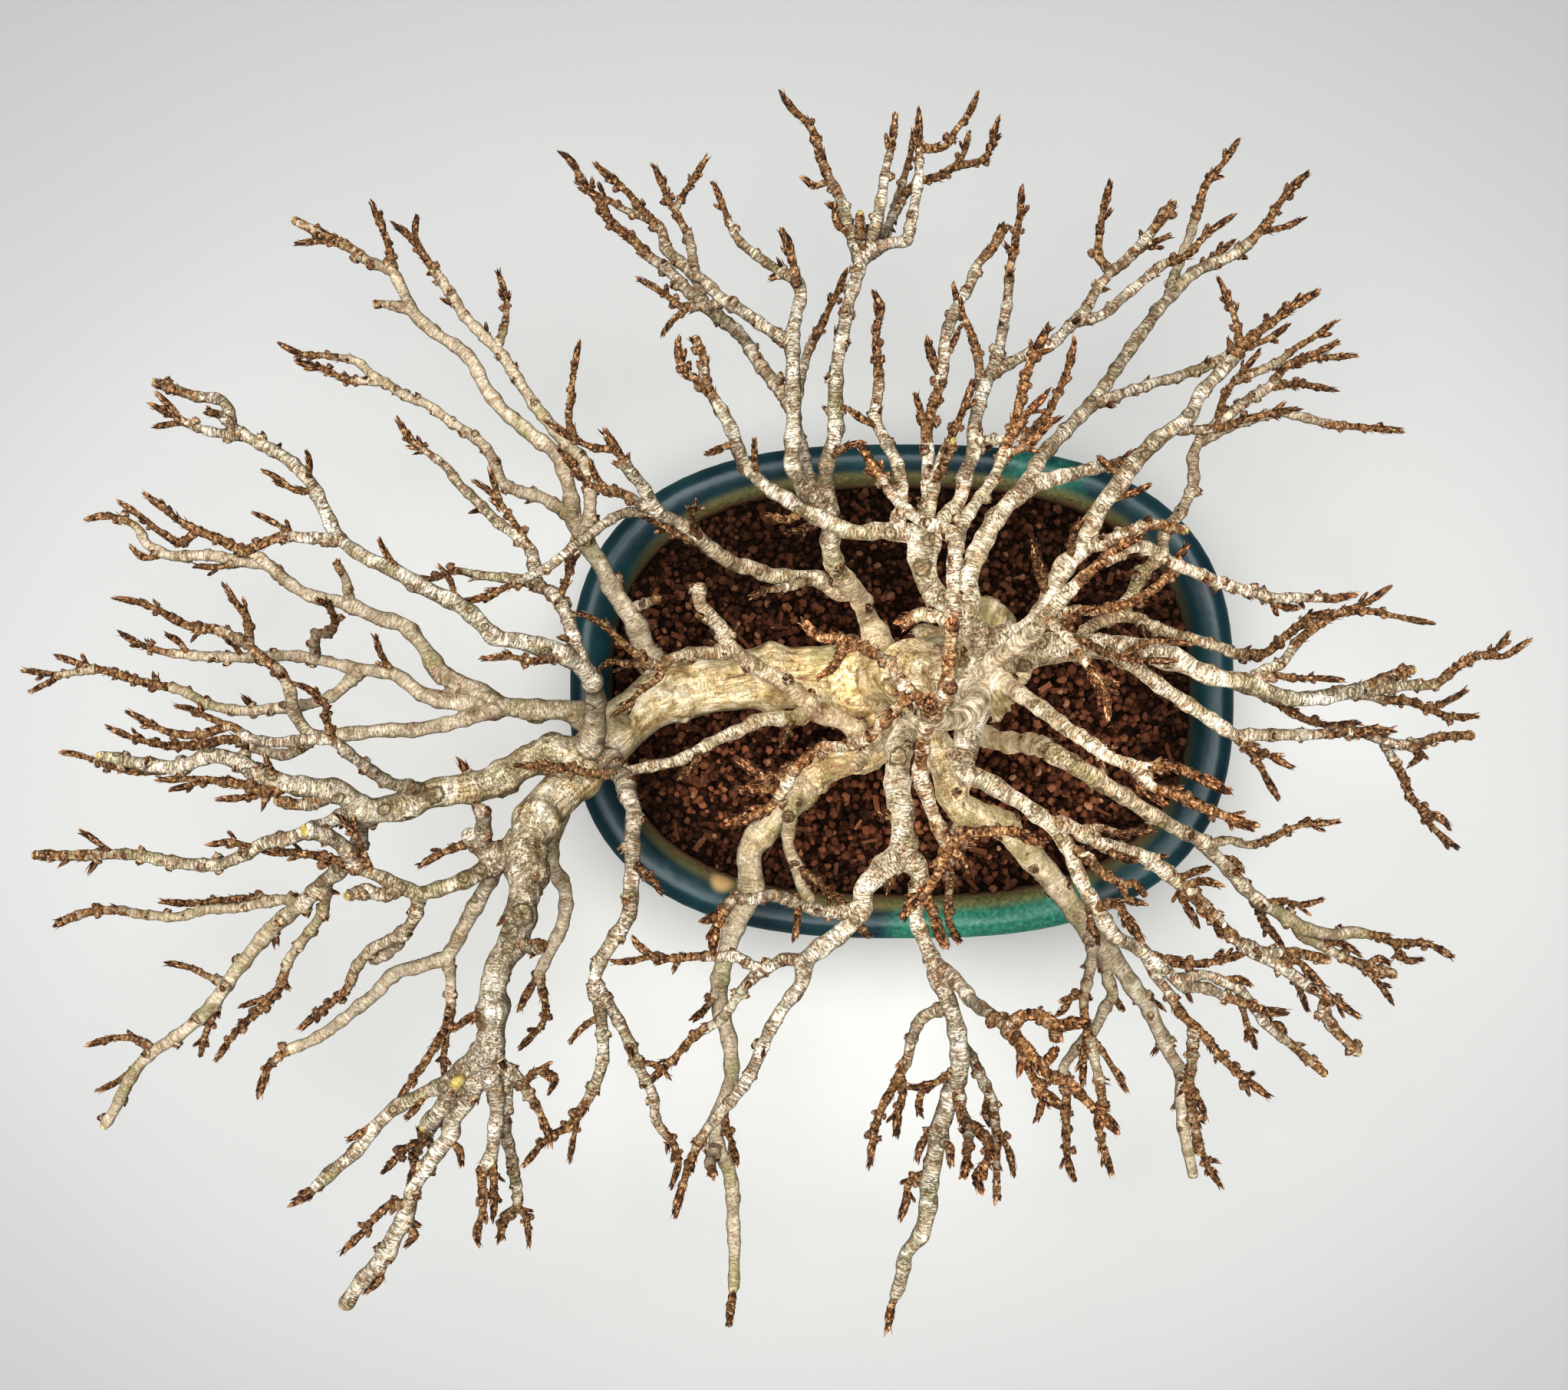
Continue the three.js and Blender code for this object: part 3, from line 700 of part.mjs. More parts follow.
function joinAll(solids) {
  let round = solids;
  while (round.length > 1) {
    const next = [];
    for (let i = 0; i < round.length; i += 2) {
      next.push(i + 1 < round.length ? round[i].add(round[i + 1]) : round[i]);
    }
    round = next;
  }
  return round[0];
}

function strandLength(strand) {
  return strand.points.slice(1).reduce((sum, p, i) => sum + p.distanceTo(strand.points[i]), 0);
}

// The long strands, and those that carry them down to the trunk
function strandsToKeep(strands) {
  const kept = new Set();
  for (const [name] of strands) {
    const long = strandLength(placeStrand(strands, name)) > SHORTEST_STRAND;
    if (!long && !name.startsWith("root")) continue;
    for (let at = name; at !== "-"; at = strands.get(at).parent) kept.add(at);
  }
  return kept;
}

// The wood, with its roots, fused in one solid, and the room that its foot takes in the soil
function makeWood() {
  const strands = readStrands(WOOD);
  const solids = [];
  const feet = [];
  for (const name of strandsToKeep(strands)) {
    const strand = strands.get(name);
    const sides = sidesFor(strand.radii[0]);
    solids.push(toSolid(tubeGeometry(strandRings(strand, 0), sides)));
    if (name === "trunk" || name.startsWith("root")) {
      feet.push(toSolid(tubeGeometry(strandRings(strand, FIT), sides)));
    }
  }
  return { wood: joinAll(solids), foot: joinAll(feet) };
}

// A turned profile of [distance from the middle, height], drawn out to an oval that is
// fuller at its corners than an ellipse, which has an OVAL_POWER of 2
function ovalGeometry(profile, sides) {
  const turned = new THREE.LatheGeometry(profile.map(([r, z]) => new THREE.Vector2(r, z)), sides);
  const stretch = (POT_LENGTH - POT_WIDTH) / 2;
  const at = turned.getAttribute("position");
  for (let i = 0; i < at.count; i += 1) {
    const step = Math.floor(i / profile.length);
    const turn = ((step % sides) / sides) * 2 * Math.PI;
    const [r, z] = profile[i % profile.length];
    const [cos, sin] = [Math.cos(turn), Math.sin(turn)];
    const full = (Math.abs(cos) ** OVAL_POWER + Math.abs(sin) ** OVAL_POWER) ** (-1 / OVAL_POWER);
    const x = POT_CENTRE[0] + full * cos * (r + stretch);
    const y = POT_CENTRE[1] + full * sin * r;
    at.setXYZ(i, Math.fround(x), Math.fround(y), z);
  }
  return turned;
}

// The pot's outline runs out under the floor, up the wall, round the lip and down the inside
function makePot() {
  const half = POT_WIDTH / 2;
  const base = FOOT_HEIGHT;
  const floor = FOOT_HEIGHT + FLOOR_THICK;
  const inside = half - LIP_WIDTH;
  const outside = inside + WALL_THICK - 1;
  const under = RIM_HEIGHT - LIP_THICK;
  const standing = outside - FOOT_INSET;
  const profile = [
    [0, base],
    [standing, base],
    [outside - 8.5, base + 2],
    [outside - 3.5, base + 16],
    [outside - 1, base + 31],
    [outside, under - 1.5],
    [half - 2.5, under + 0.5],
    [half - 0.4, under + 2.2],
    [half, under + 4],
    [half - 1.4, RIM_HEIGHT - 0.3],
    [half - 3.5, RIM_HEIGHT],
    [inside + 1.5, RIM_HEIGHT - 0.7],
    [inside, RIM_HEIGHT - 2],
    [inside - 1.2, RIM_HEIGHT - 10],
    [inside - 2.5, base + 20],
    [inside - 8, floor + 1.5],
    [inside - 11, floor],
    [0, floor],
  ];
  let pot = toSolid(ovalGeometry(profile, POT_SIDES));
  for (const place of FOOT_PLACES) pot = pot.add(toSolid(footGeometry(place * Math.PI, standing)));
  for (const side of [-1, 1]) {
    const drill = new THREE.CylinderGeometry(DRAIN_RADIUS, DRAIN_RADIUS, 4 * FLOOR_THICK, 20);
    drill.rotateX(Math.PI / 2);
    drill.translate(drainX(side), POT_CENTRE[1], floor - FLOOR_THICK / 2);
    pot = pot.subtract(toSolid(drill));
  }
  return pot;
}

function drainX(side) {
  return POT_CENTRE[0] + (side * DRAIN_SPACING) / 2;
}

// One foot: a short curved bar under the pot's edge, narrower on the inside
function footGeometry(middle, standing) {
  const stretch = (POT_LENGTH - POT_WIDTH) / 2;
  const outer = standing - 0.5;
  const narrow = FOOT_HALF_SPAN * FOOT_TAPER;
  const steps = 5;
  const outline = new THREE.Shape();
  const corner = (radius, turn) => [
    POT_CENTRE[0] + Math.cos(turn) * (radius + stretch),
    POT_CENTRE[1] + Math.sin(turn) * radius,
  ];
  for (let i = 0; i <= steps; i += 1) {
    const turn = middle + FOOT_HALF_SPAN * ((2 * i) / steps - 1);
    if (i === 0) outline.moveTo(...corner(outer, turn));
    else outline.lineTo(...corner(outer, turn));
  }
  for (let i = steps; i >= 0; i -= 1) {
    const turn = middle + narrow * ((2 * i) / steps - 1);
    outline.lineTo(...corner(outer - FOOT_BAR, turn));
  }
  return new THREE.ExtrudeGeometry(outline, { depth: FOOT_HEIGHT + 1, bevelEnabled: false });
}

// Height of the soil over the pot: a low mound with the bumps of its granules
function soilHeight(x, y, share) {
  const mound = SOIL_EDGE + (SOIL_CROWN - SOIL_EDGE) * (1 - share ** 2.2);
  const bumps = Math.sin(x * 1.31 + 2.1 * Math.sin(y * 0.37)) * Math.cos(y * 1.17 + 1.7 * Math.sin(x * 0.29));
  return mound + GRANULE_RELIEF * bumps;
}

function makeSoil(foot) {
  const inside = POT_WIDTH / 2 - LIP_WIDTH;
  const floor = FOOT_HEIGHT + FLOOR_THICK + FIT;
  const edge = inside - 0.9;
  const profile = [
    [0, floor],
    [inside - 11.5, floor],
    [inside - 8.5, floor + 1.5],
    [inside - 2.9, FOOT_HEIGHT + 20],
    [edge - 1, SOIL_EDGE - 6],
    [edge - 0.7, SOIL_EDGE - 1],
  ];
  for (let i = 1; i <= SOIL_RINGS; i += 1) profile.push([edge * (1 - i / SOIL_RINGS), SOIL_EDGE]);
  const geometry = ovalGeometry(profile, POT_SIDES);
  const at = geometry.getAttribute("position");
  for (let i = 0; i < at.count; i += 1) {
    if (at.getZ(i) !== SOIL_EDGE) continue;
    const [r] = profile[i % profile.length];
    at.setZ(i, Math.fround(soilHeight(at.getX(i), at.getY(i), r / edge)));
  }
  let soil = toSolid(geometry).subtract(foot);
  for (const side of [-1, 1]) {
    const room = new THREE.BoxGeometry(SCREEN_SIZE + 2 * FIT, SCREEN_SIZE + 2 * FIT, 2 * SCREEN_ROOM);
    room.translate(drainX(side), POT_CENTRE[1], floor);
    soil = soil.subtract(toSolid(room));
  }
  return soil;
}

// A square of plastic mesh that lies over a drain hole
function makeScreen(side) {
  const pitch = (SCREEN_SIZE - SCREEN_BAR) / SCREEN_HOLES;
  const opening = pitch - SCREEN_BAR;
  const plate = new THREE.BoxGeometry(SCREEN_SIZE, SCREEN_SIZE, SCREEN_THICK);
  let screen = toSolid(plate);
  for (let i = 0; i < SCREEN_HOLES; i += 1) {
    for (let j = 0; j < SCREEN_HOLES; j += 1) {
      const punch = new THREE.BoxGeometry(opening, opening, 2 * SCREEN_THICK);
      punch.translate((i - (SCREEN_HOLES - 1) / 2) * pitch, (j - (SCREEN_HOLES - 1) / 2) * pitch, 0);
      screen = screen.subtract(toSolid(punch));
    }
  }
  const geometry = toGeometry(screen);
  geometry.translate(drainX(side), POT_CENTRE[1], FOOT_HEIGHT + FLOOR_THICK + FIT + SCREEN_THICK / 2);
  return geometry;
}

// A wire staple: over a bar of the screen, down through the drain hole and out under the floor
function makeWire(side) {
  const leg = (SCREEN_SIZE - SCREEN_BAR) / SCREEN_HOLES / 2;
  const top = FOOT_HEIGHT + FLOOR_THICK + FIT + SCREEN_THICK + FIT + WIRE_RADIUS;
  const low = FOOT_HEIGHT - FIT - WIRE_RADIUS;
  const tail = DRAIN_RADIUS + WIRE_TAIL;
  const stations = [
    [-tail, low],
    [-leg - WIRE_CORNER, low],
    [-leg, low + WIRE_CORNER],
    [-leg, top - WIRE_CORNER],
    [-leg + WIRE_CORNER, top],
    [leg - WIRE_CORNER, top],
    [leg, top - WIRE_CORNER],
    [leg, low + WIRE_CORNER],
    [leg + WIRE_CORNER, low],
    [tail, low],
  ];
  const rings = stations.map(([x, z]) => ({
    centre: new THREE.Vector3(drainX(side) + x, POT_CENTRE[1] + leg, z),
    radius: WIRE_RADIUS,
  }));
  return tubeGeometry(rings, WIRE_SIDES);
}

function part(name, geometry, colour, roughness, metalness) {
  const material = new THREE.MeshStandardMaterial({ color: colour, roughness, metalness });
  const mesh = new THREE.Mesh(geometry, material);
  mesh.name = name;
  return mesh;
}

const { wood, foot } = makeWood();
const bonsai = new THREE.Group();
bonsai.add(part("pot", toGeometry(makePot()), 0x24484f, 0.25, 0));
bonsai.add(part("soil", toGeometry(makeSoil(foot)), 0x4a2a20, 0.95, 0));
bonsai.add(part("tree", largestSkin(toGeometry(wood)), 0xb9ab94, 0.8, 0));
for (const [label, side] of [["left", -1], ["right", 1]]) {
  bonsai.add(part(`drain_screen_${label}`, makeScreen(side), 0x1c1c1c, 0.6, 0));
  bonsai.add(part(`screen_wire_${label}`, makeWire(side), 0x8d5a3a, 0.4, 1));
}

// The whole stands on the middle of its own box
const box = new THREE.Box3().setFromObject(bonsai);
bonsai.position.set(-(box.min.x + box.max.x) / 2, -(box.min.y + box.max.y) / 2, -box.min.z);

export default bonsai;
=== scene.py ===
import json
import math
import re

import bpy
import numpy as np
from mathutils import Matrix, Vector
from mathutils.bvhtree import BVHTree
from mathutils.kdtree import KDTree

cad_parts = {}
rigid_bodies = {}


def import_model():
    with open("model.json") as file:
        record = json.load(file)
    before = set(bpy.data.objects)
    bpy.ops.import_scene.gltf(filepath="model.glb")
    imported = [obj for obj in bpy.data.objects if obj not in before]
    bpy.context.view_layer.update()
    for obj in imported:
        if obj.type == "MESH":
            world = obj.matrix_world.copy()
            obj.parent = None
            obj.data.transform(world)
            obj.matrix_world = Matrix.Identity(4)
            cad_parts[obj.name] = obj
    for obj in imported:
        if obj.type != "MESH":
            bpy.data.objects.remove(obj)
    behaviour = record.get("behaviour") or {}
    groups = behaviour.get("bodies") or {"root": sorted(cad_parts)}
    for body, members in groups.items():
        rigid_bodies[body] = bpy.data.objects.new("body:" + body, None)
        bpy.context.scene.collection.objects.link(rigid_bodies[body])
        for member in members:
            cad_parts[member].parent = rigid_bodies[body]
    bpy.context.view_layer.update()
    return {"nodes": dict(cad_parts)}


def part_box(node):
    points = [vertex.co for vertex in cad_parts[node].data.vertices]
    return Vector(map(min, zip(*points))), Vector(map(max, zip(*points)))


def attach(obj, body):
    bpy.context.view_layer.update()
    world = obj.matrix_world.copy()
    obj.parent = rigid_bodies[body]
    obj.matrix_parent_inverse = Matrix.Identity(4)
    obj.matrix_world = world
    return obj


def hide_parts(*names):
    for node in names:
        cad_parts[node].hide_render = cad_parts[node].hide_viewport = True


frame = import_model()

# Eye, plan and photograph
EYE_HEIGHT = 580
PLAN_HEIGHT = 120
SENSOR_WIDTH = 36
PHOTO_WIDTH = 2044
FOCAL_PIXELS = 2530

# Pot. The feet stand at half turns from +X.
POT_LENGTH = 180
POT_WIDTH = 134
POT_CENTRE = (32, 1)
STRETCH = (POT_LENGTH - POT_WIDTH) / 2
OVAL_POWER = 2.7
RIM_HEIGHT = 56
FOOT_HEIGHT = 7
FLOOR_THICK = 6
WALL_THICK = 5.5
LIP_WIDTH = 10.5
LIP_THICK = 6
DRAIN_RADIUS = 7
DRAIN_SPACING = 84
DRAIN_SIDES = 40
POT_SIDES = 96
PROFILE_STEP = 1.3
SMOOTH_ANGLE = 40
BASE_INSET = 12
FOOT_INSET = 12.5
FOOT_TURNS = (0.17, 0.83, 1.17, 1.83)
FOOT_HALF_SPAN = 0.23
FOOT_BAR = 8.5
FOOT_TAPER = 0.8
WALL_LEAN = 0.0029
WORN_SPOT = (-49, -52, 53)

# Soil. A layer of granules has a name, a pitch, a least and most size, a lift in sizes and a darkest tone.
SOIL_SEED = 77
SOIL_SLACK = 1.6
SOIL_LOW = 45
DROP_HEIGHT = 100.0
GRANULE_SEEDS = (3, 8, 21, 34)
GRANULE_WANDER = 0.6
GRANULE_LAYERS = (
    ("soil_granules_lower", 2.05, 2.0, 3.2, 0.1, 0.0),
    ("soil_granules_upper", 2.9, 1.6, 3.0, 0.62, 0.12),
)
CHIP_COUNT = 170
CHIP_LIFT = 1.7
CHIP_LEAST = (0.8, 0.5, 2.6)
CHIP_MOST = (1.7, 0.9, 5.6)
# Near-black colour of the painted shadow on the soil by the rim and at the back
SOIL_PAINTED_SHADOW = (0.010, 0.006, 0.004)

# Light, and where painted light brightens the materials, in metres of the row frame
CROWN_HEART = (0.048, 0.008, 0.155)
HEART_SQUASH = 0.5
FLOOR_PAINTED_LIGHT_MIDDLE = (0.012, -0.018, 0.0)
FLOOR_SIZE = 6
SKY_COLOUR = (0.93, 0.97, 1.0, 1)
SKY_STRENGTH = 0.31
LIGHTS = (
    ("overhead softbox", (-0.12, 0.12, 1.6), 1.4, 43.0, (1.0, 0.985, 0.96)),
    ("front fill", (0.4, -1.3, 0.9), 0.9, 2.6, (1.0, 0.95, 0.88)),
)

# Random values
HASH_STEPS = (374761393, 668265263, 1440662683, 1274126177)
LUMP_LINE = (0.37, 0.61)
FULL_TURN = 6.28

# Wood
TWIG_SEED = 500
NODE_SEED = 700
KNOT_SEED = 900
WAY_STEP = 0.5
THICK_START = 1.95
THICK_END = 1.55
VOXEL = 0.5
STRAND_SHIFT = 37.0
RIPPLE_PITCH = (1.1, 1.1, 1.6)
COLLAR = 0.3
NECK = 0.88
NODE_SWELL = 0.2
BUD_LENGTH = 5.6
BUD_SHARES = (0.0, 0.15, 0.35, 0.55, 0.75, 0.9, 1.0)
BUD_SWELLS = (1.0, 1.12, 1.08, 0.85, 0.55, 0.28, 0.06)
BLUNT_SHARES = (0.0, 0.25, 0.4)
BLUNT_SWELLS = (1.0, 0.8, 0.4)
BUD_ROWS = 8
BUD_ROW_SCALES = 3
CLUSTER_SCALES = 9
RING_SCALES = 4
STUB_SCALES = 5
RING_STEP = 0.34
TWIG_OVERLAP = 2.0
TWIG_SIDES = (7, 13)
SIDE_WIDTH = 0.62
CORE_SIDES = 16
CORE_STEP = 0.8
STOUT_CUT = 2.4
NO_KNOT = 9.0
HIGH_GROWTH = (150, 205)

# The tree's pieces, each with the groups of strands that it takes
REGIONS = {
    "trunk": ("trunk", "root", "knucklenorth", "knucklesouth", "column"),
    "crown": ("leader", "top", "high"),
    "limb": ("limb",),
    "west": ("west", "shelf"),
    "southwest": ("drop", "crest", "fan", "nook"),
    "middle": ("arch", "under", "fork", "heel"),
    "north": ("north", "spire", "northeast"),
    "east": ("eastlow", "east", "southeast", "eastdown"),
    "south": ("southlow", "south"),
}

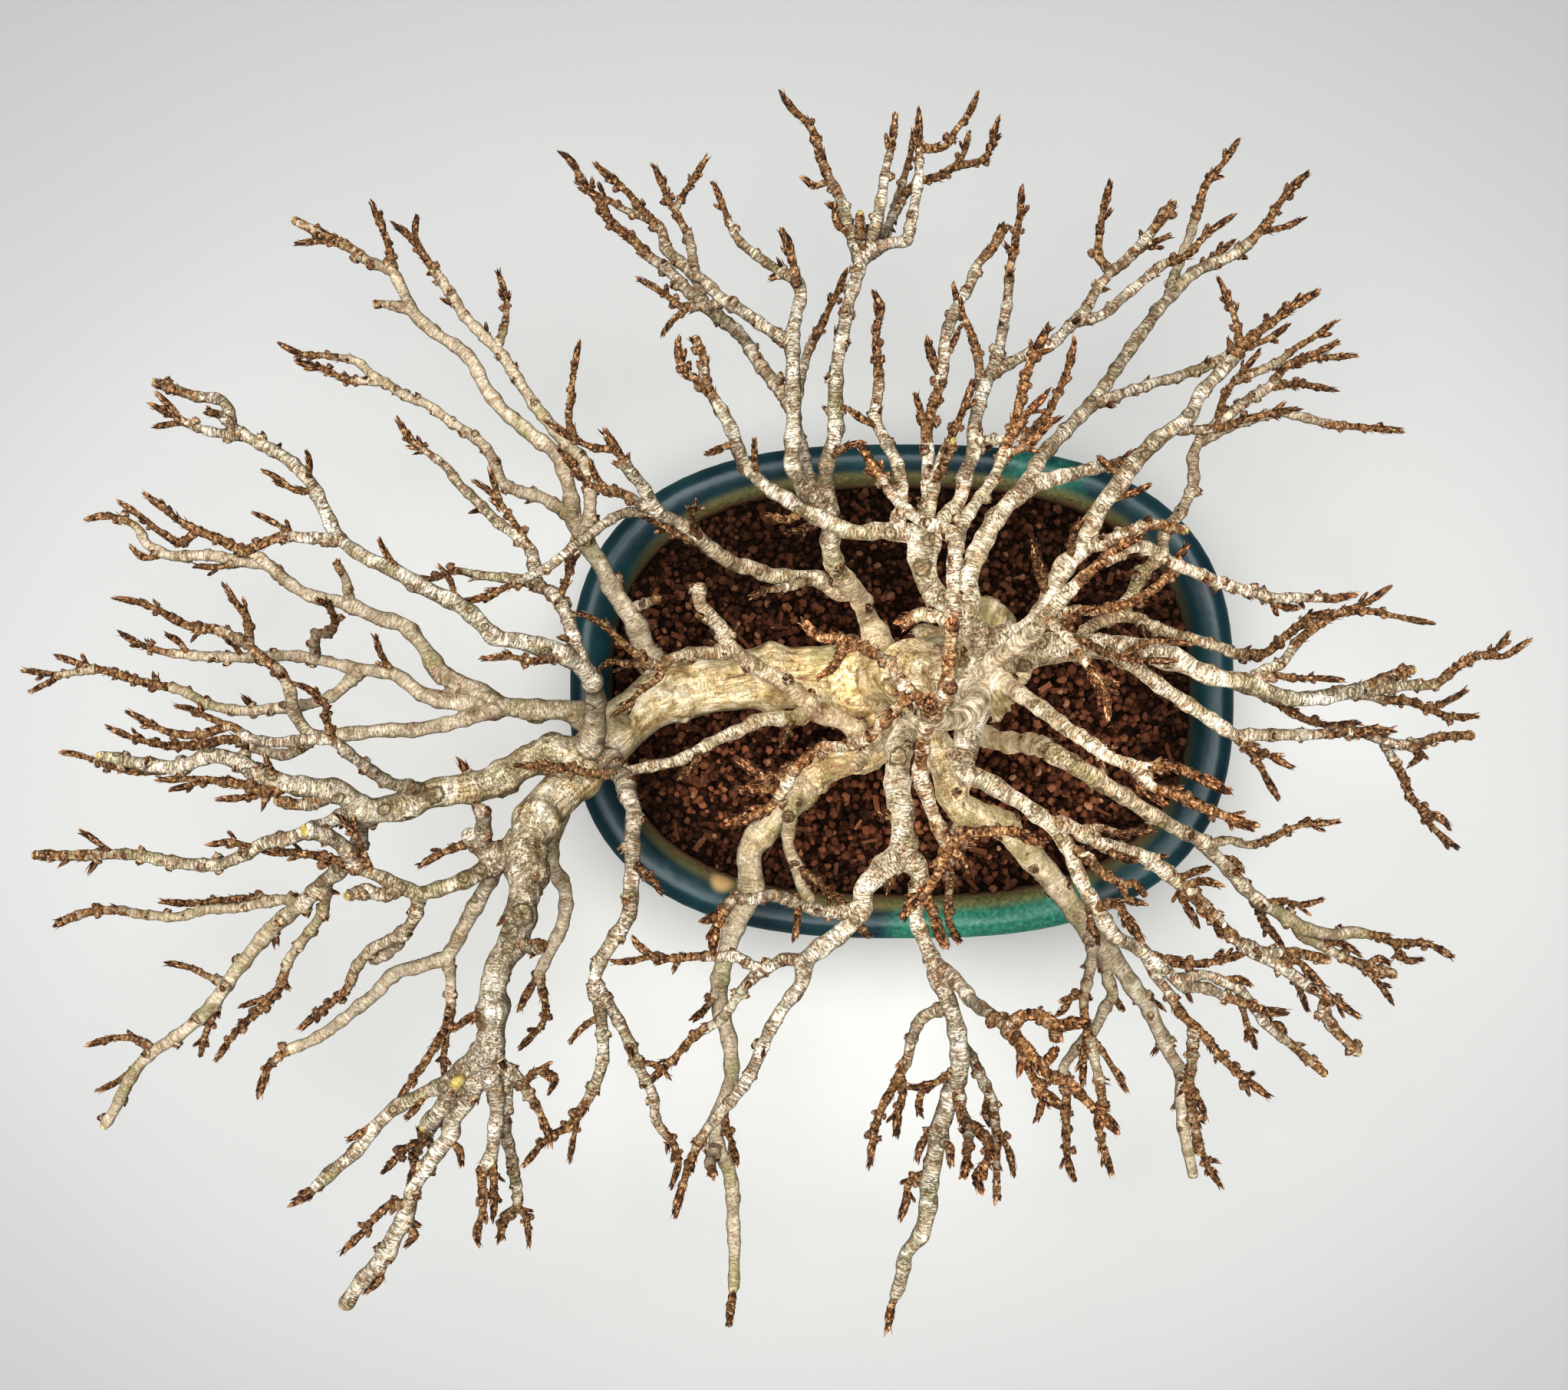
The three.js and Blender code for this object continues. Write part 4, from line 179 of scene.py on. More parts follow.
# Each strand: name, what it grows from, heights, widths, end, then its way across the plan.
# Heights and widths are spread evenly over the way. A strand starts at its parent's height.
# The end is a bud, a saw cut, a blunt knob, or a join where other strands carry on.
WOOD = """
trunk - 44/66/92/110/130/150 27/21/18/16.5/14/9 join 45,8 38,5 25,2 26,5 34,5 43,1
root1 trunk 58/53 18/17/11 knob 43,7 46,13 48,18.5
root2 trunk 57/52 15/12/8 knob 43,7 51,8 57,6.5
root3 trunk 56/52 13/10/8 knob 43,7 48,1 51,-4
root4 trunk 56/52 11/8/5 knob 43,7 40,-1 38,-6
root5 trunk 56/52 11/8/5 knob 43,7 35,12 30,16
leader trunk 170/190/208/224/235 7.6/6.8/6/5.2/4.4/3.2 bud 43,1 46,0 43,-5 38,-6 35.5,-4.5 34,-1
knucklenorth trunk 154/158/160 9/8/7.6/7.4 join 43,1 46,7 47,13 43,18
knucklesouth trunk 154/157 9/8/7.4 join 43,1 44,-6 43,-13
column knucklenorth 162/163 7.4/7/6.6/7.2 join 43,18 38,21 35,25 33,31 32,38
top1 leader 228/230/230 4.6/3.8/3.4 join 36,-4 38,0 39,8 40,18
top2 leader 222/216 4/3.4/3 join 36.5,-5 30,0 26,-4 20,-10
top3 leader 214/208 4/3.6 join 37,-3 34,-6 33,-12 32,-18
top4 top2 212/206 3.4/2.6 bud 30,0 24,8 19,11 15,13 8,14 4,18
top5 top4 204 2.4/2.2 bud 15,13 12,7 8,4
top6 top1 226 3/3.6/4 knob 39,14 38,18 33,19 28,17
top7 top1 222/214/206 4/3.2/2.4 bud 40,18 40,28 40,38 33,41 28,45 24,50 20,56 18,60
top8 top7 212/205/200 3.4/3/2.4 bud 40,34 42,40 46,46 50,52 53,60 55,66 57,74 59,80 63,87.5
top9 top8 202 2.4/2 bud 54,62 58,67 63,72
top10 top8 208 2.4/2 bud 52,57 59,60 62,64 66,66
high1 leader 188/196/200 5.4/4.4/3.4/2.4 bud 41,-1 50,8 56,13 62,18 66,23 71,28 76,32 81,36 85,37.5
high2 high1 192/186 3/2.4 bud 62,18 68,20 75,20 80,21 85,23.5 90,27 93,32 96,36
high3 high1 190/182/176 3.4/3/2.2 bud 76,32 84,35 88,34 92,31.5 100,28 105,26 112,24 118,23 125,23 131,23
  136,24
high4 high3 174 2.2/2 bud 112,24 118,21 122,20.5
high5 high1 204/202 2.8/2.2 bud 62,18 66,15 70,10 73,5 76,0 77,-6
high6 high5 200 2.2/2 bud 73,5 79,2.5
high7 leader 182/194/200/200 5.4/4.4/3.6/3/2.8 bud 41,-1 50,4 55,1 62,-4 67,-8 72,-11 78,-15 84,-17 92,-17
  98,-19.2 102,-21 106,-23.5
high8 high7 200/196 3.2/3/2.8 bud 83,-16.7 88,-22 92,-23 98,-26 104,-28.3 108,-30.2 112.4,-31.4
high9 high7 194 2.8/2.8 bud 83,-16.7 85,-21 88,-24 91,-26
high10 top3 206/202 4.2/3.8/3.6 join 32,-18 34,-25 36.2,-30.6 38.5,-36
high11 high10 202/200 3.4/3/2.8 bud 38.5,-36 42,-34 45.4,-32.8 55.4,-32.8 61.8,-35.6
high12 high10 202/200 3.4/3/2.8 bud 38.5,-36 36.2,-42.7 33.3,-47 30.5,-49.1 27.6,-53.4
high13 high12 200 3/2.8 bud 33.3,-47 34.8,-50.5 36.2,-55.5 39,-60.5
high14 high10 200 2.4/2.4 bud 38.5,-36 42.6,-39.2 43.4,-42.4
high15 top2 208/202 3.4/3/2.6 bud 20,-10 15,-12 8,-13 3,-17 -3,-20 -11,-15
high16 high15 202 2.8/2.6 bud 3,-17 -3,-22 -12,-22.5
high17 high15 198 3/3 bud 3,-17 -3,-26 -8,-29 -14,-30
limb trunk 92/94/98/105/114/124/135 17/16.5/16/15/14/12/10 join 25,2 10,4 0,4 -15,3 -28,0 -38,-7 -45,-14
  -52,-22 -58,-29 -61,-36
west1 limb 116/113/112 6/5.5/5.2/5 join -42,-10 -50,-4 -60,-3.5 -68,-2 -73,1 -80,4
west2 west1 112/110/108 4.6/3.6/2.8/2.2 bud -80,4 -82,6 -86,12 -91,17 -95,18 -105,22 -112,23.5 -118,27
  -123,31 -128,31.5 -135,33 -147,33.5 -151,36 -153,39.5 -158,42 -162,42.5 -166,41.5
west3 west2 106 2.4/2 bud -128,31.5 -133,30.5 -140,30.5
west4 west2 113/114 3/2.6/2.2 bud -118,27 -125,33 -130,35 -139,39 -142,40.5 -146,43.5 -152,48
west5 west4 110 2.4/2 bud -139,39 -143,36 -147,38 -152,42 -158,46
west6 west2 112 2/2 bud -147,33.5 -152,32.5 -155,35.5
west7 west2 118 2.6/2.2 knob -103,21 -104,27 -106,31
west8 west1 108/107/105 4.6/3.6/2.8/2.2 bud -68,-2 -82,-1 -88,2 -92,5 -100,6 -105,7 -113,9 -130,9 -140,9.5
  -150,11 -158,15
west9 west8 110/108/106 3.2/2.6/2.2 bud -100,6 -107,0 -112,-2 -120,-3 -130,-3.5 -137,-2 -143,1 -152,3
  -160,5.5 -166,7 -173,9.5
west10 west9 104 2.2/2 bud -163,6 -172,5 -181,6
west11 west10 102 2/1.8 bud -171,5 -175,2.5 -179,0.5
west12 west8 116 2.2/2 bud -93,5 -95.5,10 -97,14.5
west13 west8 130/146 2.6/2 bud -111,8.5 -111,14 -107.5,15 -106.5,18 -108,21 -111,23
west14 west1 114/119/121 4.2/3.4/2.8 join -66,-3 -78,-6.5 -85,-8 -96,-8.5 -106,-9.5 -111,-10 -116,-4 -117,1
  -120,6 -124,9 -127,12
west15 west14 124 2.8/2 bud -127,12 -127,18 -130,22 -133,26.5
west16 west14 120/118 2.8/2 bud -127,12 -133,15 -141,16.3 -148,20 -153,22 -159,23
west17 west14 118/116 3/2.6/2.2 bud -111,-10 -118,-14 -124,-13 -130,-10.5 -140,-12 -146,-12 -152,-11
  -160.5,-7.5
west18 west8 112 2/2 bud -128,9 -132,13.5 -135,15
west19 west8 110 2/2 bud -141,9.6 -144,13 -147,14.5
shelf1 limb 128/138/142/143/142 9/7.6/5.4/4.4/3.4 cut -46,-15 -58,-15 -70,-21 -85,-24 -93,-27 -100,-27
  -105,-23 -110,-22 -118,-21 -124,-19 -129,-16 -136,-14.5 -143,-17 -150,-16.5 -162,-14.5
shelf2 shelf1 140/138 2.4/2 bud -143,-17 -150,-18.2 -160,-16.8 -166,-14.5 -172,-13.5
shelf3 shelf1 143/142 3.4/2.8/2.2 bud -118,-21 -122,-22.6 -128,-21.5 -137,-20 -149,-20
shelf4 shelf3 139 2/2 bud -137,-20 -141,-21.5 -146,-22.5
shelf5 shelf1 140 2.8/2.2 bud -118,-21 -124,-23.6 -130,-24.4 -135,-24.8
shelf6 shelf1 149 2.2/2 bud -119.5,-20.6 -122,-17 -123,-14
shelf7 shelf1 140 3.4/3.2 cut -107,-22.7 -110,-25 -115,-26 -120,-25
shelf8 shelf1 150/153/152 3.6/3/2.6/2.2 bud -84,-24 -88,-22 -93,-21 -97,-18.5 -102,-15 -107,-11 -113,-10.5
  -120,-11 -127,-10 -131,-7.5 -138,-9.5 -145,-9 -150,-7 -156,-3.5
shelf9 shelf8 155 2.2/2 bud -131,-7.5 -137,-5 -140,-3.5 -145,-2.5
shelf10 shelf8 160/164 2.4/2 bud -107,-11 -108.5,-5 -109,-2 -112,1 -117,3
shelf11 shelf1 142/141/140 4/3.4/2.8 cut -99,-27 -105,-29 -110,-31 -117,-34 -123,-35 -128,-38 -133,-40
  -140,-40 -148,-39 -153,-38 -168,-38 -177.5,-38
shelf12 shelf11 144 2/2 bud -159,-38 -164,-34 -167,-32
shelf13 shelf11 146 2.6/2.2 bud -126,-37 -131,-35 -137,-35.5
drop1 shelf1 122/110/106/104 4.6/4.2/3.6/3 cut -93,-27 -100,-30 -101,-36 -105,-41 -110,-45 -115,-50 -122,-56
  -128,-63 -133,-70 -138,-76 -144,-81 -150,-85 -155,-91 -158,-97 -161,-102
drop2 drop1 108/106 2.8/2.2 bud -114,-49 -122,-48.5 -130,-48.5 -140,-49.5 -148,-49
drop3 drop2 108/107 2.6/2.4 cut -120,-48.6 -130,-50.3 -137,-51 -143,-52.5 -150,-52.2 -158,-51 -165,-51.5
  -172,-54
drop4 drop1 104 2.4/2 bud -132,-68.5 -138,-66 -143,-64 -147,-63.5
drop5 drop1 102 2.4/2 bud -149,-84.4 -154,-81.5 -160,-81.5 -165.5,-83
drop6 drop1 102 2.4/2 bud -152,-87.5 -157,-91 -163,-94
drop7 drop1 112/106/102 3/2.6/2.2 bud -109,-44 -109,-50 -113,-57 -117,-62 -120,-70 -125,-75 -130,-80
  -135,-87
drop8 drop7 104 2/2 bud -121,-71 -129,-74
drop9 drop1 100 2.2/2 bud -134,-71.5 -137,-80 -138.5,-86
crest1 limb 142/152/155/155/154/152/150 6/5/4.6/4.4/4/3.4/3/2.8 cut -45,-14 -46,-12 -44.5,-4 -45,1 -46,4
  -48,6.5 -51,9 -55,11 -60,12 -64,13 -69,14 -73,18 -78,22 -84,25 -88,27 -92,29.5 -100,33 -106,38 -109,44
  -112,50 -116,54.5 -122,58.5 -128,61.5 -131,64 -131.5,67 -133,69.5 -140,71 -149,74
crest2 crest1 150 2.8/2.2 bud -128,61.5 -134,62 -140,63.5 -145,66.5 -150.5,69
crest3 crest2 148 2/2 bud -142,64.5 -149.5,63.5
crest4 crest1 154/153 3/2.6 cut -105,37 -112,37 -118,37.5 -122,36.5 -128,34
crest5 crest4 154 2/2 bud -116,37.4 -121,41 -126,43.5
crest6 crest1 154 2.4/2 bud -111,48 -117,49 -120,51.5 -124,53.3
crest7 crest1 160 2/2 bud -113,51.3 -112.5,54 -113,58
crest8 crest1 156/157 2.6/2.2 bud -50,8 -55,8.5 -60,8 -65,9 -72,8.5
crest9 crest2 152 2/2 bud -143,65.3 -145.5,68.5 -149,72
crest10 crest1 158 2.4/2.2 knob -130,63 -134,66.5 -136,67
crest11 crest1 158 2.2/2 bud -90,28.3 -94,33 -96,37
crest12 crest1 158 2.2/2 bud -78,22 -79,27 -82,31
fan1 crest1 146/142/138 4/3.6/3.2 join -46,4 -48,8 -50,14 -52,20 -55,24 -58,26 -59,30
fan2 fan1 138/136 3/2.6/2.2 bud -59,30 -60,34 -64,38 -68,41 -72,45 -77,50 -80,54 -84,57 -89,61 -92,66
fan3 fan2 136 2.4/2 bud -60,35 -64,41 -67,45 -70,48.5 -74,51
fan4 fan1 138/136 2.8/2.2 bud -57,25.3 -60,27 -68,28 -73,28.5 -78,29.5 -84,27.5 -90,28
fan5 fan1 140 2.4/2 bud -54,22.5 -52,26 -51,30 -50,38
fan6 fan3 140 2/2 bud -67,45 -69,51.5 -70,54
nook1 limb 104/106/108 6/5.2/5 join -27,0 -33,11 -36,18 -40,24 -43,30 -47,36 -50,42
nook2 nook1 108/107/106 4/3.4/2.6 cut -50,42 -51,50 -54,57 -60,62 -67,68 -71,73 -74,79 -77,82 -83,86 -88,91
  -91,97 -93,100.5 -98,102.5 -103,106 -109,109 -116,112.5
nook3 nook2 104 2.4/2 bud -92.5,99.5 -94,107 -96,112 -98,117.5
nook4 nook2 108 2.2/2.2 knob -88,91 -94,92.5 -97,92.5
nook5 nook2 104 2/2 bud -105,107 -112,107.5 -116,107
nook6 nook1 108/106 3.4/2.6/2.2 bud -50,42 -54,45 -58,47 -62,48 -66,50 -69,56 -72,60 -76,63 -80,65.5 -85,69
  -90,71 -95,74 -103,74.5 -110,77.5 -116,79
nook7 nook6 108 2.4/2 bud -94,73.5 -97,75.5 -101,79 -108,80.5 -115,81 -120,83.5
nook8 nook1 108/106/104 3.6/3/2.4 bud -47,36 -46,43 -46,50 -48,56 -52,60 -56,65 -60,70 -64,76 -68,82 -72,86
  -76,90 -79,95 -84,102 -88,108 -90,110 -93,112
nook9 nook8 104 2/2 bud -68,82 -66,89 -66,94 -68,101
nook10 nook8 102 2/2 bud -87,106.5 -87.5,110 -87,114
nook11 nook1 112 2.6/2.4 knob -37,20 -32,22 -30,23
arch1 north1 124/136/146/152/154 4.6/4/3.6/3 bud 17,24 12,25 8,27.5 0,28 -8,30 -15,33 -20,37 -25,41 -30,43.5
  -32,47 -34,50 -37,53.5 -39,57 -41,60 -43,63
arch2 arch1 156 2.4/2 bud -40,58 -45,58.5 -49,60 -54,63 -57,65.5
arch3 arch1 154/154 2.8/2.4/2.2 bud -30,43.5 -36,46.5 -41,48.5 -46,50 -49,53 -51,56 -54,58.5
arch4 arch1 142/146 2.4/2 bud -18,35.4 -25,38 -30,40.5 -34,42.5
arch5 arch1 152/150 2.6/2.2 bud -28,42.5 -38,43 -42,41 -46,38 -50,35 -54,31.5 -60,28.5 -65,26 -70,23.5
  -77,22
arch6 arch2 162/164 2.2/2 bud -50,60.5 -51,66 -50.5,72 -49.5,78 -48.5,84
arch7 arch1 150 2.2/2 bud 5,27.6 3,26 -4,25 -8,23.5
arch8 arch1 158 2.2/2 bud -20,37 -22,42 -21,46
arch9 arch3 158 2.2/2.2 bud -42,48.8 -45,52.5 -46,56
under1 trunk 104/116/120/122 6/5/4.2/3.6 bud 26,3 25,-8 21,-11 18,-9 13,-6 8,-4 5,-1 0,3 -5,5.5 -10,9 -13,12
  -15,16 -18,19 -20,22 -20,26
under2 under1 124/128 3.4/2.8/2.2 bud -12,11 -16,10 -22,10 -27,8.5 -30,7 -34,9 -38,12 -41,15 -45,18 -49,19.5
under3 under2 128 2.4/2 bud -30,7 -37,7 -41,8 -45,5
under4 under2 120 2.4/2 bud -27,8 -31,3 -34,1 -38,-3 -41,-5
under5 under1 122/128/130/130 4/3.6/3/2.4 bud 7,-3 4,-5 0,-5.5 -6,-6 -10,-8 -15,-10 -20,-13 -25,-15.5
  -32,-17 -40,-18.5 -46,-18.5 -52,-17 -58,-17 -64,-16.5
under6 under5 130 2/2 bud 2,-5.2 1,-9 -1,-12
under7 under5 136 2.2/2 bud -20,-13 -22,-17 -25,-20
fork1 limb 140/148/150/150 5.4/4.6/4.2/3.8 join -44,-13 -40,-17 -38,-20 -37,-24 -35.5,-28 -36,-35 -36,-45
  -37,-52 -41,-59 -44,-64 -45,-68
fork2 fork1 150/150/148 3.4/3/2.4 bud -45,-68 -44,-73 -43,-80 -43,-88 -45,-93 -48,-98 -51,-102 -56,-105
  -62,-112
fork3 fork2 146 2/2 bud -49,-99.4 -50,-105 -51,-111
fork4 fork1 150/148/146 3.2/2.8/2.2 bud -45,-68 -40,-76 -37,-82 -34,-89 -31,-95 -30,-101 -26,-107 -25,-110
  -27,-117
fork5 fork1 158 2.4/2.2 bud -36,-40 -32,-43 -29,-47
fork6 fork2 154 2.2/2 bud -43.5,-76 -48,-79 -51,-83
fork7 fork4 152 2.2/2 bud -35,-87 -30,-88 -27,-91
heel1 limb 142/148/151/150 9.5/8/7.4/7.6/9 cut -61,-36 -61,-43 -62,-50 -64,-58 -68,-65 -69,-70 -69,-78
  -71,-86 -75.7,-90
heel2 heel1 150/150/150 4.4/3.8/3.6/3.2 bud -72,-87 -77.8,-90.5 -81.2,-92.5 -84.6,-93.6 -88,-95.6
  -92.2,-97.7 -94.2,-99.7 -96.6,-102 -99.7,-106.2 -102.4,-109 -105.8,-111.7 -109.3,-115 -112.3,-117.8
  -117,-121
heel3 heel2 152 2.6/2.4 bud -96.6,-102 -101,-104.2 -104,-105.7
heel4 heel1 146 5/4.4 cut -73,-89 -77.8,-91.8 -80.5,-96.6 -82.6,-99.7 -85,-102.1
heel5 heel1 150/150/149 5/4.6/3.8/5/3.8 cut -72,-88 -74,-93 -76.4,-98 -78.5,-100.7 -79.2,-104.2 -81.6,-107.6
  -84,-111 -86.3,-114.4 -88,-117.8 -88.7,-121.3 -90.4,-125 -92.5,-128.1 -93.5,-131.2 -96,-134.6 -99,-137.7
  -101.7,-141.1 -104.1,-144.5
heel6 heel5 150 2.8/2.2 bud -88.7,-121.3 -93.5,-120.9 -95.9,-123 -98.3,-125.7 -101,-128.4 -105.2,-132.5
heel7 heel5 151 2.6/2.4 bud -91,-126 -87.5,-127.6 -89.8,-131
heel8 heel5 150 2.6/2.4 bud -94.5,-133 -95.9,-138.4 -99.5,-142
heel9 heel1 150/148/146 4.4/3.8/3/2.4 bud -71,-86 -68.6,-93.6 -68.2,-98 -68.6,-102.8 -68.9,-107.2
  -69.6,-109.6 -71.3,-112.4 -71.6,-115.8 -71.3,-120.2 -72,-124.3 -73,-127.8 -72.1,-131
heel10 heel9 147 2.8/2.4 bud -69.4,-109 -68.9,-112.4 -68.6,-117.5 -68.6,-121 -69.2,-125
heel11 heel1 140/136/134 3.4/2.8/2.4 cut -69,-84 -66,-92 -66.2,-102 -65.5,-105.5 -64.4,-109.6 -63.8,-113.4
  -63.2,-117.5 -63.4,-121.3 -65.5,-123.3 -66.8,-126 -67.2,-128.6
heel12 heel11 134 2.4/2 bud -63.4,-121.3 -61.4,-123.3 -60.7,-126.7 -60.3,-131
heel13 heel1 154/156 3.6/3/2.4 bud -70,-86 -64,-90 -60,-95 -57,-101 -55,-107
heel14 heel13 158 2.4/2.2 bud -62,-92.4 -58,-89 -54,-91 -56,-95
heel15 heel1 126/118/114 3.4/2.8/2.2 bud -72,-87 -80,-97 -84.6,-104.2 -86.3,-106.2 -89,-107 -92.2,-110.3
  -95.2,-113.2
heel16 heel15 112 2.6/2.4 bud -86,-106 -87.4,-109 -88,-113 -89,-116
heel17 limb 130/134 8/6/5 knob -60,-33 -66,-38 -72,-36 -75,-33
heel18 heel17 142 4/3.6 knob -72,-36 -71,-30 -72,-27
heel19 heel17 134 2.8/2.4 bud -74,-35 -82,-38 -87,-41
heel20 heel17 134/136/138 5/4/3.2/2.6 bud -66,-38 -74,-43 -80,-45.5 -86,-47 -92,-44.5 -100,-41.5 -107,-39
  -115,-37.5 -124,-37
heel21 heel20 146 4/4.2 cut -101,-41 -104,-36 -108,-33.5 -113,-32.3
heel22 heel20 142 2.4/2.2 bud -98,-42 -101,-34 -106,-28
heel23 heel20 138 3.4/3.6 cut -90,-45.5 -95,-47.3 -100,-46.5 -103,-47.5
heel24 heel20 130/124/120 3.4/3/2.4 bud -86,-47 -89,-55 -93,-58 -97,-60 -101,-64 -104,-70 -110,-75
  -115,-79.5
heel25 heel24 122 3.6/3.8 cut -90,-56 -93,-60 -97,-62.5
heel26 limb 118/110/104/102 4.6/4/3.4/2.6 bud -60,-33 -67,-40 -70,-44 -73,-50 -77,-57 -80,-62 -85,-64
  -92,-66 -97,-71 -105,-77 -112,-82 -118,-84.5 -122,-88 -124.7,-95.6
heel27 heel26 106/102 3/2.4 bud -80,-62 -79,-67 -79,-74 -80,-79 -83,-84 -88,-91 -92,-97
heel28 heel27 100 2.4/2.2 bud -80,-79 -80.5,-85 -80.5,-91
heel29 limb 112/108/106 5/4/3.2/2.6 bud -52,-22 -54,-30 -55,-40 -52,-46 -52,-52 -55,-60 -58,-66 -61,-71
  -63,-75
heel30 heel29 104 2.4/2.2 bud -58,-66 -57,-77 -60,-81 -63,-84
heel31 heel1 158 3/3 knob -64,-58 -59,-60 -57,-59
heel32 heel1 158 2.6/2.4 bud -69,-74 -74,-76 -79,-80
heel33 heel2 153 2.6/2.4 bud -84.6,-93.6 -87,-97.5 -90,-100.7
heel34 heel5 152 2.6/2.4 bud -79.5,-105 -77,-108 -76.5,-112
north1 trunk 108/122/134/142 6/5.4/5/5 join 27,5 22,14 20,18 18,23 15,27 12,31 11,36 11,42 8,46
north2 north1 146/148/149/149 4.6/4/3.4/3 bud 8,46 5,49 2,54 2,60 2,70 2,80 2,86 3,91 4,95 3,99 2,103 1,107
  -1,111
north3 north2 150 2.6/2.2 bud 2.4,98 -2,101 -6,104 -10,107 -13,112 -15,117 -17,122
north4 north2 146/142/140 3.4/3/2.4 bud 1.5,83 -5,87.5 -10,91 -15,94 -19,98 -24,102 -28,106 -29,110 -33,114
  -37,119 -41,122.5 -45,126
north5 north4 138 2.2/2 bud -32,113 -38,115 -43,118 -49,120.5
north6 north4 138/134 2.6/2.2 bud -14,93.5 -20,92 -25,92.5 -28,95 -35,99
north7 north6 134 2.2/2 bud -23,92 -27,88 -29,85
north8 north2 150 2.4/2.2 bud 9,43 5,39.5 1,39
north9 north2 128/120/116/114 3.6/3/2.4 bud 2,68 -3,75 -7,80 -11,86 -16,90 -20,93 -23,96 -28,101 -32,104
  -36,108 -41,112 -44,117 -48,122 -50,126 -53,129
north10 north9 114/112 2.6/2.2 bud -19,92.5 -21,100 -22,106 -23,109 -26,115 -28,119 -31,126
north11 north10 112 2/2 bud -26,115 -23,120 -18,128
north12 column 162/160/158/156 4.6/4/3.4/2.6 bud 32,38 24,39 17,38.5 10,41 4,44 0,47 -5,50 -9,54 -11,58
  -12,62 -14,66 -17,71 -19,74 -23,76 -25,80 -25,85
north13 north12 158 2.4/2.6 cut -19,74 -19,80 -21,84.5
north14 north12 164 2.2/2 bud -6.5,51.8 -7,56 -7,61
north15 north12 160 2.4/2.4 bud -11.5,60 -16,58 -19,57
north16 north12 162 2.4/2.4 bud 5,43.5 0,41.5 -4,43
north17 north12 158/157/156 3.4/3/2.4 bud 26,39 28,46 27,54 24,60 22,64 22.5,75 22,87 23,92 21,96
north18 north17 160 2.4/2.4 bud 22,64 19,65 15,68
north19 north1 150/154/156/156 4.4/4/3.6/3.4 join 11,42 10,50 10,55 12,62 12,70 12.5,78 14,86 15,92 17,98
  19,104
north20 north19 158 2.4/2.2 bud 10.5,56 15,59 19,60
north21 north19 155/154 3.2/2.8/2.4 bud 18.5,102 15,112 13,118 10,124 8,130 6,135 2,139 -1,143
north22 north21 160 2.4/2.2 bud 16,109 12.5,112 12,117
north23 north21 156 2.2/2.2 bud 11,122 7,120.5 4,123
north24 north19 156/155 3.2/2.8/2.4 bud 19,104 22,112 23,118 24,124 25.5,130 26.5,138
north25 north24 130/124 2.4/2 bud 21,109 24,110 27,118 30,128 31,134
north26 north25 120 2.2/2 bud 25.5,114 31,121 38,123.5 42,127 44,134
north27 north26 118 2/2 bud 40,125 47,127 51,137
north28 north19 157/157/155 3.2/2.8/2.4 bud 19,104 25,107 29,108 30,112 31,117 32,124 32,132 32,139
north29 north28 154 2.4/2.2 bud 32,129.5 38,130 41,134 44,138 46,143
north30 north1 120/112/110 3/2.6/2.2 bud 8,46 5,56 3,66 4,76 6,82 9,88 12,94 15,101
north31 north24 160 2.4/2.4 cut 19.5,105 18,109 18,114
spire1 column 160/160 3.6/3.4/3 bud 32,38 34,46 34,55 34,62 35,68 37,75 35,80 34,85
spire2 spire1 160/158/156 3/2.8/2.6 cut 36.5,73 38,80 39,88 41,92 44,97 46,102 50,107 52,111
spire3 spire2 160 2.2/2 bud 37.8,79 40,83 42,88
spire4 spire1 164 2.4/2.2 bud 34,62 32,68 31,72
spire5 column 166/168 3.4/2.8/2.4 bud 33,34 36,52 37,56 40,62 43,69 45,75
spire6 spire5 172 2.4/2.6 cut 35.8,50 38,55 40,60
spire7 column 158/158/158 4.4/4/3.6/3.4 join 33,31 38,42 41,45 43,52 45,58 45,62 46,68 48,74 50,78
spire8 spire7 158/157 3/2.6/2.2 bud 50,78 51,82 52,87 53,95 53.5,101 55,108 56,114 56.5,121
spire9 spire7 160 2.6/2.2 bud 47.5,72 45,84 43,89 41,94 40,98
spire10 spire7 156/156/155 3.2/2.8/2.4 bud 49,76 54,79 58,81 63,83 67,87 71,91 74,96 77,100 74.5,104 75,110
  76,116 77.5,122
spire11 spire10 154 2.8/2.8 cut 77,100 80,102 84,106 88,111 92,116
spire12 spire11 152 2.2/2 bud 81,103 87,107 92,109
spire13 spire10 154/152 2.8/2.2 bud 69,88.5 75,90 80,94 85,98 90,102 95,104 100,109 104,112 107,114
spire14 spire7 168/170 2.6/2.2 bud 45,60 58,62 62,66 66,74 68,80 69,85
northeast1 knucklenorth 156/150/146/142 5.6/5/4.2/3.4/2.6 bud 43,18 44,28 48,38 53,45 60,50 68,52.5 75,54
  82,56 88,60
northeast2 northeast1 130/122/118/116 4.2/3.6/3.2/2.8/2.4 bud 57,48 60,55 65,61 70,66 74,70 78,76 82,82
  87,89 92,95 97,100 101,102 107,104.5 112,109 114,111 117,116 120,120 124.5,124
northeast3 northeast2 114 2.2/2 bud 113,110 119,111 123,113
northeast4 northeast2 116 2.4/2 bud 98,100.6 102,104 107,108
northeast5 northeast2 112/110 2.6/2.2 bud 91,94 93,101 96,108 98,115 100,121 104,126 108,132
northeast6 northeast2 120/116 2.8/2.2 bud 73,69 82,72 88,74 95,76 100,78 106,81 114,84 120,88
northeast7 knucklenorth 162/166/165/162/160 6.4/5.4/4.6/4/3.4/2.6 bud 46,12 57,15 62,20 64,26 67,31 71,35
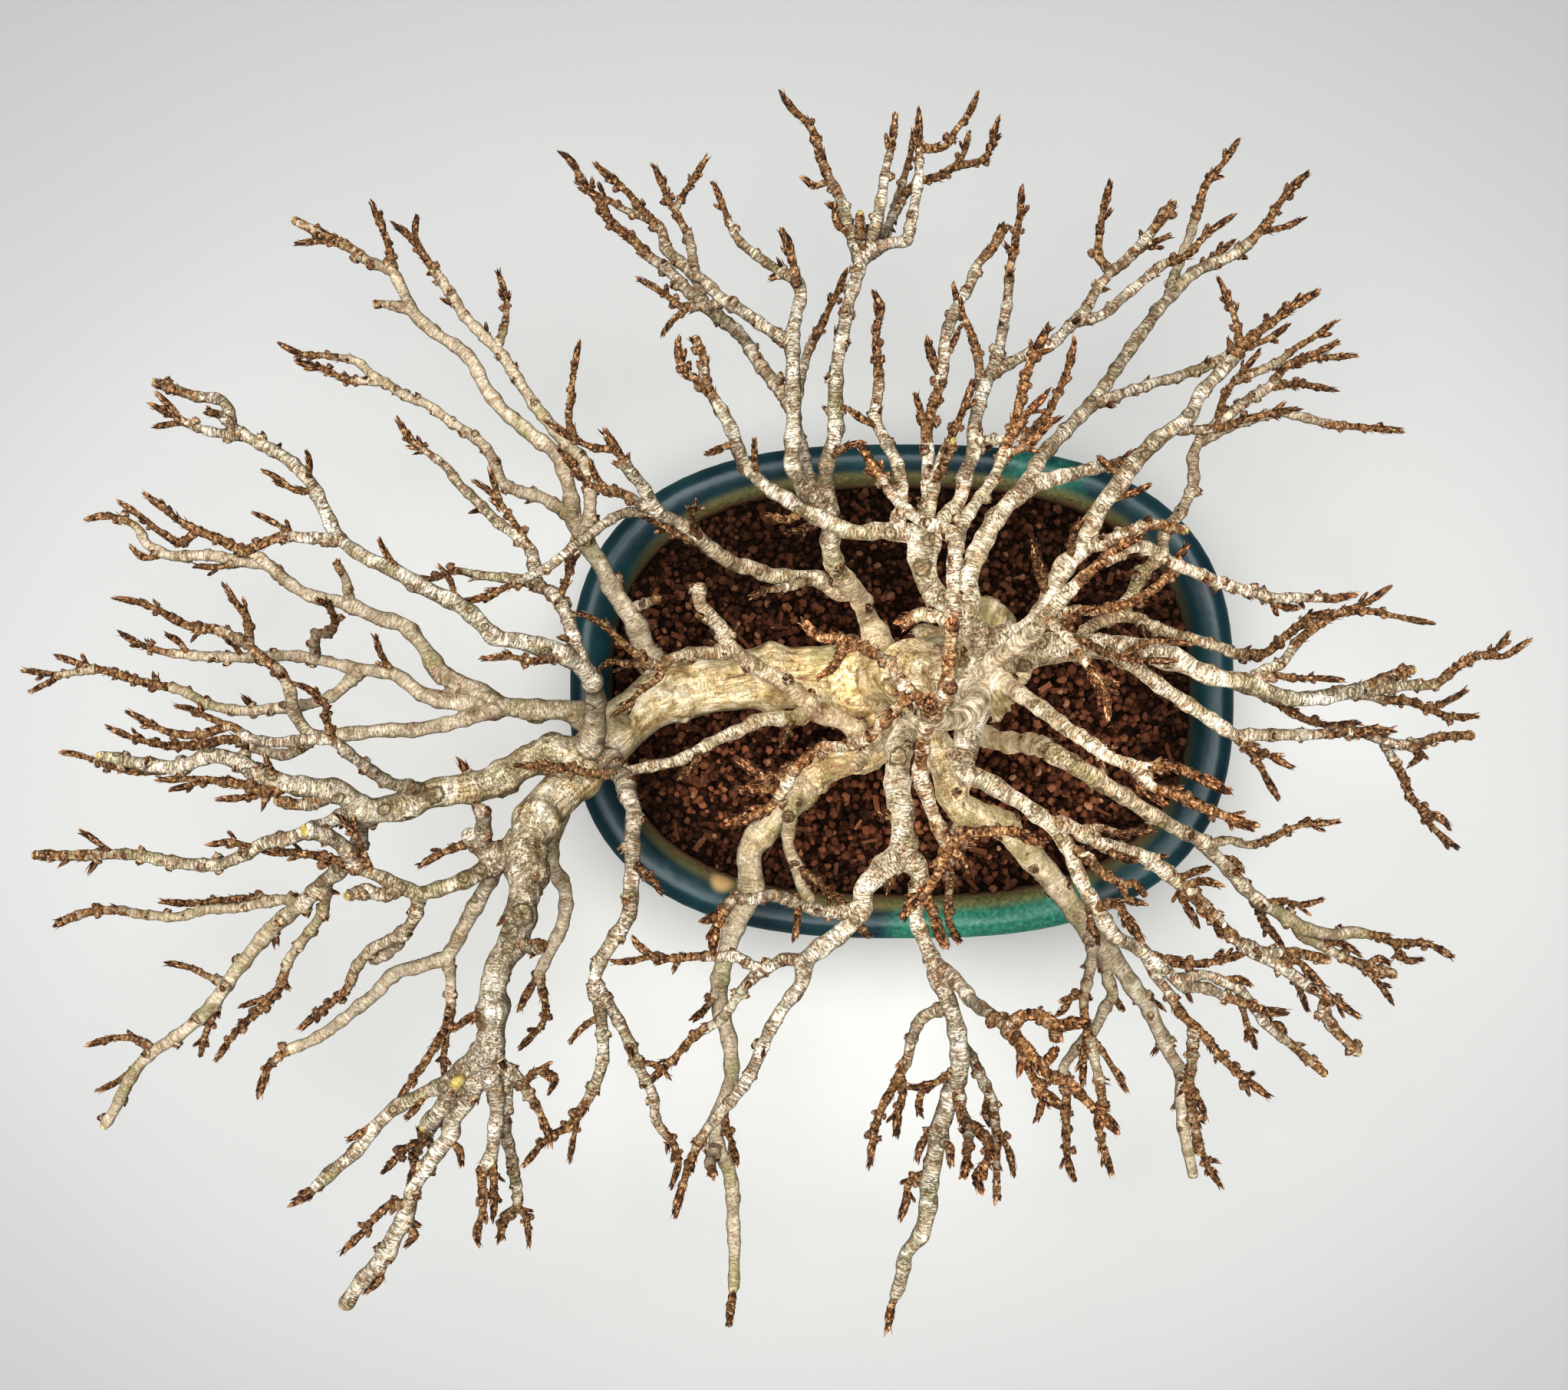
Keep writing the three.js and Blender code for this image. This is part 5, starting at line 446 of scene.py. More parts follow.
  73,41 79,50 83,55 88,60 92,63 96,66 98,70 102,75 106,79 109,83 115,88 120,91.5 127,96
northeast8 northeast7 160/158 2.6/2.2 bud 92,63 102,63 108,65 115,66.5 122,68
northeast9 northeast7 158 2.4/2 bud 108,82 107,89 105,94 103,99
northeast10 northeast7 168 2.4/2.4 bud 77,46 83,48 87,50
northeast11 northeast7 168/168 3.4/3.2 cut 71,35 76,36.5 82,39 88,40.5 95,39
northeast12 northeast7 174 2.2/2.2 bud 68,32 68.5,38 71,42
northeast13 northeast7 172 2.4/2.2 bud 63,23 60,30 59,37
northeast14 northeast7 164 2.4/2.2 bud 80,51.4 77,54 74,57
eastlow1 trunk 122/122/124/124 6.4/5.4/4.6/4/3.4 join 34,5 55,8 75,11 95,7 110,2 120,-1 133,1
eastlow2 eastlow1 122/120 3.4/3/2.4 bud 68,10 74,17 80,18.5 88,16 95,13.5 102,12 108,9.5 114,10 119,14
  124,18 130,20
eastlow3 eastlow2 120/118/118/116 3.4/3/2.6/2.2 bud 79,18.2 83,25 85,29 89,33 91,40 95,45 97,50 97,57 100,62
  105,66 110,70 116,74 118,77 123,80 128,82 132,84
eastlow4 eastlow3 114 2.2/2 bud 121,79 128,80 136,80.5
eastlow5 eastlow3 114 2.2/2 bud 115,73.3 123,73.5 131,72
eastlow6 eastlow3 118 2.4/2 bud 103,64.4 105,72 109,77 113,82
eastlow7 eastlow6 114/113 2.2/2 bud 107,74.5 117,79 121,82 127,86 131,89
eastlow8 eastlow3 116/112 2.6/2.2 bud 99,60 110,65 118,67 124,65.5 130,64 136,63.5 147,62.5
eastlow9 eastlow1 122/120/118 3/2.6/2.2 bud 130,1 140,1 148,2 155,3 160,7 165,9.5 170,9 177,13.5
eastlow10 eastlow9 116 2/2 bud 163,8.6 169,11 172,15
eastlow11 eastlow9 118/116 2.4/2.2 bud 134,1 142,-1 148,-1.5 153,-3.5 158,-5 165,-5
eastlow12 eastlow11 116 2/2 bud 153,-3.5 159,-0.5 162,1.5
eastlow13 eastlow1 120 2.6/2.2 bud 114,0.8 122,-5 128,-7 137,-6.5
east1 knucklenorth 162/164/163/160/158 6.4/5.6/5/4.4/3.6/3 cut 46,11 60,12 68,12 78,12 86,10.5 93,9 98,6
  104,4 109,3.5 112,2 117,0 124,-1 131,0 138,2 143,4 149,6
east2 east1 160/158 3/2.6/2.2 bud 110,3 113,5 118,8 122,13 127,17 133,20 138,22 144,26
east3 east2 156 2.2/2 bud 132,19.5 138,20 145,18.5 154,17
east4 east1 160 2.4/2 bud 112,2 115,4.5 120,4 127,4 133,3.5
east5 east1 160/158/156/156 4.4/4/3.6/3/2.6 bud 77,12 84,6 88,3 92,0 97,-3 103,-7 107,-9.5 112,-9.5 120,-9.5
  130,-9 138,-8.5 145,-8.5
east6 east5 154 2.6/2.4 bud 107,-9.5 110,-13 113,-17 115,-21 117.5,-25
east7 east6 156 2.2/2.2 bud 109,-12 116,-15 121,-17.5
east8 east5 146/142/140 2.6/2.4 bud 133,-8.8 141,-10 144,-15 147,-20 149,-25 152.4,-27.7 155.5,-29 158,-32
east9 east8 138 2.2/2.2 bud 151,-27 153,-30.8 156,-33.8 160,-36.5
east10 east8 146 2.6/2.4 cut 138,-9.5 148,-12 155,-10 163,-9.5
east11 east10 142 2.2/2 bud 147,-11.8 151,-14 148,-17
east12 east1 170 2.2/2 bud 66,12 70,13 76,10 83,8.5 93,8
east13 east12 172 2/2 bud 80,9.2 86,12.5 97,12
east14 high5 206 2.2/2 bud 66,15 69,19 74,21
southeast1 knucklesouth 160/159/158/160/163 5.4/4.6/4/3.8/3.6/3/2.6 bud 43,-13 42,-17.8 48.3,-20.7 54,-24.3
  59.7,-27.8 64,-32 67.5,-36.3 69.4,-41.7 71.2,-45.9 74.2,-50.2 76,-53.8 79,-57.4 84,-59.8 87.6,-62.9
  91.2,-65.9 94.8,-68.9 99.7,-69.5 104.5,-71.4 109.4,-73.2 113.6,-74.7 120,-75.3
southeast2 southeast1 158/157/156/155 3.4/3.8/4.2/3.6/3.2 join 62.5,-30.5 68.2,-31.4 71.8,-33.8 76,-35.9
  80.3,-36.8 85.8,-38.6 89.4,-41.1 92.4,-43.5 94.8,-45.3 98.5,-48.9 101.5,-52 104.5,-55.6 108.2,-59
southeast3 southeast2 154 3/3/2.6 cut 108.2,-59 114.2,-61 118.5,-61 122.7,-61.4 129,-63
southeast4 southeast2 154/152 3.2/3.4/3 cut 108.2,-59 113.6,-62.3 117.9,-64.7 121.5,-67.1 125.2,-69.2
  128.2,-71.4 127.8,-74.4 130,-78.6 133,-81.7 136,-84.7
southeast5 southeast4 158 2.6/2.6 bud 116,-63.6 122.1,-63.5 125.2,-66.5 128.5,-70
southeast6 southeast4 154 2.4/2.4 bud 127,-70.4 131.2,-72.6 133.6,-74.4 136.8,-76.6
southeast7 southeast4 146 2.2/2 bud 120,-66.2 122,-69.5 124,-75
southeast8 southeast1 156/154 2.8/2.6 bud 86,-61.5 92.4,-63.5 98.5,-63.8 103.3,-62.9 107.6,-61.7 111,-60
southeast9 southeast2 162/160 2.4/2.4 bud 69.5,-32.4 76,-31.7 80.3,-32.9 84,-32.3 88,-32.5
southeast10 southeast2 162 2.6/2.6 bud 75,-35.5 80,-38.5 84,-39.5
southeast11 southeast2 162 2.4/2.4 bud 92.4,-43.5 98.5,-41.7 101,-41
southeast12 southeast2 160 2.6/2.6 bud 94.8,-45.3 99.7,-44 104,-45.5
southeast13 southeast2 154 2.8/2.6 bud 94,-44.8 94.8,-49 96.7,-52 98,-55
southeast14 southeast2 158 2.4/2.6 bud 100.5,-51 103,-55.5 103.8,-58
southeast15 southeast1 162 2.8/2.6 join 67.5,-36.3 72.4,-38.5 74.2,-41 77.9,-43.5 80.3,-45.3
southeast16 southeast15 164 2.6/2.6 bud 80.3,-45.3 82.7,-44.7 86,-48
southeast17 southeast15 160 2.6/2.4 bud 80.3,-45.3 81.5,-48.5 86,-49.5
southeast18 southeast1 158/157/156 3/2.8/2.6 bud 86,-61.5 88.8,-67.7 91.2,-70.8 93.6,-75 97.3,-78.6
  100.3,-81.7 103.3,-85.3 107,-88.9 110.6,-92 115.5,-95.8
southeast19 southeast18 150/148 3/2.8/2.8 cut 97.3,-78.6 96.7,-83.5 96.4,-88.9 96,-95 97,-99.8 97.9,-104.7
  98.5,-108.3
southeast20 southeast19 146 2.2/2.2 bud 98,-106 101.5,-113.2 104,-117
southeast21 southeast19 150 2.2/2.2 bud 96.2,-92 99,-97.4 100,-101
southeast22 southeast1 158/156/154 2.6/2.6/2.4 cut 93,-67.4 100.3,-66.5 104.5,-68.3 108.2,-70 111.2,-73.8
  114.2,-78 117.3,-80.5 120.3,-82.9 123.9,-85.9 128.2,-89.8
southeast23 southeast22 150 2.2/2.2 bud 107.8,-69.8 108.8,-73.8 110,-78.6 112,-84
southeast24 southeast22 158 2.2/2.2 bud 103,-67.6 108.2,-67.4 111,-69
southeast25 southeast1 166/168 3/3 bud 74.2,-50.2 79,-49.5 82.1,-54.4 85.2,-58.6
southeast26 southeast1 152 2.4/2.4 bud 72,-47 73,-55 75,-59
southeast27 southeast22 157 2.2/2.2 bud 114.2,-78 117.5,-78.2 119,-80
eastdown1 trunk 126/122/118/116/114 6/5/4.2/3.8/3.6/3.2 join 34,4 44,-8 52,-11 60,-12 65.8,-15 71.2,-18
  76.7,-21.7 82.7,-25.6 88.2,-28.9 93.6,-32 98.5,-34.4 101.5,-37.4 105.8,-41.7 109.4,-45.9 113.6,-49.5
  117.9,-52 122.7,-55 126.4,-56.2 130.6,-56.8 134.8,-56.2 138,-56.6
eastdown2 eastdown1 112 2.4/2.2 bud 138,-56.6 140.9,-57.4 144.5,-59.2 147,-62.9 152,-62.6
eastdown3 eastdown2 110 2.4/2.4 bud 144.5,-59.2 149.4,-58.6 153,-59.2 159,-62.5
eastdown4 eastdown1 118/120 2.2/2 bud 100,-36 105.2,-34.4 110,-35.6 114.2,-34.7 118.5,-32.6 122.7,-31
  127.6,-30.5 132,-29.8
eastdown5 eastdown1 118 2.4/2.6 bud 103,-38.8 106.4,-39.2 109,-42
eastdown6 eastdown1 116 2.2/2 bud 113.6,-49.5 118.5,-48.9 122.7,-49.8 128,-48.4
eastdown7 eastdown1 108/106 2.8/2.4 bud 111.5,-47.8 114.2,-54.4 118.5,-60
eastdown8 eastdown1 112/110 2.8/2.6 cut 121,-54 122.7,-56.8 127,-59.2 131.8,-61.7 137.9,-64 144.5,-66.2
eastdown9 eastdown8 106 2.2/2 bud 136,-63.3 141.5,-69 144.3,-73
eastdown10 eastdown8 116 2.4/2.4 bud 127,-59.2 131.5,-58.8 137,-62
eastdown11 eastdown8 112 2.2/2.2 bud 137.9,-64 141,-62.3 144,-63.8
southlow1 trunk 112/104/98/94/92/92 9/8/7/6/5/4/3.4/3 bud 28,5 34,-8 38,-16 39.7,-22.1 41.9,-26.4 46.9,-28.5
  51.1,-30 55.4,-35 60.4,-39.9 65.3,-45.6 69,-51 73.6,-58 77.3,-61.7 80.3,-65.3 84,-70.8 86.4,-74.4
  88.8,-79.2 91.2,-84.7 94.2,-90.2 94.2,-95.6 94.5,-101.7 95.5,-106.5 97,-114
southlow2 southlow1 94/96 3/2.8/2.4 join 38.5,-19 41.9,-29.2 40.5,-33.5 39.2,-39.2 39.4,-43.5 39,-49.1
  39,-53.4
southlow3 southlow2 98 2.6/2.6 bud 39,-53.4 40,-56 42,-59
southlow4 southlow1 90/88 3.2/2.8/2.6 bud 75,-59.5 77,-67.1 77.9,-71.4 76,-74.4 74.2,-78 70.6,-82.3
  66.4,-88.3 67,-93.8 66.7,-99.8 67,-105.9 67.3,-110.8 69,-115.5
southlow5 southlow4 92 2.4/2.2 bud 77.9,-71.4 79.2,-73 80.6,-75
southlow6 southlow1 88/86 2.2/2 bud 86,-73.8 88,-73 90,-74.5
under8 trunk 110/116/120 5/4.4/4 join 26,4 24,-6 20,-12 17,-17
south1 trunk 142/150/153/155/156 8/7/6.6/6.2/6.4 join 34,5 30,-6 27,-14 27,-19.3 28,-29 28.4,-37.7
south2 south1 156/157/156/155/155 6/5.4/4.8/3.6/3.2/3/2.8 bud 28.4,-37.7 22.7,-42 18.8,-46.3 18.4,-50.5
  14.9,-54.8 9.9,-59 4.9,-63.3 4.5,-67.6 1.3,-71.9 -2.2,-76.8 -4.4,-81.8 -6.5,-86.8 -10.8,-93.9 -15.7,-99.6
  -19.3,-104.5 -22,-110 -24,-116 -26,-124
south3 south2 156/155/154 3/2.8/2.4 bud 4.9,-63.3 0.6,-62.6 -4.4,-64.4 -7.2,-64 -10.8,-61.9 -15.7,-61.9
  -22,-62 -30,-62 -34,-60 -36,-57
south4 south3 152 2.2/2.2 bud -31,-62 -36,-63 -41,-63.5
south5 south3 152/148 2.8/2.6 bud -5,-64.4 -9.3,-69 -12.9,-74 -15.7,-77.5 -20,-80 -26,-86 -32,-92
south6 south2 160/168/178/184 3.2/3/2.8 bud 18.4,-50.5 13.4,-51.6 7,-50.9 1.3,-48.8 -2.9,-47.7 -7.2,-48.4
  -12.9,-49.1 -16,-55 -17,-62
south7 south6 182 3/2.8 bud -12,-49 -15,-52 -20,-54
south8 south6 168 2.2/2.2 bud 3.5,-49.7 3.1,-53.4 2.5,-58
south9 south1 156/158 4.6/4/4/5 join 28.4,-37.7 32.3,-42.7 31.2,-47 31.2,-52 33,-57.6 34.8,-62 36.2,-64.8
south10 south9 158/157/156/154/152 5/4.8/5/4.8/4/2.8 bud 36.2,-64.8 38.3,-70.4 40.5,-76.9 41.5,-82.5
  41.2,-90.3 39.4,-95.3 38,-98.9 36.5,-104.6 35.5,-110.2 34.4,-114.5 34,-121.6 31.9,-128.7 29,-132.3
  27.7,-138.7 25.5,-145 24.5,-151
south11 south10 156 2.8/2.6 bud 37.5,-100.6 32.8,-106 31.5,-111
south12 south10 158 2.8/2.6 bud 36.5,-104.6 39,-107 39.6,-112
south13 south10 154/152 3/2.6 bud 34.6,-113.6 29.8,-115.2 29,-120.2 27.5,-124.5
south14 south10 150/146 3/2.8/2.4 bud 39.5,-74 36.2,-74.7 33.3,-76.1 30.5,-81.1 29,-86.8 27.3,-90.3
  25.5,-93.9 22.7,-98.9 21.2,-104.6 20.3,-112
south15 south14 144 3/2.8 bud 27.3,-90.3 28,-94.6 26.9,-98.9 26.6,-105
south16 south10 158 2.8/2.6 bud 41.3,-88 36.9,-91.4 32.6,-93.2 29,-92.8
south17 south16 156 2.4/2.4 bud 33,-93 31.9,-96.7 32.3,-100
south18 south10 148/144/142 3/2.8/2.4 bud 41.3,-82 44,-85.4 46.9,-91 49.3,-96 50.4,-102.4 53.3,-108
  54.5,-114
south19 south18 138 2.2/2 cut 50,-100 50.4,-106.7 50.4,-113 50.4,-119.3
south20 south18 146 2.4/2.4 bud 48.5,-94.5 47.8,-98 48.5,-102
south21 south10 172/180 3.2/3/2.8 bud 40.8,-92 42.6,-100.3 46.1,-103.1 49,-106.7 48.3,-110.2 45.4,-114.5
  47,-118
south22 south21 184 2.6/2.6 bud 43.6,-101.2 43.5,-108 42.6,-114.5
south23 south9 160/168/178/184 4.4/4/3.6/3.2 join 36.2,-64.8 40.5,-67.6 44.7,-72.6 49.7,-76.1 53,-79
south24 south23 188 3.4/3.4/3.2 bud 53,-79 56.8,-76.1 61.8,-76.5 64.6,-78.3 69,-77.5 73,-78
south25 south24 184 3/3.4 knob 61.8,-76.5 64.2,-79 64.8,-81.5
south26 south23 190/192/190 4/3.6/3/2.8 bud 53,-79 55.4,-81.8 59,-85.4 62.5,-89.7 68.2,-92.5 71.8,-96.2
  75.5,-99.8 79.5,-104
south27 south26 184 3/2.8 bud 57.5,-84 58,-88 60.3,-92.6 63.9,-96.2 67.2,-98.5
south28 south26 196 2.6/2.6 bud 61,-88 63,-86 64.5,-83.5
south29 south27 180 2/2 bud 60,-92 61,-97 59.8,-101
south30 south1 158 2.4/2.2 bud 27.6,-25 24,-29 22.3,-27.5
south31 south1 158 2.6/2.6 bud 27.5,-38.4 25.5,-43 24.3,-47
south32 south2 158 2.6/2.6 bud 16.6,-52.8 18.4,-55.5 20.5,-57.5
south33 southlow1 110/114 3/2.8/2.6 join 72,-55.6 73,-61 72.4,-66.5 71.2,-70.8 71.2,-75.6 72.4,-81
south34 south33 114/116 2.8/2.6/2.4 bud 72.4,-81 73.6,-86.5 74.8,-92.6 75.2,-98.6 74.2,-101 75.5,-105.9
  77.8,-114
south35 south33 116 2.6/2.4 bud 71.2,-70.8 68.2,-71.4 66.4,-74.4 64.6,-76
south36 south33 114 2.4/2.2 bud 72.4,-81 75.5,-84.7 77.9,-88.3 81.5,-94.3
south37 south33 116 2.6/2.4 bud 72,-79 71.2,-84.7 70.8,-93
southlow7 trunk 98/94/92/92/94/98/102/104 10/8.6/7/4.8/4.2/3.8/3.4/2.8 bud 25,2 24,-6 21,-13 14,-16 8,-18.5
  4,-24 -2,-29.6 -7.6,-36.3 -8,-47 -11.8,-55.5 -14.7,-64.8 -15.4,-68.3 -14.7,-75.4 -13.6,-79 -12.5,-86
  -12.5,-91.8 -15.7,-100 -15.7,-106.7 -13.2,-112.4 -12.2,-119.5 -12,-123.7 -11.8,-130 -11.8,-135.8
  -12.2,-142 -13.2,-150
southlow8 southlow7 104/112 4.2/3.4/3.2 knob 6,-21 2.4,-24 1.3,-29.2 1,-35 3.1,-41.3 4.5,-46.3 6.3,-48.5
southlow9 southlow8 116 2.4/2 bud 3.1,-41.3 6.3,-43 10.6,-47 15.5,-50
southlow10 southlow7 104 2.6/2.4 bud -15.4,-69 -19,-75 -22,-77
southlow11 southlow7 108 2.8/2.8 knob -15.7,-106.7 -17.5,-110 -17,-113.5
southlow12 southlow7 108 2.4/2.2 bud -14.6,-98 -12.2,-106.7 -11,-111.5
"""

MM = 0.001
METRE = 1000
LOW_CORNER, HIGH_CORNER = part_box("pot")
EYE_FOOT = np.array([
    (LOW_CORNER.x + HIGH_CORNER.x) / 2 - POT_CENTRE[0] * MM,
    (LOW_CORNER.y + HIGH_CORNER.y) / 2 - POT_CENTRE[1] * MM,
    0,
])


def to_row(points):
    """From millimetres round the eye's foot to metres in the row frame."""
    return np.asarray(points) * MM + EYE_FOOT


# Numbers
def smooth(low, high, value):
    share = np.clip((value - low) / (high - low), 0, 1)
    return share * share * (3 - 2 * share)


def unit(vectors):
    return vectors / np.maximum(np.linalg.norm(vectors, axis=-1, keepdims=True), 1e-9)


def oval_share(x, y, half_length, half_width):
    """How far out a spot is in an oval fuller at its corners than an ellipse: 1 on its line."""
    return (abs(x / half_length) ** OVAL_POWER + abs(y / half_width) ** OVAL_POWER) ** (1 / OVAL_POWER)


def lattice(x, y, z, seed):
    """A random value from -1 to 1 for each whole-numbered corner."""
    a, b, c, d = HASH_STEPS
    n = (x * a + y * b + z * c + seed * d) & 0xFFFFFFFF
    n = ((n ^ (n >> 13)) * d) & 0xFFFFFFFF
    return ((n ^ (n >> 16)) & 0xFFFF) / 32767.5 - 1


def lumps(points, seed=0):
    """Smooth random values from -1 to 1, one lump to a unit of length."""
    points = np.asarray(points, float)
    cell = np.floor(points).astype(np.int64)
    part = points - cell
    part = part * part * (3 - 2 * part)
    total = 0
    for dx in (0, 1):
        for dy in (0, 1):
            for dz in (0, 1):
                share = np.where(dx, part[..., 0], 1 - part[..., 0])
                share = share * np.where(dy, part[..., 1], 1 - part[..., 1])
                share = share * np.where(dz, part[..., 2], 1 - part[..., 2])
                corner = lattice(cell[..., 0] + dx, cell[..., 1] + dy, cell[..., 2] + dz, seed)
                total = total + share * corner
    return total


def lumps_along(places, seed):
    points = np.empty(np.shape(places) + (3,))
    points[..., 0] = places
    points[..., 1:] = LUMP_LINE
    return lumps(points, seed)


def smooth_line(points, gaps, counts):
    """A smooth line through points, with so many steps from each point to the next."""
    slopes = np.diff(points, axis=0) / gaps[:, None]
    before, after = gaps[:-1, None], gaps[1:, None]
    inner = (slopes[:-1] * after + slopes[1:] * before) / (before + after)
    tangents = np.vstack([slopes[:1], inner, slopes[-1:]])
    rows = []
    for i, count in enumerate(counts):
        t = np.arange(count)[:, None] / count
        rows.append(
            (2 * t**3 - 3 * t**2 + 1) * points[i]
            + (t**3 - 2 * t**2 + t) * (tangents[i] * gaps[i])
            + (3 * t**2 - 2 * t**3) * points[i + 1]
            + (t**3 - t**2) * (tangents[i + 1] * gaps[i])
        )
    return np.vstack(rows + [points[-1:]])


def distances(line):
    """How far along a line each of its points lies."""
    return np.concatenate([[0], np.cumsum(np.linalg.norm(np.diff(line, axis=0), axis=1))])


# The strands of wood
class Strand:
    def __init__(self, number, name, parent, heights, widths, end, way):
        self.number = number
        self.name = name
        self.group = name.rstrip("0123456789")
        self.parent = parent
        self.heights = [float(v) for v in heights.split("/")]
        self.widths = [float(v) for v in widths.split("/")]
        self.end = end
        self.way = np.array([[float(v) for v in pair.split(",")] for pair in way])
        self.axis = None
        self.carrier_radius = 0.0

    def trace(self, points, radii):
        """Draws a smooth axis through the points, with a frame that turns as little as it can."""
        gaps = np.maximum(np.linalg.norm(np.diff(points, axis=0), axis=1), 1e-3)
        counts = [max(2, math.ceil(gap / WAY_STEP)) for gap in gaps]
        axis = smooth_line(points, gaps, counts)
        sizes = [
            start + (stop - start) * (np.arange(count) / count)
            for start, stop, count in zip(radii, radii[1:], counts)
        ]
        self.radius = np.concatenate(sizes + [radii[-1:]])
        along = distances(axis)
        calm = smooth(0, 8, along) * smooth(0, 1, 1 - 0.6 * along / along[-1])
        for k, (reach, pitch) in enumerate(((0.4, 4.7), (0.4, 4.7), (0.9, 13))):
            axis[:, k] += calm * reach * lumps_along(along / pitch, 7 * self.number + k)
        self.axis = axis
        self.along = distances(axis)
        self.length = self.along[-1]
        ahead = unit(np.gradient(axis, axis=0))
        side = np.empty_like(axis)
        first = np.array([1.0, 0, 0]) if abs(ahead[0][2]) > 0.9 else np.array([0, 0, 1.0])
        held = np.cross(first, ahead[0])
        for i, way in enumerate(ahead):
            held = held - way * held.dot(way)
            held = held / math.sqrt(held.dot(held))
            side[i] = held
        self.ahead = ahead
        self.side = side
        self.over = np.cross(ahead, side)

    def at(self, places):
        """Centre, radius and frame at distances along the axis, straight on past the ends."""
        beyond = np.maximum(places - self.length, 0)[:, None]

        def read(values):
            return np.column_stack([np.interp(places, self.along, values[:, k]) for k in range(3)])

        ahead = unit(read(self.ahead))
        centre = read(self.axis) + ahead * beyond
        radius = np.interp(places, self.along, self.radius)
        return centre, radius, ahead, unit(read(self.side)), unit(read(self.over))


def spread(values, share):
    """The value a share of the way through a few evenly spaced ones."""
    return float(np.interp(share * (len(values) - 1), range(len(values)), values))


def true_scale(height):
    """Lengths on the plan are drawn as at PLAN_HEIGHT, and higher wood is smaller than it looks."""
    return (EYE_HEIGHT - height) / (EYE_HEIGHT - PLAN_HEIGHT)


def nearest_on_plan(strand, spot):
    a = strand.plan[:-1]
    run = strand.plan[1:] - a
    flat = np.maximum((run[:, :2] ** 2).sum(1), 1e-9)
    share = np.clip(((spot - a[:, :2]) * run[:, :2]).sum(1) / flat, 0, 1)
    spots = a + run * share[:, None]
    return spots[np.argmin(np.linalg.norm(spots[:, :2] - spot, axis=1))]


def place_strand(strands, name):
    strand = strands[name]
    if strand.axis is not None:
        return strand
    last = len(strand.way) - 1
    heights = strand.heights
    carrier = None
    if strand.parent != "-":
        carrier = place_strand(strands, strand.parent)
        start = nearest_on_plan(carrier, strand.way[0])
        heights = [start[2]] + heights
    strand.plan = np.array([[x, y, spread(heights, i / last)] for i, (x, y) in enumerate(strand.way)])
    if carrier:
        strand.plan[0] = start
    scale = true_scale(strand.plan[:, 2])
    points = strand.plan * np.column_stack([scale, scale, np.ones_like(scale)])
    radii = np.array([spread(strand.widths, i / last) for i in range(last + 1)]) / 2 * scale
    if carrier:
        nearest = np.argmin(np.linalg.norm(carrier.axis - points[0], axis=1))
        points[0] = carrier.axis[nearest]
        strand.carrier_radius = carrier.radius[nearest]
    strand.trace(points, radii)
    return strand


def read_strands(text):
    strands = {}
    for number, entry in enumerate(re.split(r"\n(?=\S)", text.strip())):
        name, parent, heights, widths, end, *way = entry.split()
        strands[name] = Strand(number, name, parent, heights, widths, end, way)
    for name in strands:
        place_strand(strands, name)
    return strands


# Meshes
class Heap:
    """Points, faces and values of what goes into one mesh."""

    def __init__(self):
        self.points, self.quads, self.tris, self.values = [], [], [], {}
        self.count = 0

    def add(self, points, quads=(), tris=(), **values):
        self.points.append(points)
        if len(quads):
            self.quads.append(np.asarray(quads) + self.count)
        if len(tris):
            self.tris.append(np.asarray(tris) + self.count)
        for key, value in values.items():
            self.values.setdefault(key, []).append(value)
        self.count += len(points)

    def faces(self):
        quads = np.vstack(self.quads).tolist() if self.quads else []
        tris = np.vstack(self.tris).tolist() if self.tris else []
        return quads + tris

    def mesh(self, name):
        mesh = bpy.data.meshes.new(name)
        mesh.from_pydata(to_row(np.vstack(self.points)).tolist(), [], self.faces())
        write_values(mesh, {key: np.concatenate(rows) for key, rows in self.values.items()})
        mesh.polygons.foreach_set("use_smooth", [True] * len(mesh.polygons))
        mesh.update()
        return mesh


def write_values(mesh, values):
    for key, value in values.items():
        if value.ndim == 2:
            mesh.attributes.new(key, "FLOAT_VECTOR", "POINT").data.foreach_set("vector", value.ravel())
        else:
            mesh.attributes.new(key, "FLOAT", "POINT").data.foreach_set("value", value)


def new_object(name, mesh):
    obj = bpy.data.objects.new(name, mesh)
    bpy.context.scene.collection.objects.link(obj)
    return obj


def cover(obj, material):
    obj.data.materials.clear()
    obj.data.materials.append(material)


def finish_piece(obj, material, slot, *stands_for):
    cover(obj, material)
    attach(obj, "root")
    if stands_for:
        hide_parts(*stands_for)


def add_piece(name, heap, *finish):
    finish_piece(new_object(name, heap.mesh(name)), *finish)


def choose(obj):
    bpy.ops.object.select_all(action="DESELECT")
    obj.select_set(True)
    bpy.context.view_layer.objects.active = obj


def modify(obj, kind, **settings):
    """Adds one modifier and applies it."""
    choose(obj)
    bpy.ops.object.modifier_add(type=kind)
    modifier = obj.modifiers[-1]
    for key, value in settings.items():
        setattr(modifier, key, value)
    bpy.ops.object.modifier_apply(modifier=modifier.name)


def tube_faces(rings, sides):
    """Quads along a tube, and the fans that close each end on a point of its own."""
    row, k = np.divmod(np.arange((rings - 1) * sides), sides)
    a = row * sides + k
    b = row * sides + (k + 1) % sides
    quads = np.column_stack([a, b, b + sides, a + sides])
    k = np.arange(sides)
    after = (k + 1) % sides
    base = (rings - 1) * sides
    tail = np.column_stack([after, k, np.full(sides, rings * sides)])
    head = np.column_stack([base + k, base + after, np.full(sides, rings * sides + 1)])
    return quads, np.vstack([tail, head])


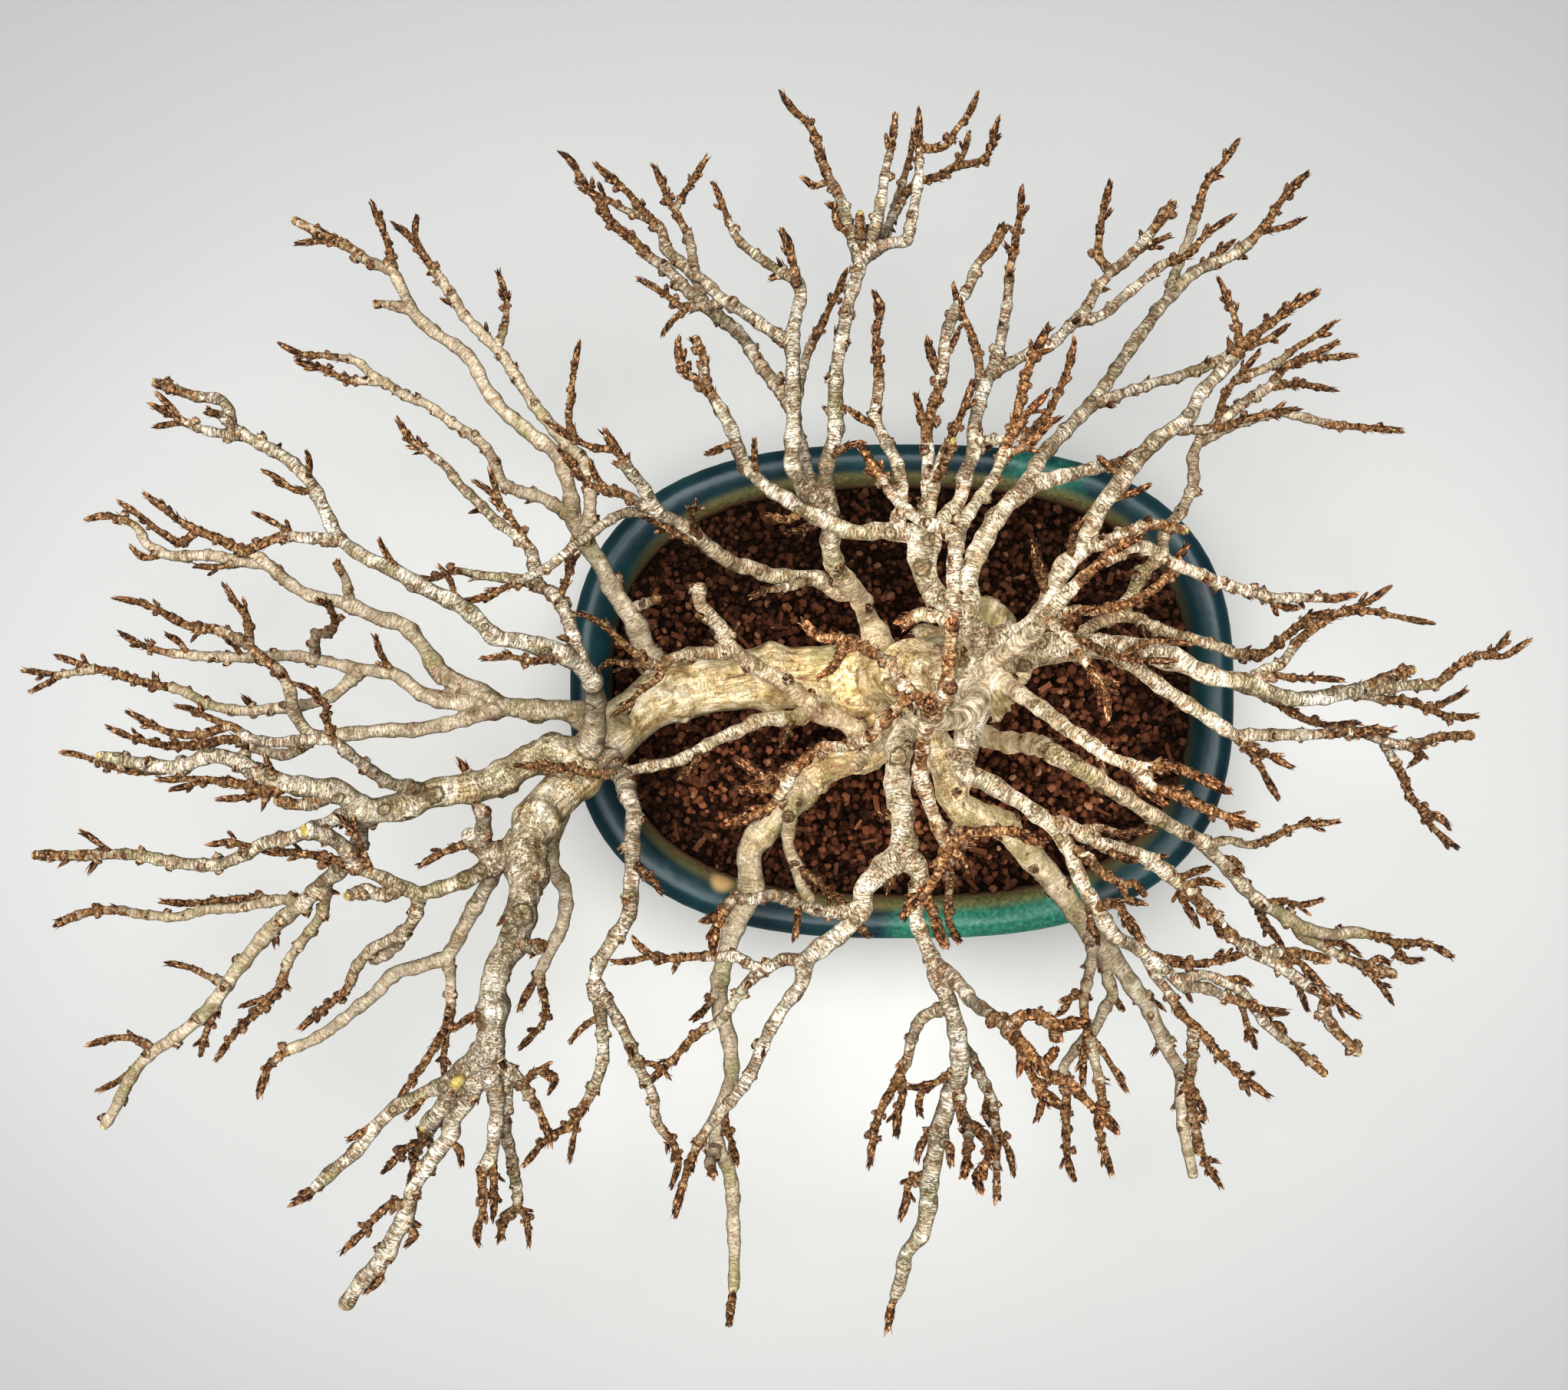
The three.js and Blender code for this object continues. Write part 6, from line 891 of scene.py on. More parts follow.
def circle(sides):
    turn = np.arange(sides) / sides * 2 * math.pi
    return np.cos(turn), np.sin(turn)


def add_tube(heap, strand, places, radii, sides, **values):
    """Sweeps a closed skin along a strand. Radii have a row for each place, values one for each point."""
    centre, _, _, side, over = strand.at(places)
    cos, sin = circle(sides)
    out = side[:, None, :] * cos[None, :, None] + over[:, None, :] * sin[None, :, None]
    points = centre[:, None, :] + out * radii[..., None]
    quads, tris = tube_faces(len(places), sides)
    heap.add(np.vstack([points.reshape(-1, 3), centre[:1], centre[-1:]]), quads, tris, **values)


# Small shapes, each modelled once
def template(obj):
    """Takes the points and faces of a small modelled shape and removes its object."""
    mesh = obj.data
    points = np.array([v.co for v in mesh.vertices])
    quads = np.array([list(f.vertices) for f in mesh.polygons if len(f.vertices) == 4]).reshape(-1, 4)
    tris = np.array([list(f.vertices) for f in mesh.polygons if len(f.vertices) == 3]).reshape(-1, 3)
    bpy.data.objects.remove(obj)
    bpy.data.meshes.remove(mesh)
    return points, quads, tris


def select_level(obj, low, high):
    """Selects the points between two heights, in edit mode."""
    bpy.ops.mesh.select_all(action="DESELECT")
    bpy.ops.object.mode_set(mode="OBJECT")
    for v in obj.data.vertices:
        v.select = low <= v.co.z <= high
    bpy.ops.object.mode_set(mode="EDIT")


def select_faces(obj, wanted):
    """Selects the faces that a test picks out, in edit mode."""
    bpy.ops.mesh.select_all(action="DESELECT")
    bpy.ops.object.mode_set(mode="OBJECT")
    for face in obj.data.polygons:
        face.select = wanted(face)
    bpy.ops.object.mode_set(mode="EDIT")
    bpy.ops.mesh.select_mode(type="FACE")


def slice_shape(spots, way):
    """Cuts the whole shape through at each spot, in edit mode."""
    for spot in spots:
        bpy.ops.mesh.select_all(action="SELECT")
        bpy.ops.mesh.bisect(plane_co=spot, plane_no=way)


def widen_level(obj, height, widen, deepen):
    """Widens and deepens the points at one height, and leaves them selected, in edit mode."""
    select_level(obj, height - 0.05, height + 0.05)
    bpy.ops.transform.resize(value=(widen, deepen, 1), center_override=(0, 0, height))


def poke_ends(obj):
    """Closes the flat ends of an upright shape on a point of their own, in edit mode."""
    select_faces(obj, lambda face: abs(face.normal.z) > 0.9)
    bpy.ops.mesh.poke()


def model_scale(lean):
    """One bud scale: a pointed husk of unit length, keeled outside (+Y), its tip bent by lean."""
    bpy.ops.object.select_all(action="DESELECT")
    bpy.ops.mesh.primitive_cone_add(vertices=4, radius1=0.5, radius2=0, depth=1, location=(0, 0, 0.5))
    obj = bpy.context.object
    bpy.ops.object.transform_apply(location=True)
    bpy.ops.object.mode_set(mode="EDIT")
    slice_shape([(0, 0, height) for height in (0.38, 0.74)], (0, 0, 1))
    for height, widen, bend in ((0.0, 0.8, 0.0), (0.38, 1.55, 0.14), (0.74, 2.1, 0.15), (1.0, 1, lean)):
        widen_level(obj, height, widen, widen * 0.55)
        bpy.ops.transform.translate(value=(0, bend, 0))
    bpy.ops.object.mode_set(mode="OBJECT")
    return template(obj)


def model_knob():
    """The short ringed stub that a side bud sits on, of unit height and width."""
    bpy.ops.object.select_all(action="DESELECT")
    bpy.ops.mesh.primitive_cylinder_add(vertices=7, radius=0.5, depth=1, location=(0, 0, 0.5))
    obj = bpy.context.object
    bpy.ops.object.transform_apply(location=True)
    bpy.ops.object.mode_set(mode="EDIT")
    slice_shape([(0, 0, height) for height in (0.3, 0.42, 0.62, 0.74)], (0, 0, 1))
    for height, widen in ((0.0, 1.15), (0.3, 1.0), (0.42, 1.14), (0.62, 0.84), (0.74, 0.98), (1.0, 0.6)):
        widen_level(obj, height, widen, widen)
    poke_ends(obj)
    bpy.ops.object.mode_set(mode="OBJECT")
    return template(obj)


def scatter(heap, shape, places, ahead, out, sizes, **values):
    """Copies a small shape to many places. Its +Z points ahead, and its +Y leans out."""
    points, quads, tris = shape
    ahead = unit(ahead)
    side = unit(np.cross(out, ahead))
    out = np.cross(ahead, side)
    local = points[None] * sizes[:, None, :]
    world = places[:, None, :] + (
        local[..., :1] * side[:, None] + local[..., 1:2] * out[:, None] + local[..., 2:] * ahead[:, None]
    )
    shift = (np.arange(len(places)) * len(points))[:, None, None]
    per_point = {key: np.repeat(value, len(points)) for key, value in values.items()}
    per_point["rise"] = np.tile(points[:, 2], len(places))
    heap.add(
        world.reshape(-1, 3),
        (quads[None] + shift).reshape(-1, 4) if len(quads) else (),
        (tris[None] + shift).reshape(-1, 3) if len(tris) else (),
        **per_point,
    )


SCALE_SHUT = model_scale(-0.12)
SCALE_OPEN = model_scale(0.42)
KNOB = model_knob()


# Growth
def youth(strand, places, brown):
    """From 0 on old grey wood to 1 on the brown growth of the last seasons."""
    left = strand.length - places
    if strand.end == "bud":
        return 1 - smooth(brown - 7, brown + 9, left)
    if strand.end == "knob":
        return 0.8 * (1 - smooth(1.0, 4.5, left))
    slim = 1 - smooth(1.3, 1.8, strand.radius[-1])
    return 0.65 * slim * (1 - smooth(0.4 * brown, brown + 4, left))


def bud_nodes(strand):
    """Where the pairs of side buds sit along a strand: close on twigs, wide apart on thick wood."""
    rng = np.random.default_rng(NODE_SEED + strand.number)
    places = [strand.carrier_radius + rng.uniform(1.0, 3.5)]
    while places[-1] < strand.length:
        girth = np.interp(places[-1], strand.along, strand.radius)
        places.append(places[-1] + (3.2 + 2.6 * max(girth - 1.1, 0)) * rng.uniform(0.6, 1.8))
    return np.array(places[:-1])


def slim_end(strand, places):
    """How much a shoot narrows towards its end bud. High shoots stay stout."""
    if strand.end != "bud":
        return np.ones_like(places)
    least = 0.74 + 0.22 * smooth(*HIGH_GROWTH, strand.heights[-1])
    return least + (1 - least) * smooth(0, 15, strand.length - BUD_LENGTH - places)


def bud_length(strand):
    return min(BUD_LENGTH, 0.55 * strand.length) if strand.end == "bud" else 0.0


def bare_radius(strand, places):
    """Radius with the collar where the strand leaves what carries it."""
    radii = np.interp(places, strand.along, strand.radius)
    apart = (places[:, None] - bud_nodes(strand)) / (0.55 + 0.35 * radii[:, None])
    swell = np.exp(-apart * apart).sum(1)
    wobble = 0.07 * lumps_along(places / 4.3, strand.number + 50)
    radii = radii * (NECK + NODE_SWELL * np.minimum(swell, 1.2) + wobble)
    if strand.carrier_radius:
        out = np.maximum(places - 0.7 * strand.carrier_radius, 0) / (0.8 * strand.carrier_radius + 0.5)
        radii = radii * (1 + COLLAR * np.exp(-out * out))
    return radii


def thick_end(strand):
    """How far along a strand the thick, fused wood goes, or 0 where it is all twig."""
    if strand.radius[0] < THICK_START:
        return 0.0
    thick = strand.radius > THICK_END
    last = len(thick) if thick.all() else np.argmin(thick)
    reach = strand.along[last - 1]
    return reach if reach > 4 else 0.0


def add_twig(twigs, husks, stubs, strand, first):
    """The twig from a place along its strand to its end: ringed skin, side buds and end bud."""
    rng = np.random.default_rng(TWIG_SEED + strand.number)
    bud = bud_length(strand)
    brown = rng.uniform(9, 34)
    last = strand.length - bud
    rings = [first]
    while rings[-1] < strand.length + 3:
        young = youth(strand, np.array(rings[-1:]), brown)[0]
        rings.append(rings[-1] + (1.15 - 0.4 * young) * rng.uniform(0.55, 1.5))
    rings = np.array(rings)
    if bud:
        spots = np.concatenate([np.arange(first, last, RING_STEP), last + np.array(BUD_SHARES) * bud])
    else:
        tail = strand.length + np.array(BLUNT_SHARES) * strand.radius[-1]
        spots = np.concatenate([np.arange(first, strand.length - 0.1, RING_STEP), tail])
    young = youth(strand, spots, brown)
    base = bare_radius(strand, np.minimum(spots, strand.length))
    if bud:
        shape = np.interp(spots, last + np.array(BUD_SHARES) * bud, BUD_SWELLS)
    else:
        shape = np.interp(spots, tail, BLUNT_SWELLS)
    if first > 0:
        shape = shape * np.interp(spots, (first, first + 2.5), (0.88, 1.0))
    sides = int(np.clip(round(2 * math.pi * base.max() / SIDE_WIDTH), *TWIG_SIDES))
    patch = smooth(-0.3, 0.5, lumps_along(spots / 6.5, strand.number + 90))
    depth = base * (0.035 + 0.075 * patch + 0.08 * young)
    depth = depth * np.interp(spots, (last - 0.5, last), (1, 0.3 if bud else 1))
    shape = shape * (1 - 0.1 * young) * slim_end(strand, spots)
    burr = np.exp(-(((spots - strand.carrier_radius) / 3.0) ** 2))
    add_ringed_tube(twigs, strand, spots, base * shape, sides, depth, rings,
                    age=1 - young, girth=base, burr=burr, knot=0 * base + NO_KNOT)
    start = max(first, strand.carrier_radius) + 0.6
    near = (rings > start) & (rings < last)
    steps = np.column_stack([rings[:-1], np.diff(rings), youth(strand, rings[:-1], brown)])[near[:-1]]
    add_husks(husks, strand, steps, last, bud, rng)
    add_side_buds(husks, stubs, strand, start, last - 1.5, brown, rng)


def add_ringed_tube(heap, strand, places, radii, sides, depth, rings, **values):
    """A tube whose skin steps in at each ring scar. The scars wander and fade as they go round."""
    cos, sin = circle(sides)
    grain = np.empty((len(places), sides, 3))
    grain[..., 0] = cos * radii[:, None]
    grain[..., 1] = sin * radii[:, None]
    grain[..., 2] = places[:, None] + STRAND_SHIFT * strand.number
    round_about = np.empty_like(grain)
    round_about[..., 0] = cos * 0.9
    round_about[..., 1] = sin * 0.9
    round_about[..., 2] = grain[..., 2] * 0.45
    count = np.interp(places, rings, np.arange(len(rings)))[:, None] + 0.55 * lumps(round_about, 11)
    whole = np.floor(count).astype(np.int64)
    part = count - whole
    strength = 0.75 + 0.55 * lattice(whole, whole * 0 + strand.number, whole * 0, 12)
    strength = strength * smooth(-0.5, 0.25, lumps(round_about * 1.7, 13))
    step = np.where(part < 0.7, part / 0.7, (1 - part) / 0.3)
    rough = radii[:, None] + depth[:, None] * strength * (1.6 * step - 1.0)
    knobbly = 0.07 + 0.12 * values["burr"]
    rough = rough + (knobbly * radii)[:, None] * lumps(grain * RIPPLE_PITCH, 3)
    scar = np.clip(strength * smooth(0.62, 0.9, part), 0, 1)
    ends = [[0, 0, grain[0, 0, 2]], [0, 0, grain[-1, 0, 2]]]
    per_point = dict(grain=np.vstack([grain.reshape(-1, 3), ends]), scar=np.append(scar.ravel(), (0.0, 0.0)))
    for key, value in values.items():
        per_point[key] = np.concatenate([np.repeat(value, sides), [value[0], value[-1]]])
    add_tube(heap, strand, places, rough, sides, **per_point)


def around(strand, places, turns):
    """Centre, radius, way ahead and way out at places and angles."""
    centre, radius, ahead, side, over = strand.at(places)
    out = side * np.cos(turns)[:, None] + over * np.sin(turns)[:, None]
    return centre, radius, ahead, out


def add_husks(husks, strand, rings, last, bud, rng):
    """The scales of the end bud, and the frayed scales left on the rings of young growth."""
    if bud:
        each = BUD_ROW_SCALES
        rows = np.repeat(np.linspace(-0.05, 0.76, BUD_ROWS), each)
        turns = np.tile(np.arange(each) * 2 * math.pi / each, BUD_ROWS)
        turns = turns + np.repeat(np.arange(BUD_ROWS) * 1.1, each)
        turns = turns + rng.normal(0, 0.25, len(turns)) + rng.uniform(0, FULL_TURN)
        places = last + rows * bud
        centre, _, ahead, out = around(strand, places, turns)
        stout = 1 + 0.3 * smooth(*HIGH_GROWTH, strand.heights[-1])
        radius = np.full(len(rows), 0.8 * stout * strand.radius[-1])
        apex = strand.at(np.array([strand.length]))[0][0]
        spots = centre + out * (radius * np.interp(rows, BUD_SHARES, BUD_SWELLS) * 0.85)[:, None]
        lean = unit(apex + out * (radius * rng.uniform(0.1, 1.2, len(rows)))[:, None] - spots)
        lengths = bud * rng.uniform(0.2, 0.4, len(rows))
        sizes = np.column_stack([radius * rng.uniform(0.65, 1.05, len(rows)), radius * 0.3, lengths])
        scatter(husks, SCALE_SHUT, spots, lean, out, sizes, tone=rng.uniform(0, 1, len(rows)))
        add_cluster(husks, strand, last, rng)
    chance = 0.1 + 0.5 * smooth(0.2, 0.9, rings[:, 2])
    clumps = smooth(-0.35, 0.25, lumps_along(rings[:, 0] / 3.2, strand.number + 400))
    ragged = rings[(rings[:, 2] > 0.12) & (rng.uniform(0, 1, len(rings)) < chance * (0.25 + 0.75 * clumps))]
    if not len(ragged):
        return
    places = np.repeat(ragged[:, 0], RING_SCALES)
    turns = np.repeat(np.arange(len(ragged)) * math.pi / 4, RING_SCALES)
    turns += np.tile(np.arange(RING_SCALES) * math.pi / 2, len(ragged))
    turns = turns + rng.normal(0, 0.4, len(turns))
    centre, radius, ahead, out = around(strand, places, turns)
    radius = radius * slim_end(strand, places)
    splay = rng.uniform(0.0, 0.55, len(places))[:, None]
    lengths = rng.uniform(0.7, 1.9, len(places))
    sizes = np.column_stack([radius * rng.uniform(0.6, 1.1, len(places)), radius * 0.28, lengths])
    scatter(husks, SCALE_OPEN, centre + out * (radius * 0.75)[:, None], ahead + out * splay, out, sizes,
            tone=rng.uniform(0, 1, len(places)))


def add_cluster(husks, strand, last, rng):
    """The pointed side buds that crowd round an end bud, each of overlapping scales."""
    turn = rng.uniform(0, math.pi)
    pairs = ((rng.uniform(0.2, 1.4), turn, 0.55), (rng.uniform(2.6, 4.4), turn + math.pi / 2, 0.35))
    sides = (0, math.pi)
    buds = [(last - back, at + half) for back, at, kept in pairs for half in sides if rng.uniform() < kept]
    if not buds or last < 5:
        return
    places, turns = np.array(buds).T
    count, each = len(buds), CLUSTER_SCALES
    centre, radius, ahead, out = around(strand, places, turns)
    lean = unit(ahead + out * rng.uniform(0.3, 0.8, count)[:, None])
    roots = centre + out * (0.55 * radius)[:, None]
    lengths, half = rng.uniform(2.0, 3.8, count), rng.uniform(0.55, 0.8, count)
    across = unit(np.cross(lean, out))
    over = np.cross(lean, across)
    lean, across, over, roots = (values.repeat(each, 0) for values in (lean, across, over, roots))
    lengths, half = lengths.repeat(each), half.repeat(each)
    rise = np.tile(np.repeat((0.0, 0.28, 0.54), 3), count) * lengths
    spin = np.tile(np.arange(each) * 2.4, count)
    apart = across * np.cos(spin)[:, None] + over * np.sin(spin)[:, None]
    spots = roots + lean * rise[:, None] + apart * (0.5 * half)[:, None]
    tips = roots + lean * lengths[:, None] + apart * (half * rng.uniform(0.0, 0.6, count * each))[:, None]
    sizes = np.column_stack([half * rng.uniform(1.0, 1.5, count * each), 0.5 * half, 0.45 * lengths])
    scatter(husks, SCALE_SHUT, spots, tips - spots, apart, sizes, tone=rng.uniform(0.1, 1, count * each))


def add_side_buds(husks, stubs, strand, first, last, brown, rng):
    """Opposite side buds on ringed stubs, each pair turned a quarter from the last."""
    places, turns = [], []
    turn = rng.uniform(0, FULL_TURN)
    for place in bud_nodes(strand):
        turn += math.pi / 2
        if not first < place < last:
            continue
        kept = 0.6 + 0.2 * youth(strand, place, brown)
        for half in (0, math.pi):
            if rng.uniform() < kept:
                places.append(place + rng.normal(0, 0.2))
                turns.append(turn + half + rng.normal(0, 0.3))
    if not places:
        return
    places, turns = np.array(places), np.array(turns)
    count = len(places)
    centre, radius, ahead, out = around(strand, places, turns)
    young = youth(strand, places, brown)
    lean = unit(out + ahead * rng.uniform(0.3, 1.4, count)[:, None])
    wide = np.clip(radius * rng.uniform(0.9, 1.7, count), 1.1, 3.0)
    tall = wide * rng.uniform(0.25, 0.85, count) * (0.7 + 0.3 * young)
    spots = centre + out * (radius * 0.7)[:, None]
    sizes = np.column_stack([wide, wide, tall])
    scatter(stubs, KNOB, spots, lean, ahead, sizes, tone=rng.uniform(0, 1, count), age=1 - young)
    each = STUB_SCALES
    grown = (0.8 + (rng.uniform(0, 1, count) < 0.14) * rng.uniform(0.7, 1.8, count)).repeat(each)
    across = unit(np.cross(lean, ahead))
    up = np.cross(lean, across)
    spin = np.tile(np.arange(each) * 2 * math.pi / each, count) + rng.uniform(0, FULL_TURN, count * each)
    apart = across.repeat(each, 0) * np.cos(spin)[:, None] + up.repeat(each, 0) * np.sin(spin)[:, None]
    husk = wide.repeat(each)
    tips = (spots + lean * (tall * 0.55)[:, None]).repeat(each, 0) + apart * (husk * 0.26)[:, None]
    splay = rng.uniform(-0.35, 0.15, count * each)[:, None]
    sizes = np.column_stack([
        husk * rng.uniform(0.42, 0.62, count * each),
        husk * rng.uniform(0.16, 0.26, count * each),
        grown * husk * rng.uniform(0.45, 0.75, count * each),
    ])
    scatter(husks, SCALE_SHUT, tips, lean.repeat(each, 0) + apart * splay, apart, sizes,
            tone=rng.uniform(0, 0.7, count * each))


def add_core(heap, strand):
    """A plain closed tube along the thick part of a strand, to be fused with its neighbours."""
    reach = thick_end(strand)
    places = np.linspace(0, reach, max(3, math.ceil(reach / CORE_STEP)))
    radii = bare_radius(strand, places)
    tail = reach + np.array((0.35, 0.55)) * radii[-1]
    places = np.concatenate([places, tail])
    radii = np.concatenate([radii, radii[-1] * np.array((0.8, 0.4))])
    add_tube(heap, strand, places, radii[:, None], CORE_SIDES)


def fuse_wood(name, members):
    """Fuses thick strands in one skin and gives it the relief of old bark."""
    heap = Heap()
    for strand in members:
        add_core(heap, strand)
    obj = new_object(name, heap.mesh(name))
    modify(obj, "REMESH", mode="VOXEL", voxel_size=VOXEL * MM)
    modify(obj, "SMOOTH", factor=0.5, iterations=6)
    mesh = obj.data
    count = len(mesh.vertices)
    flat = np.empty(count * 3)
    mesh.vertices.foreach_get("co", flat)
    points = (flat.reshape(-1, 3) - EYE_FOOT) / MM
    mesh.vertex_normals.foreach_get("vector", flat)
    normals = flat.reshape(-1, 3).copy()
    rows = np.concatenate([
        np.column_stack([s.axis, s.radius, s.along, np.full(len(s.along), s.number)])
        for s in members
    ])
    tree = KDTree(len(rows))
    for i, row in enumerate(rows):
        tree.insert(row[:3], i)
    tree.balance()
    nearest = np.empty(count, int)
    for i, point in enumerate(points):
        found = tree.find_n(point, 5)
        nearest[i] = min(found, key=lambda hit: hit[2] - rows[hit[1], 3])[1]
    frames = np.concatenate([np.column_stack([s.side, s.over, s.ahead]) for s in members])
    row, held = rows[nearest], frames[nearest]
    arm = points - row[:, :3]
    grain = np.column_stack([
        (arm * held[:, :3]).sum(1),
        (arm * held[:, 3:6]).sum(1),
        (arm * held[:, 6:]).sum(1) + row[:, 4] + STRAND_SHIFT * row[:, 5],
    ])
    girth = row[:, 3]
    scar, knot = np.zeros(count), np.full(count, NO_KNOT)
    forks = np.array([s.axis[0] for s in members])
    apart = np.sqrt(((points[:, None, :] - forks[None]) ** 2).sum(2) / (3.0 + 1.2 * girth[:, None]) ** 2)
    burr = np.exp(-((apart.min(1) / 1.1) ** 2))
    stout = smooth(3.2, 6.0, girth)
    lift = (0.2 - 0.09 * stout) * lumps(points / 3.4, 5)
    lift += (0.1 - 0.05 * stout + 0.3 * burr) * lumps(points / 1.5, 6)
    crease = 1 - smooth(0.0, 0.16, np.abs(lumps(grain * (0.16, 0.16, 0.95), 8)))
    furrow = 1 - smooth(0.0, 0.13, np.abs(lumps(grain * (0.4, 0.4, 0.12), 9)))
    furrow = furrow * smooth(-0.25, 0.2, lumps(points / 9.0, 14))
    crease = crease * smooth(-0.2, 0.3, lumps(points / 6.0, 10))
    crease = crease * (1 - 0.8 * stout)
    pore = burr * (1 - smooth(0.0, 0.25, np.abs(lumps(points / 1.7, 21)))) * (1 - smooth(8.0, 13.0, girth))
    lift -= 0.09 * crease + 0.11 * furrow * smooth(2.2, 5.0, girth) + 0.16 * pore
    lift = lift * np.clip(girth / 3.0, 0.5, 1.6) * (1 - 0.5 * smooth(8.0, 13.0, girth))
    scar += np.maximum(0.5 * crease, 0.8 * furrow * smooth(2.2, 5.0, girth)) + 0.9 * pore
    for strand in members:
        add_knots(strand, grain, lift, scar, knot, row[:, 5])
    points = points + normals * lift[:, None]
    mesh.vertices.foreach_set("co", to_row(points).ravel())
    scar = np.clip(scar, 0, 1)
    write_values(mesh, dict(grain=grain, age=np.ones(count), scar=scar, girth=girth, burr=burr, knot=knot))
    mesh.polygons.foreach_set("use_smooth", [True] * len(mesh.polygons))
    mesh.update()
    return obj


def add_knots(strand, grain, lift, scar, knot, owner):
    """Round scars where shoots were cut off or fell: a raised rim round a dark, sunken eye."""
    rng = np.random.default_rng(KNOT_SEED + strand.number)
    reach = thick_end(strand)
    place = strand.carrier_radius + rng.uniform(1, 6)
    mine = np.flatnonzero(owner == strand.number)
    while place < reach:
        radius = float(np.interp(place, strand.along, strand.radius))
        turn = rng.uniform(0, 2 * math.pi)
        size = float(np.clip(radius * rng.uniform(0.28, 0.5), 0.6, 1.7))
        height = place + STRAND_SHIFT * strand.number
        spot = np.array([math.cos(turn) * radius, math.sin(turn) * radius, height])
        apart = np.linalg.norm(grain[mine] - spot, axis=1) / size
        rim = np.exp(-(((apart - 1.0) / 0.38) ** 2))
        skirt = np.exp(-(((apart - 1.9) / 0.4) ** 2))
        eye = np.exp(-((apart / 0.6) ** 2))
        lift[mine] += size * (0.42 * rim + 0.14 * skirt - 0.25 * eye)
        scar[mine] += 0.9 * eye
        knot[mine] = np.minimum(knot[mine], apart)
        place += rng.uniform(4, 10)


# Materials
class Finish:
    """One material, with short ways to add its nodes."""

    def __init__(self, name, **shader):
        self.material = bpy.data.materials.new(name)
        self.material.use_nodes = True
        self.nodes = self.material.node_tree.nodes
        self.shader = self.nodes["Principled BSDF"]
        self.set(self.shader, shader)

    def set(self, node, values):
        for key, value in values.items():
            socket = node.inputs[key if isinstance(key, int) else key.replace("_", " ")]
            if isinstance(value, bpy.types.NodeSocket):
                self.material.node_tree.links.new(value, socket)
            else:
                socket.default_value = value

    def node(self, kind, values=None, **settings):
        node = self.nodes.new(kind)
        for key, value in settings.items():
            setattr(node, key, value)
        self.set(node, values or {})
        return node

    def value(self, name):
        return self.node("ShaderNodeAttribute", attribute_name=name).outputs["Fac"]

    def vector(self, name):
        return self.node("ShaderNodeAttribute", attribute_name=name).outputs["Vector"]

    def place(self):
        return self.node("ShaderNodeTexCoord").outputs["Object"]

    def pot_plan(self):
        """Place from the middle of the pot in millimetres, and the share of the way out to the rim."""
        middle = (LOW_CORNER + HIGH_CORNER) / 2
        spot = self.scaled(self.place(), (METRE,) * 3, (-middle.x * METRE, -middle.y * METRE, 0))
        wide = self.scaled(spot, (2 / POT_LENGTH, 2 / POT_WIDTH, 0))
        sides = [self.math("ABSOLUTE", side) for side in self.split(wide)[:2]]
        powers = [self.math("POWER", side, OVAL_POWER) for side in sides]
        return spot, self.math("POWER", self.math("ADD", *powers), 1 / OVAL_POWER)

    def split(self, vector):
        return self.node("ShaderNodeSeparateXYZ", {0: vector}).outputs

    def height(self):
        return self.split(self.place())[2]

    def high(self):
        """From 0 low in the tree to 1 up in the crown, where young growth is lighter and redder."""
        return self.fade(self.height(), HIGH_GROWTH[0] * MM, HIGH_GROWTH[1] * MM)

    def upward(self):
        """From -1 on a face that looks down to 1 on one that looks up."""
        return self.split(self.node("ShaderNodeNewGeometry").outputs["Normal"])[2]

    def scaled(self, vector, scale, location=(0, 0, 0)):
        mapping = self.node("ShaderNodeMapping", {0: vector})
        mapping.inputs["Scale"].default_value = scale
        mapping.inputs["Location"].default_value = location
        return mapping.outputs[0]

    def noise(self, vector, scale, detail=2.0, rough=0.5):
        look = {"Vector": vector, "Scale": scale, "Detail": detail, "Roughness": rough}
        return self.node("ShaderNodeTexNoise", look).outputs["Fac"]

    def away(self, vector, point):
        node = self.node("ShaderNodeVectorMath", {0: vector, 1: point}, operation="DISTANCE")
        return node.outputs["Value"]

    def chain(self, operation, first, *others):
        for other in others:
            first = self.math(operation, first, other)
        return first

    def times(self, *values):
        return self.chain("MULTIPLY", *values)

    def most(self, *values):
        return self.chain("MAXIMUM", *values)

    def gap(self, value, middle):
        return self.math("ABSOLUTE", self.math("SUBTRACT", value, middle))

    def cells(self, vector, scale):
        return self.node("ShaderNodeTexVoronoi", {"Vector": vector, "Scale": scale}).outputs["Distance"]

    def math(self, operation, a, b=0.0):
        return self.node("ShaderNodeMath", {0: a, 1: b}, operation=operation).outputs[0]

    def fade(self, value, low, high, start=0.0, stop=1.0):
        """From start to stop as the value goes from low to high."""
        node = self.node("ShaderNodeMapRange", {0: value, 1: low, 2: high, 3: start, 4: stop})
        node.interpolation_type = "SMOOTHSTEP"
        return node.outputs[0]

    def ramp(self, value, *stops):
        node = self.node("ShaderNodeValToRGB", {0: value})
        elements = node.color_ramp.elements
        while len(elements) < len(stops):
            elements.new(0.5)
        for element, (place, colour) in zip(elements, stops):
            element.position = place
            element.color = (*colour, 1)
        return node.outputs[0]

    def mix(self, share, a, b, blend="MIX"):
        node = self.node("ShaderNodeMix", data_type="RGBA", blend_type=blend)
        a, b = [(*c, 1) if isinstance(c, tuple) else c for c in (a, b)]
        self.set(node, {0: share, 6: a, 7: b})
        return node.outputs[2]

    def bump(self, height, strength, distance, normal=None):
        node = self.node("ShaderNodeBump", {"Height": height, "Strength": strength, "Distance": distance})
        if normal:
            self.set(node, {"Normal": normal})
        return node.outputs[0]

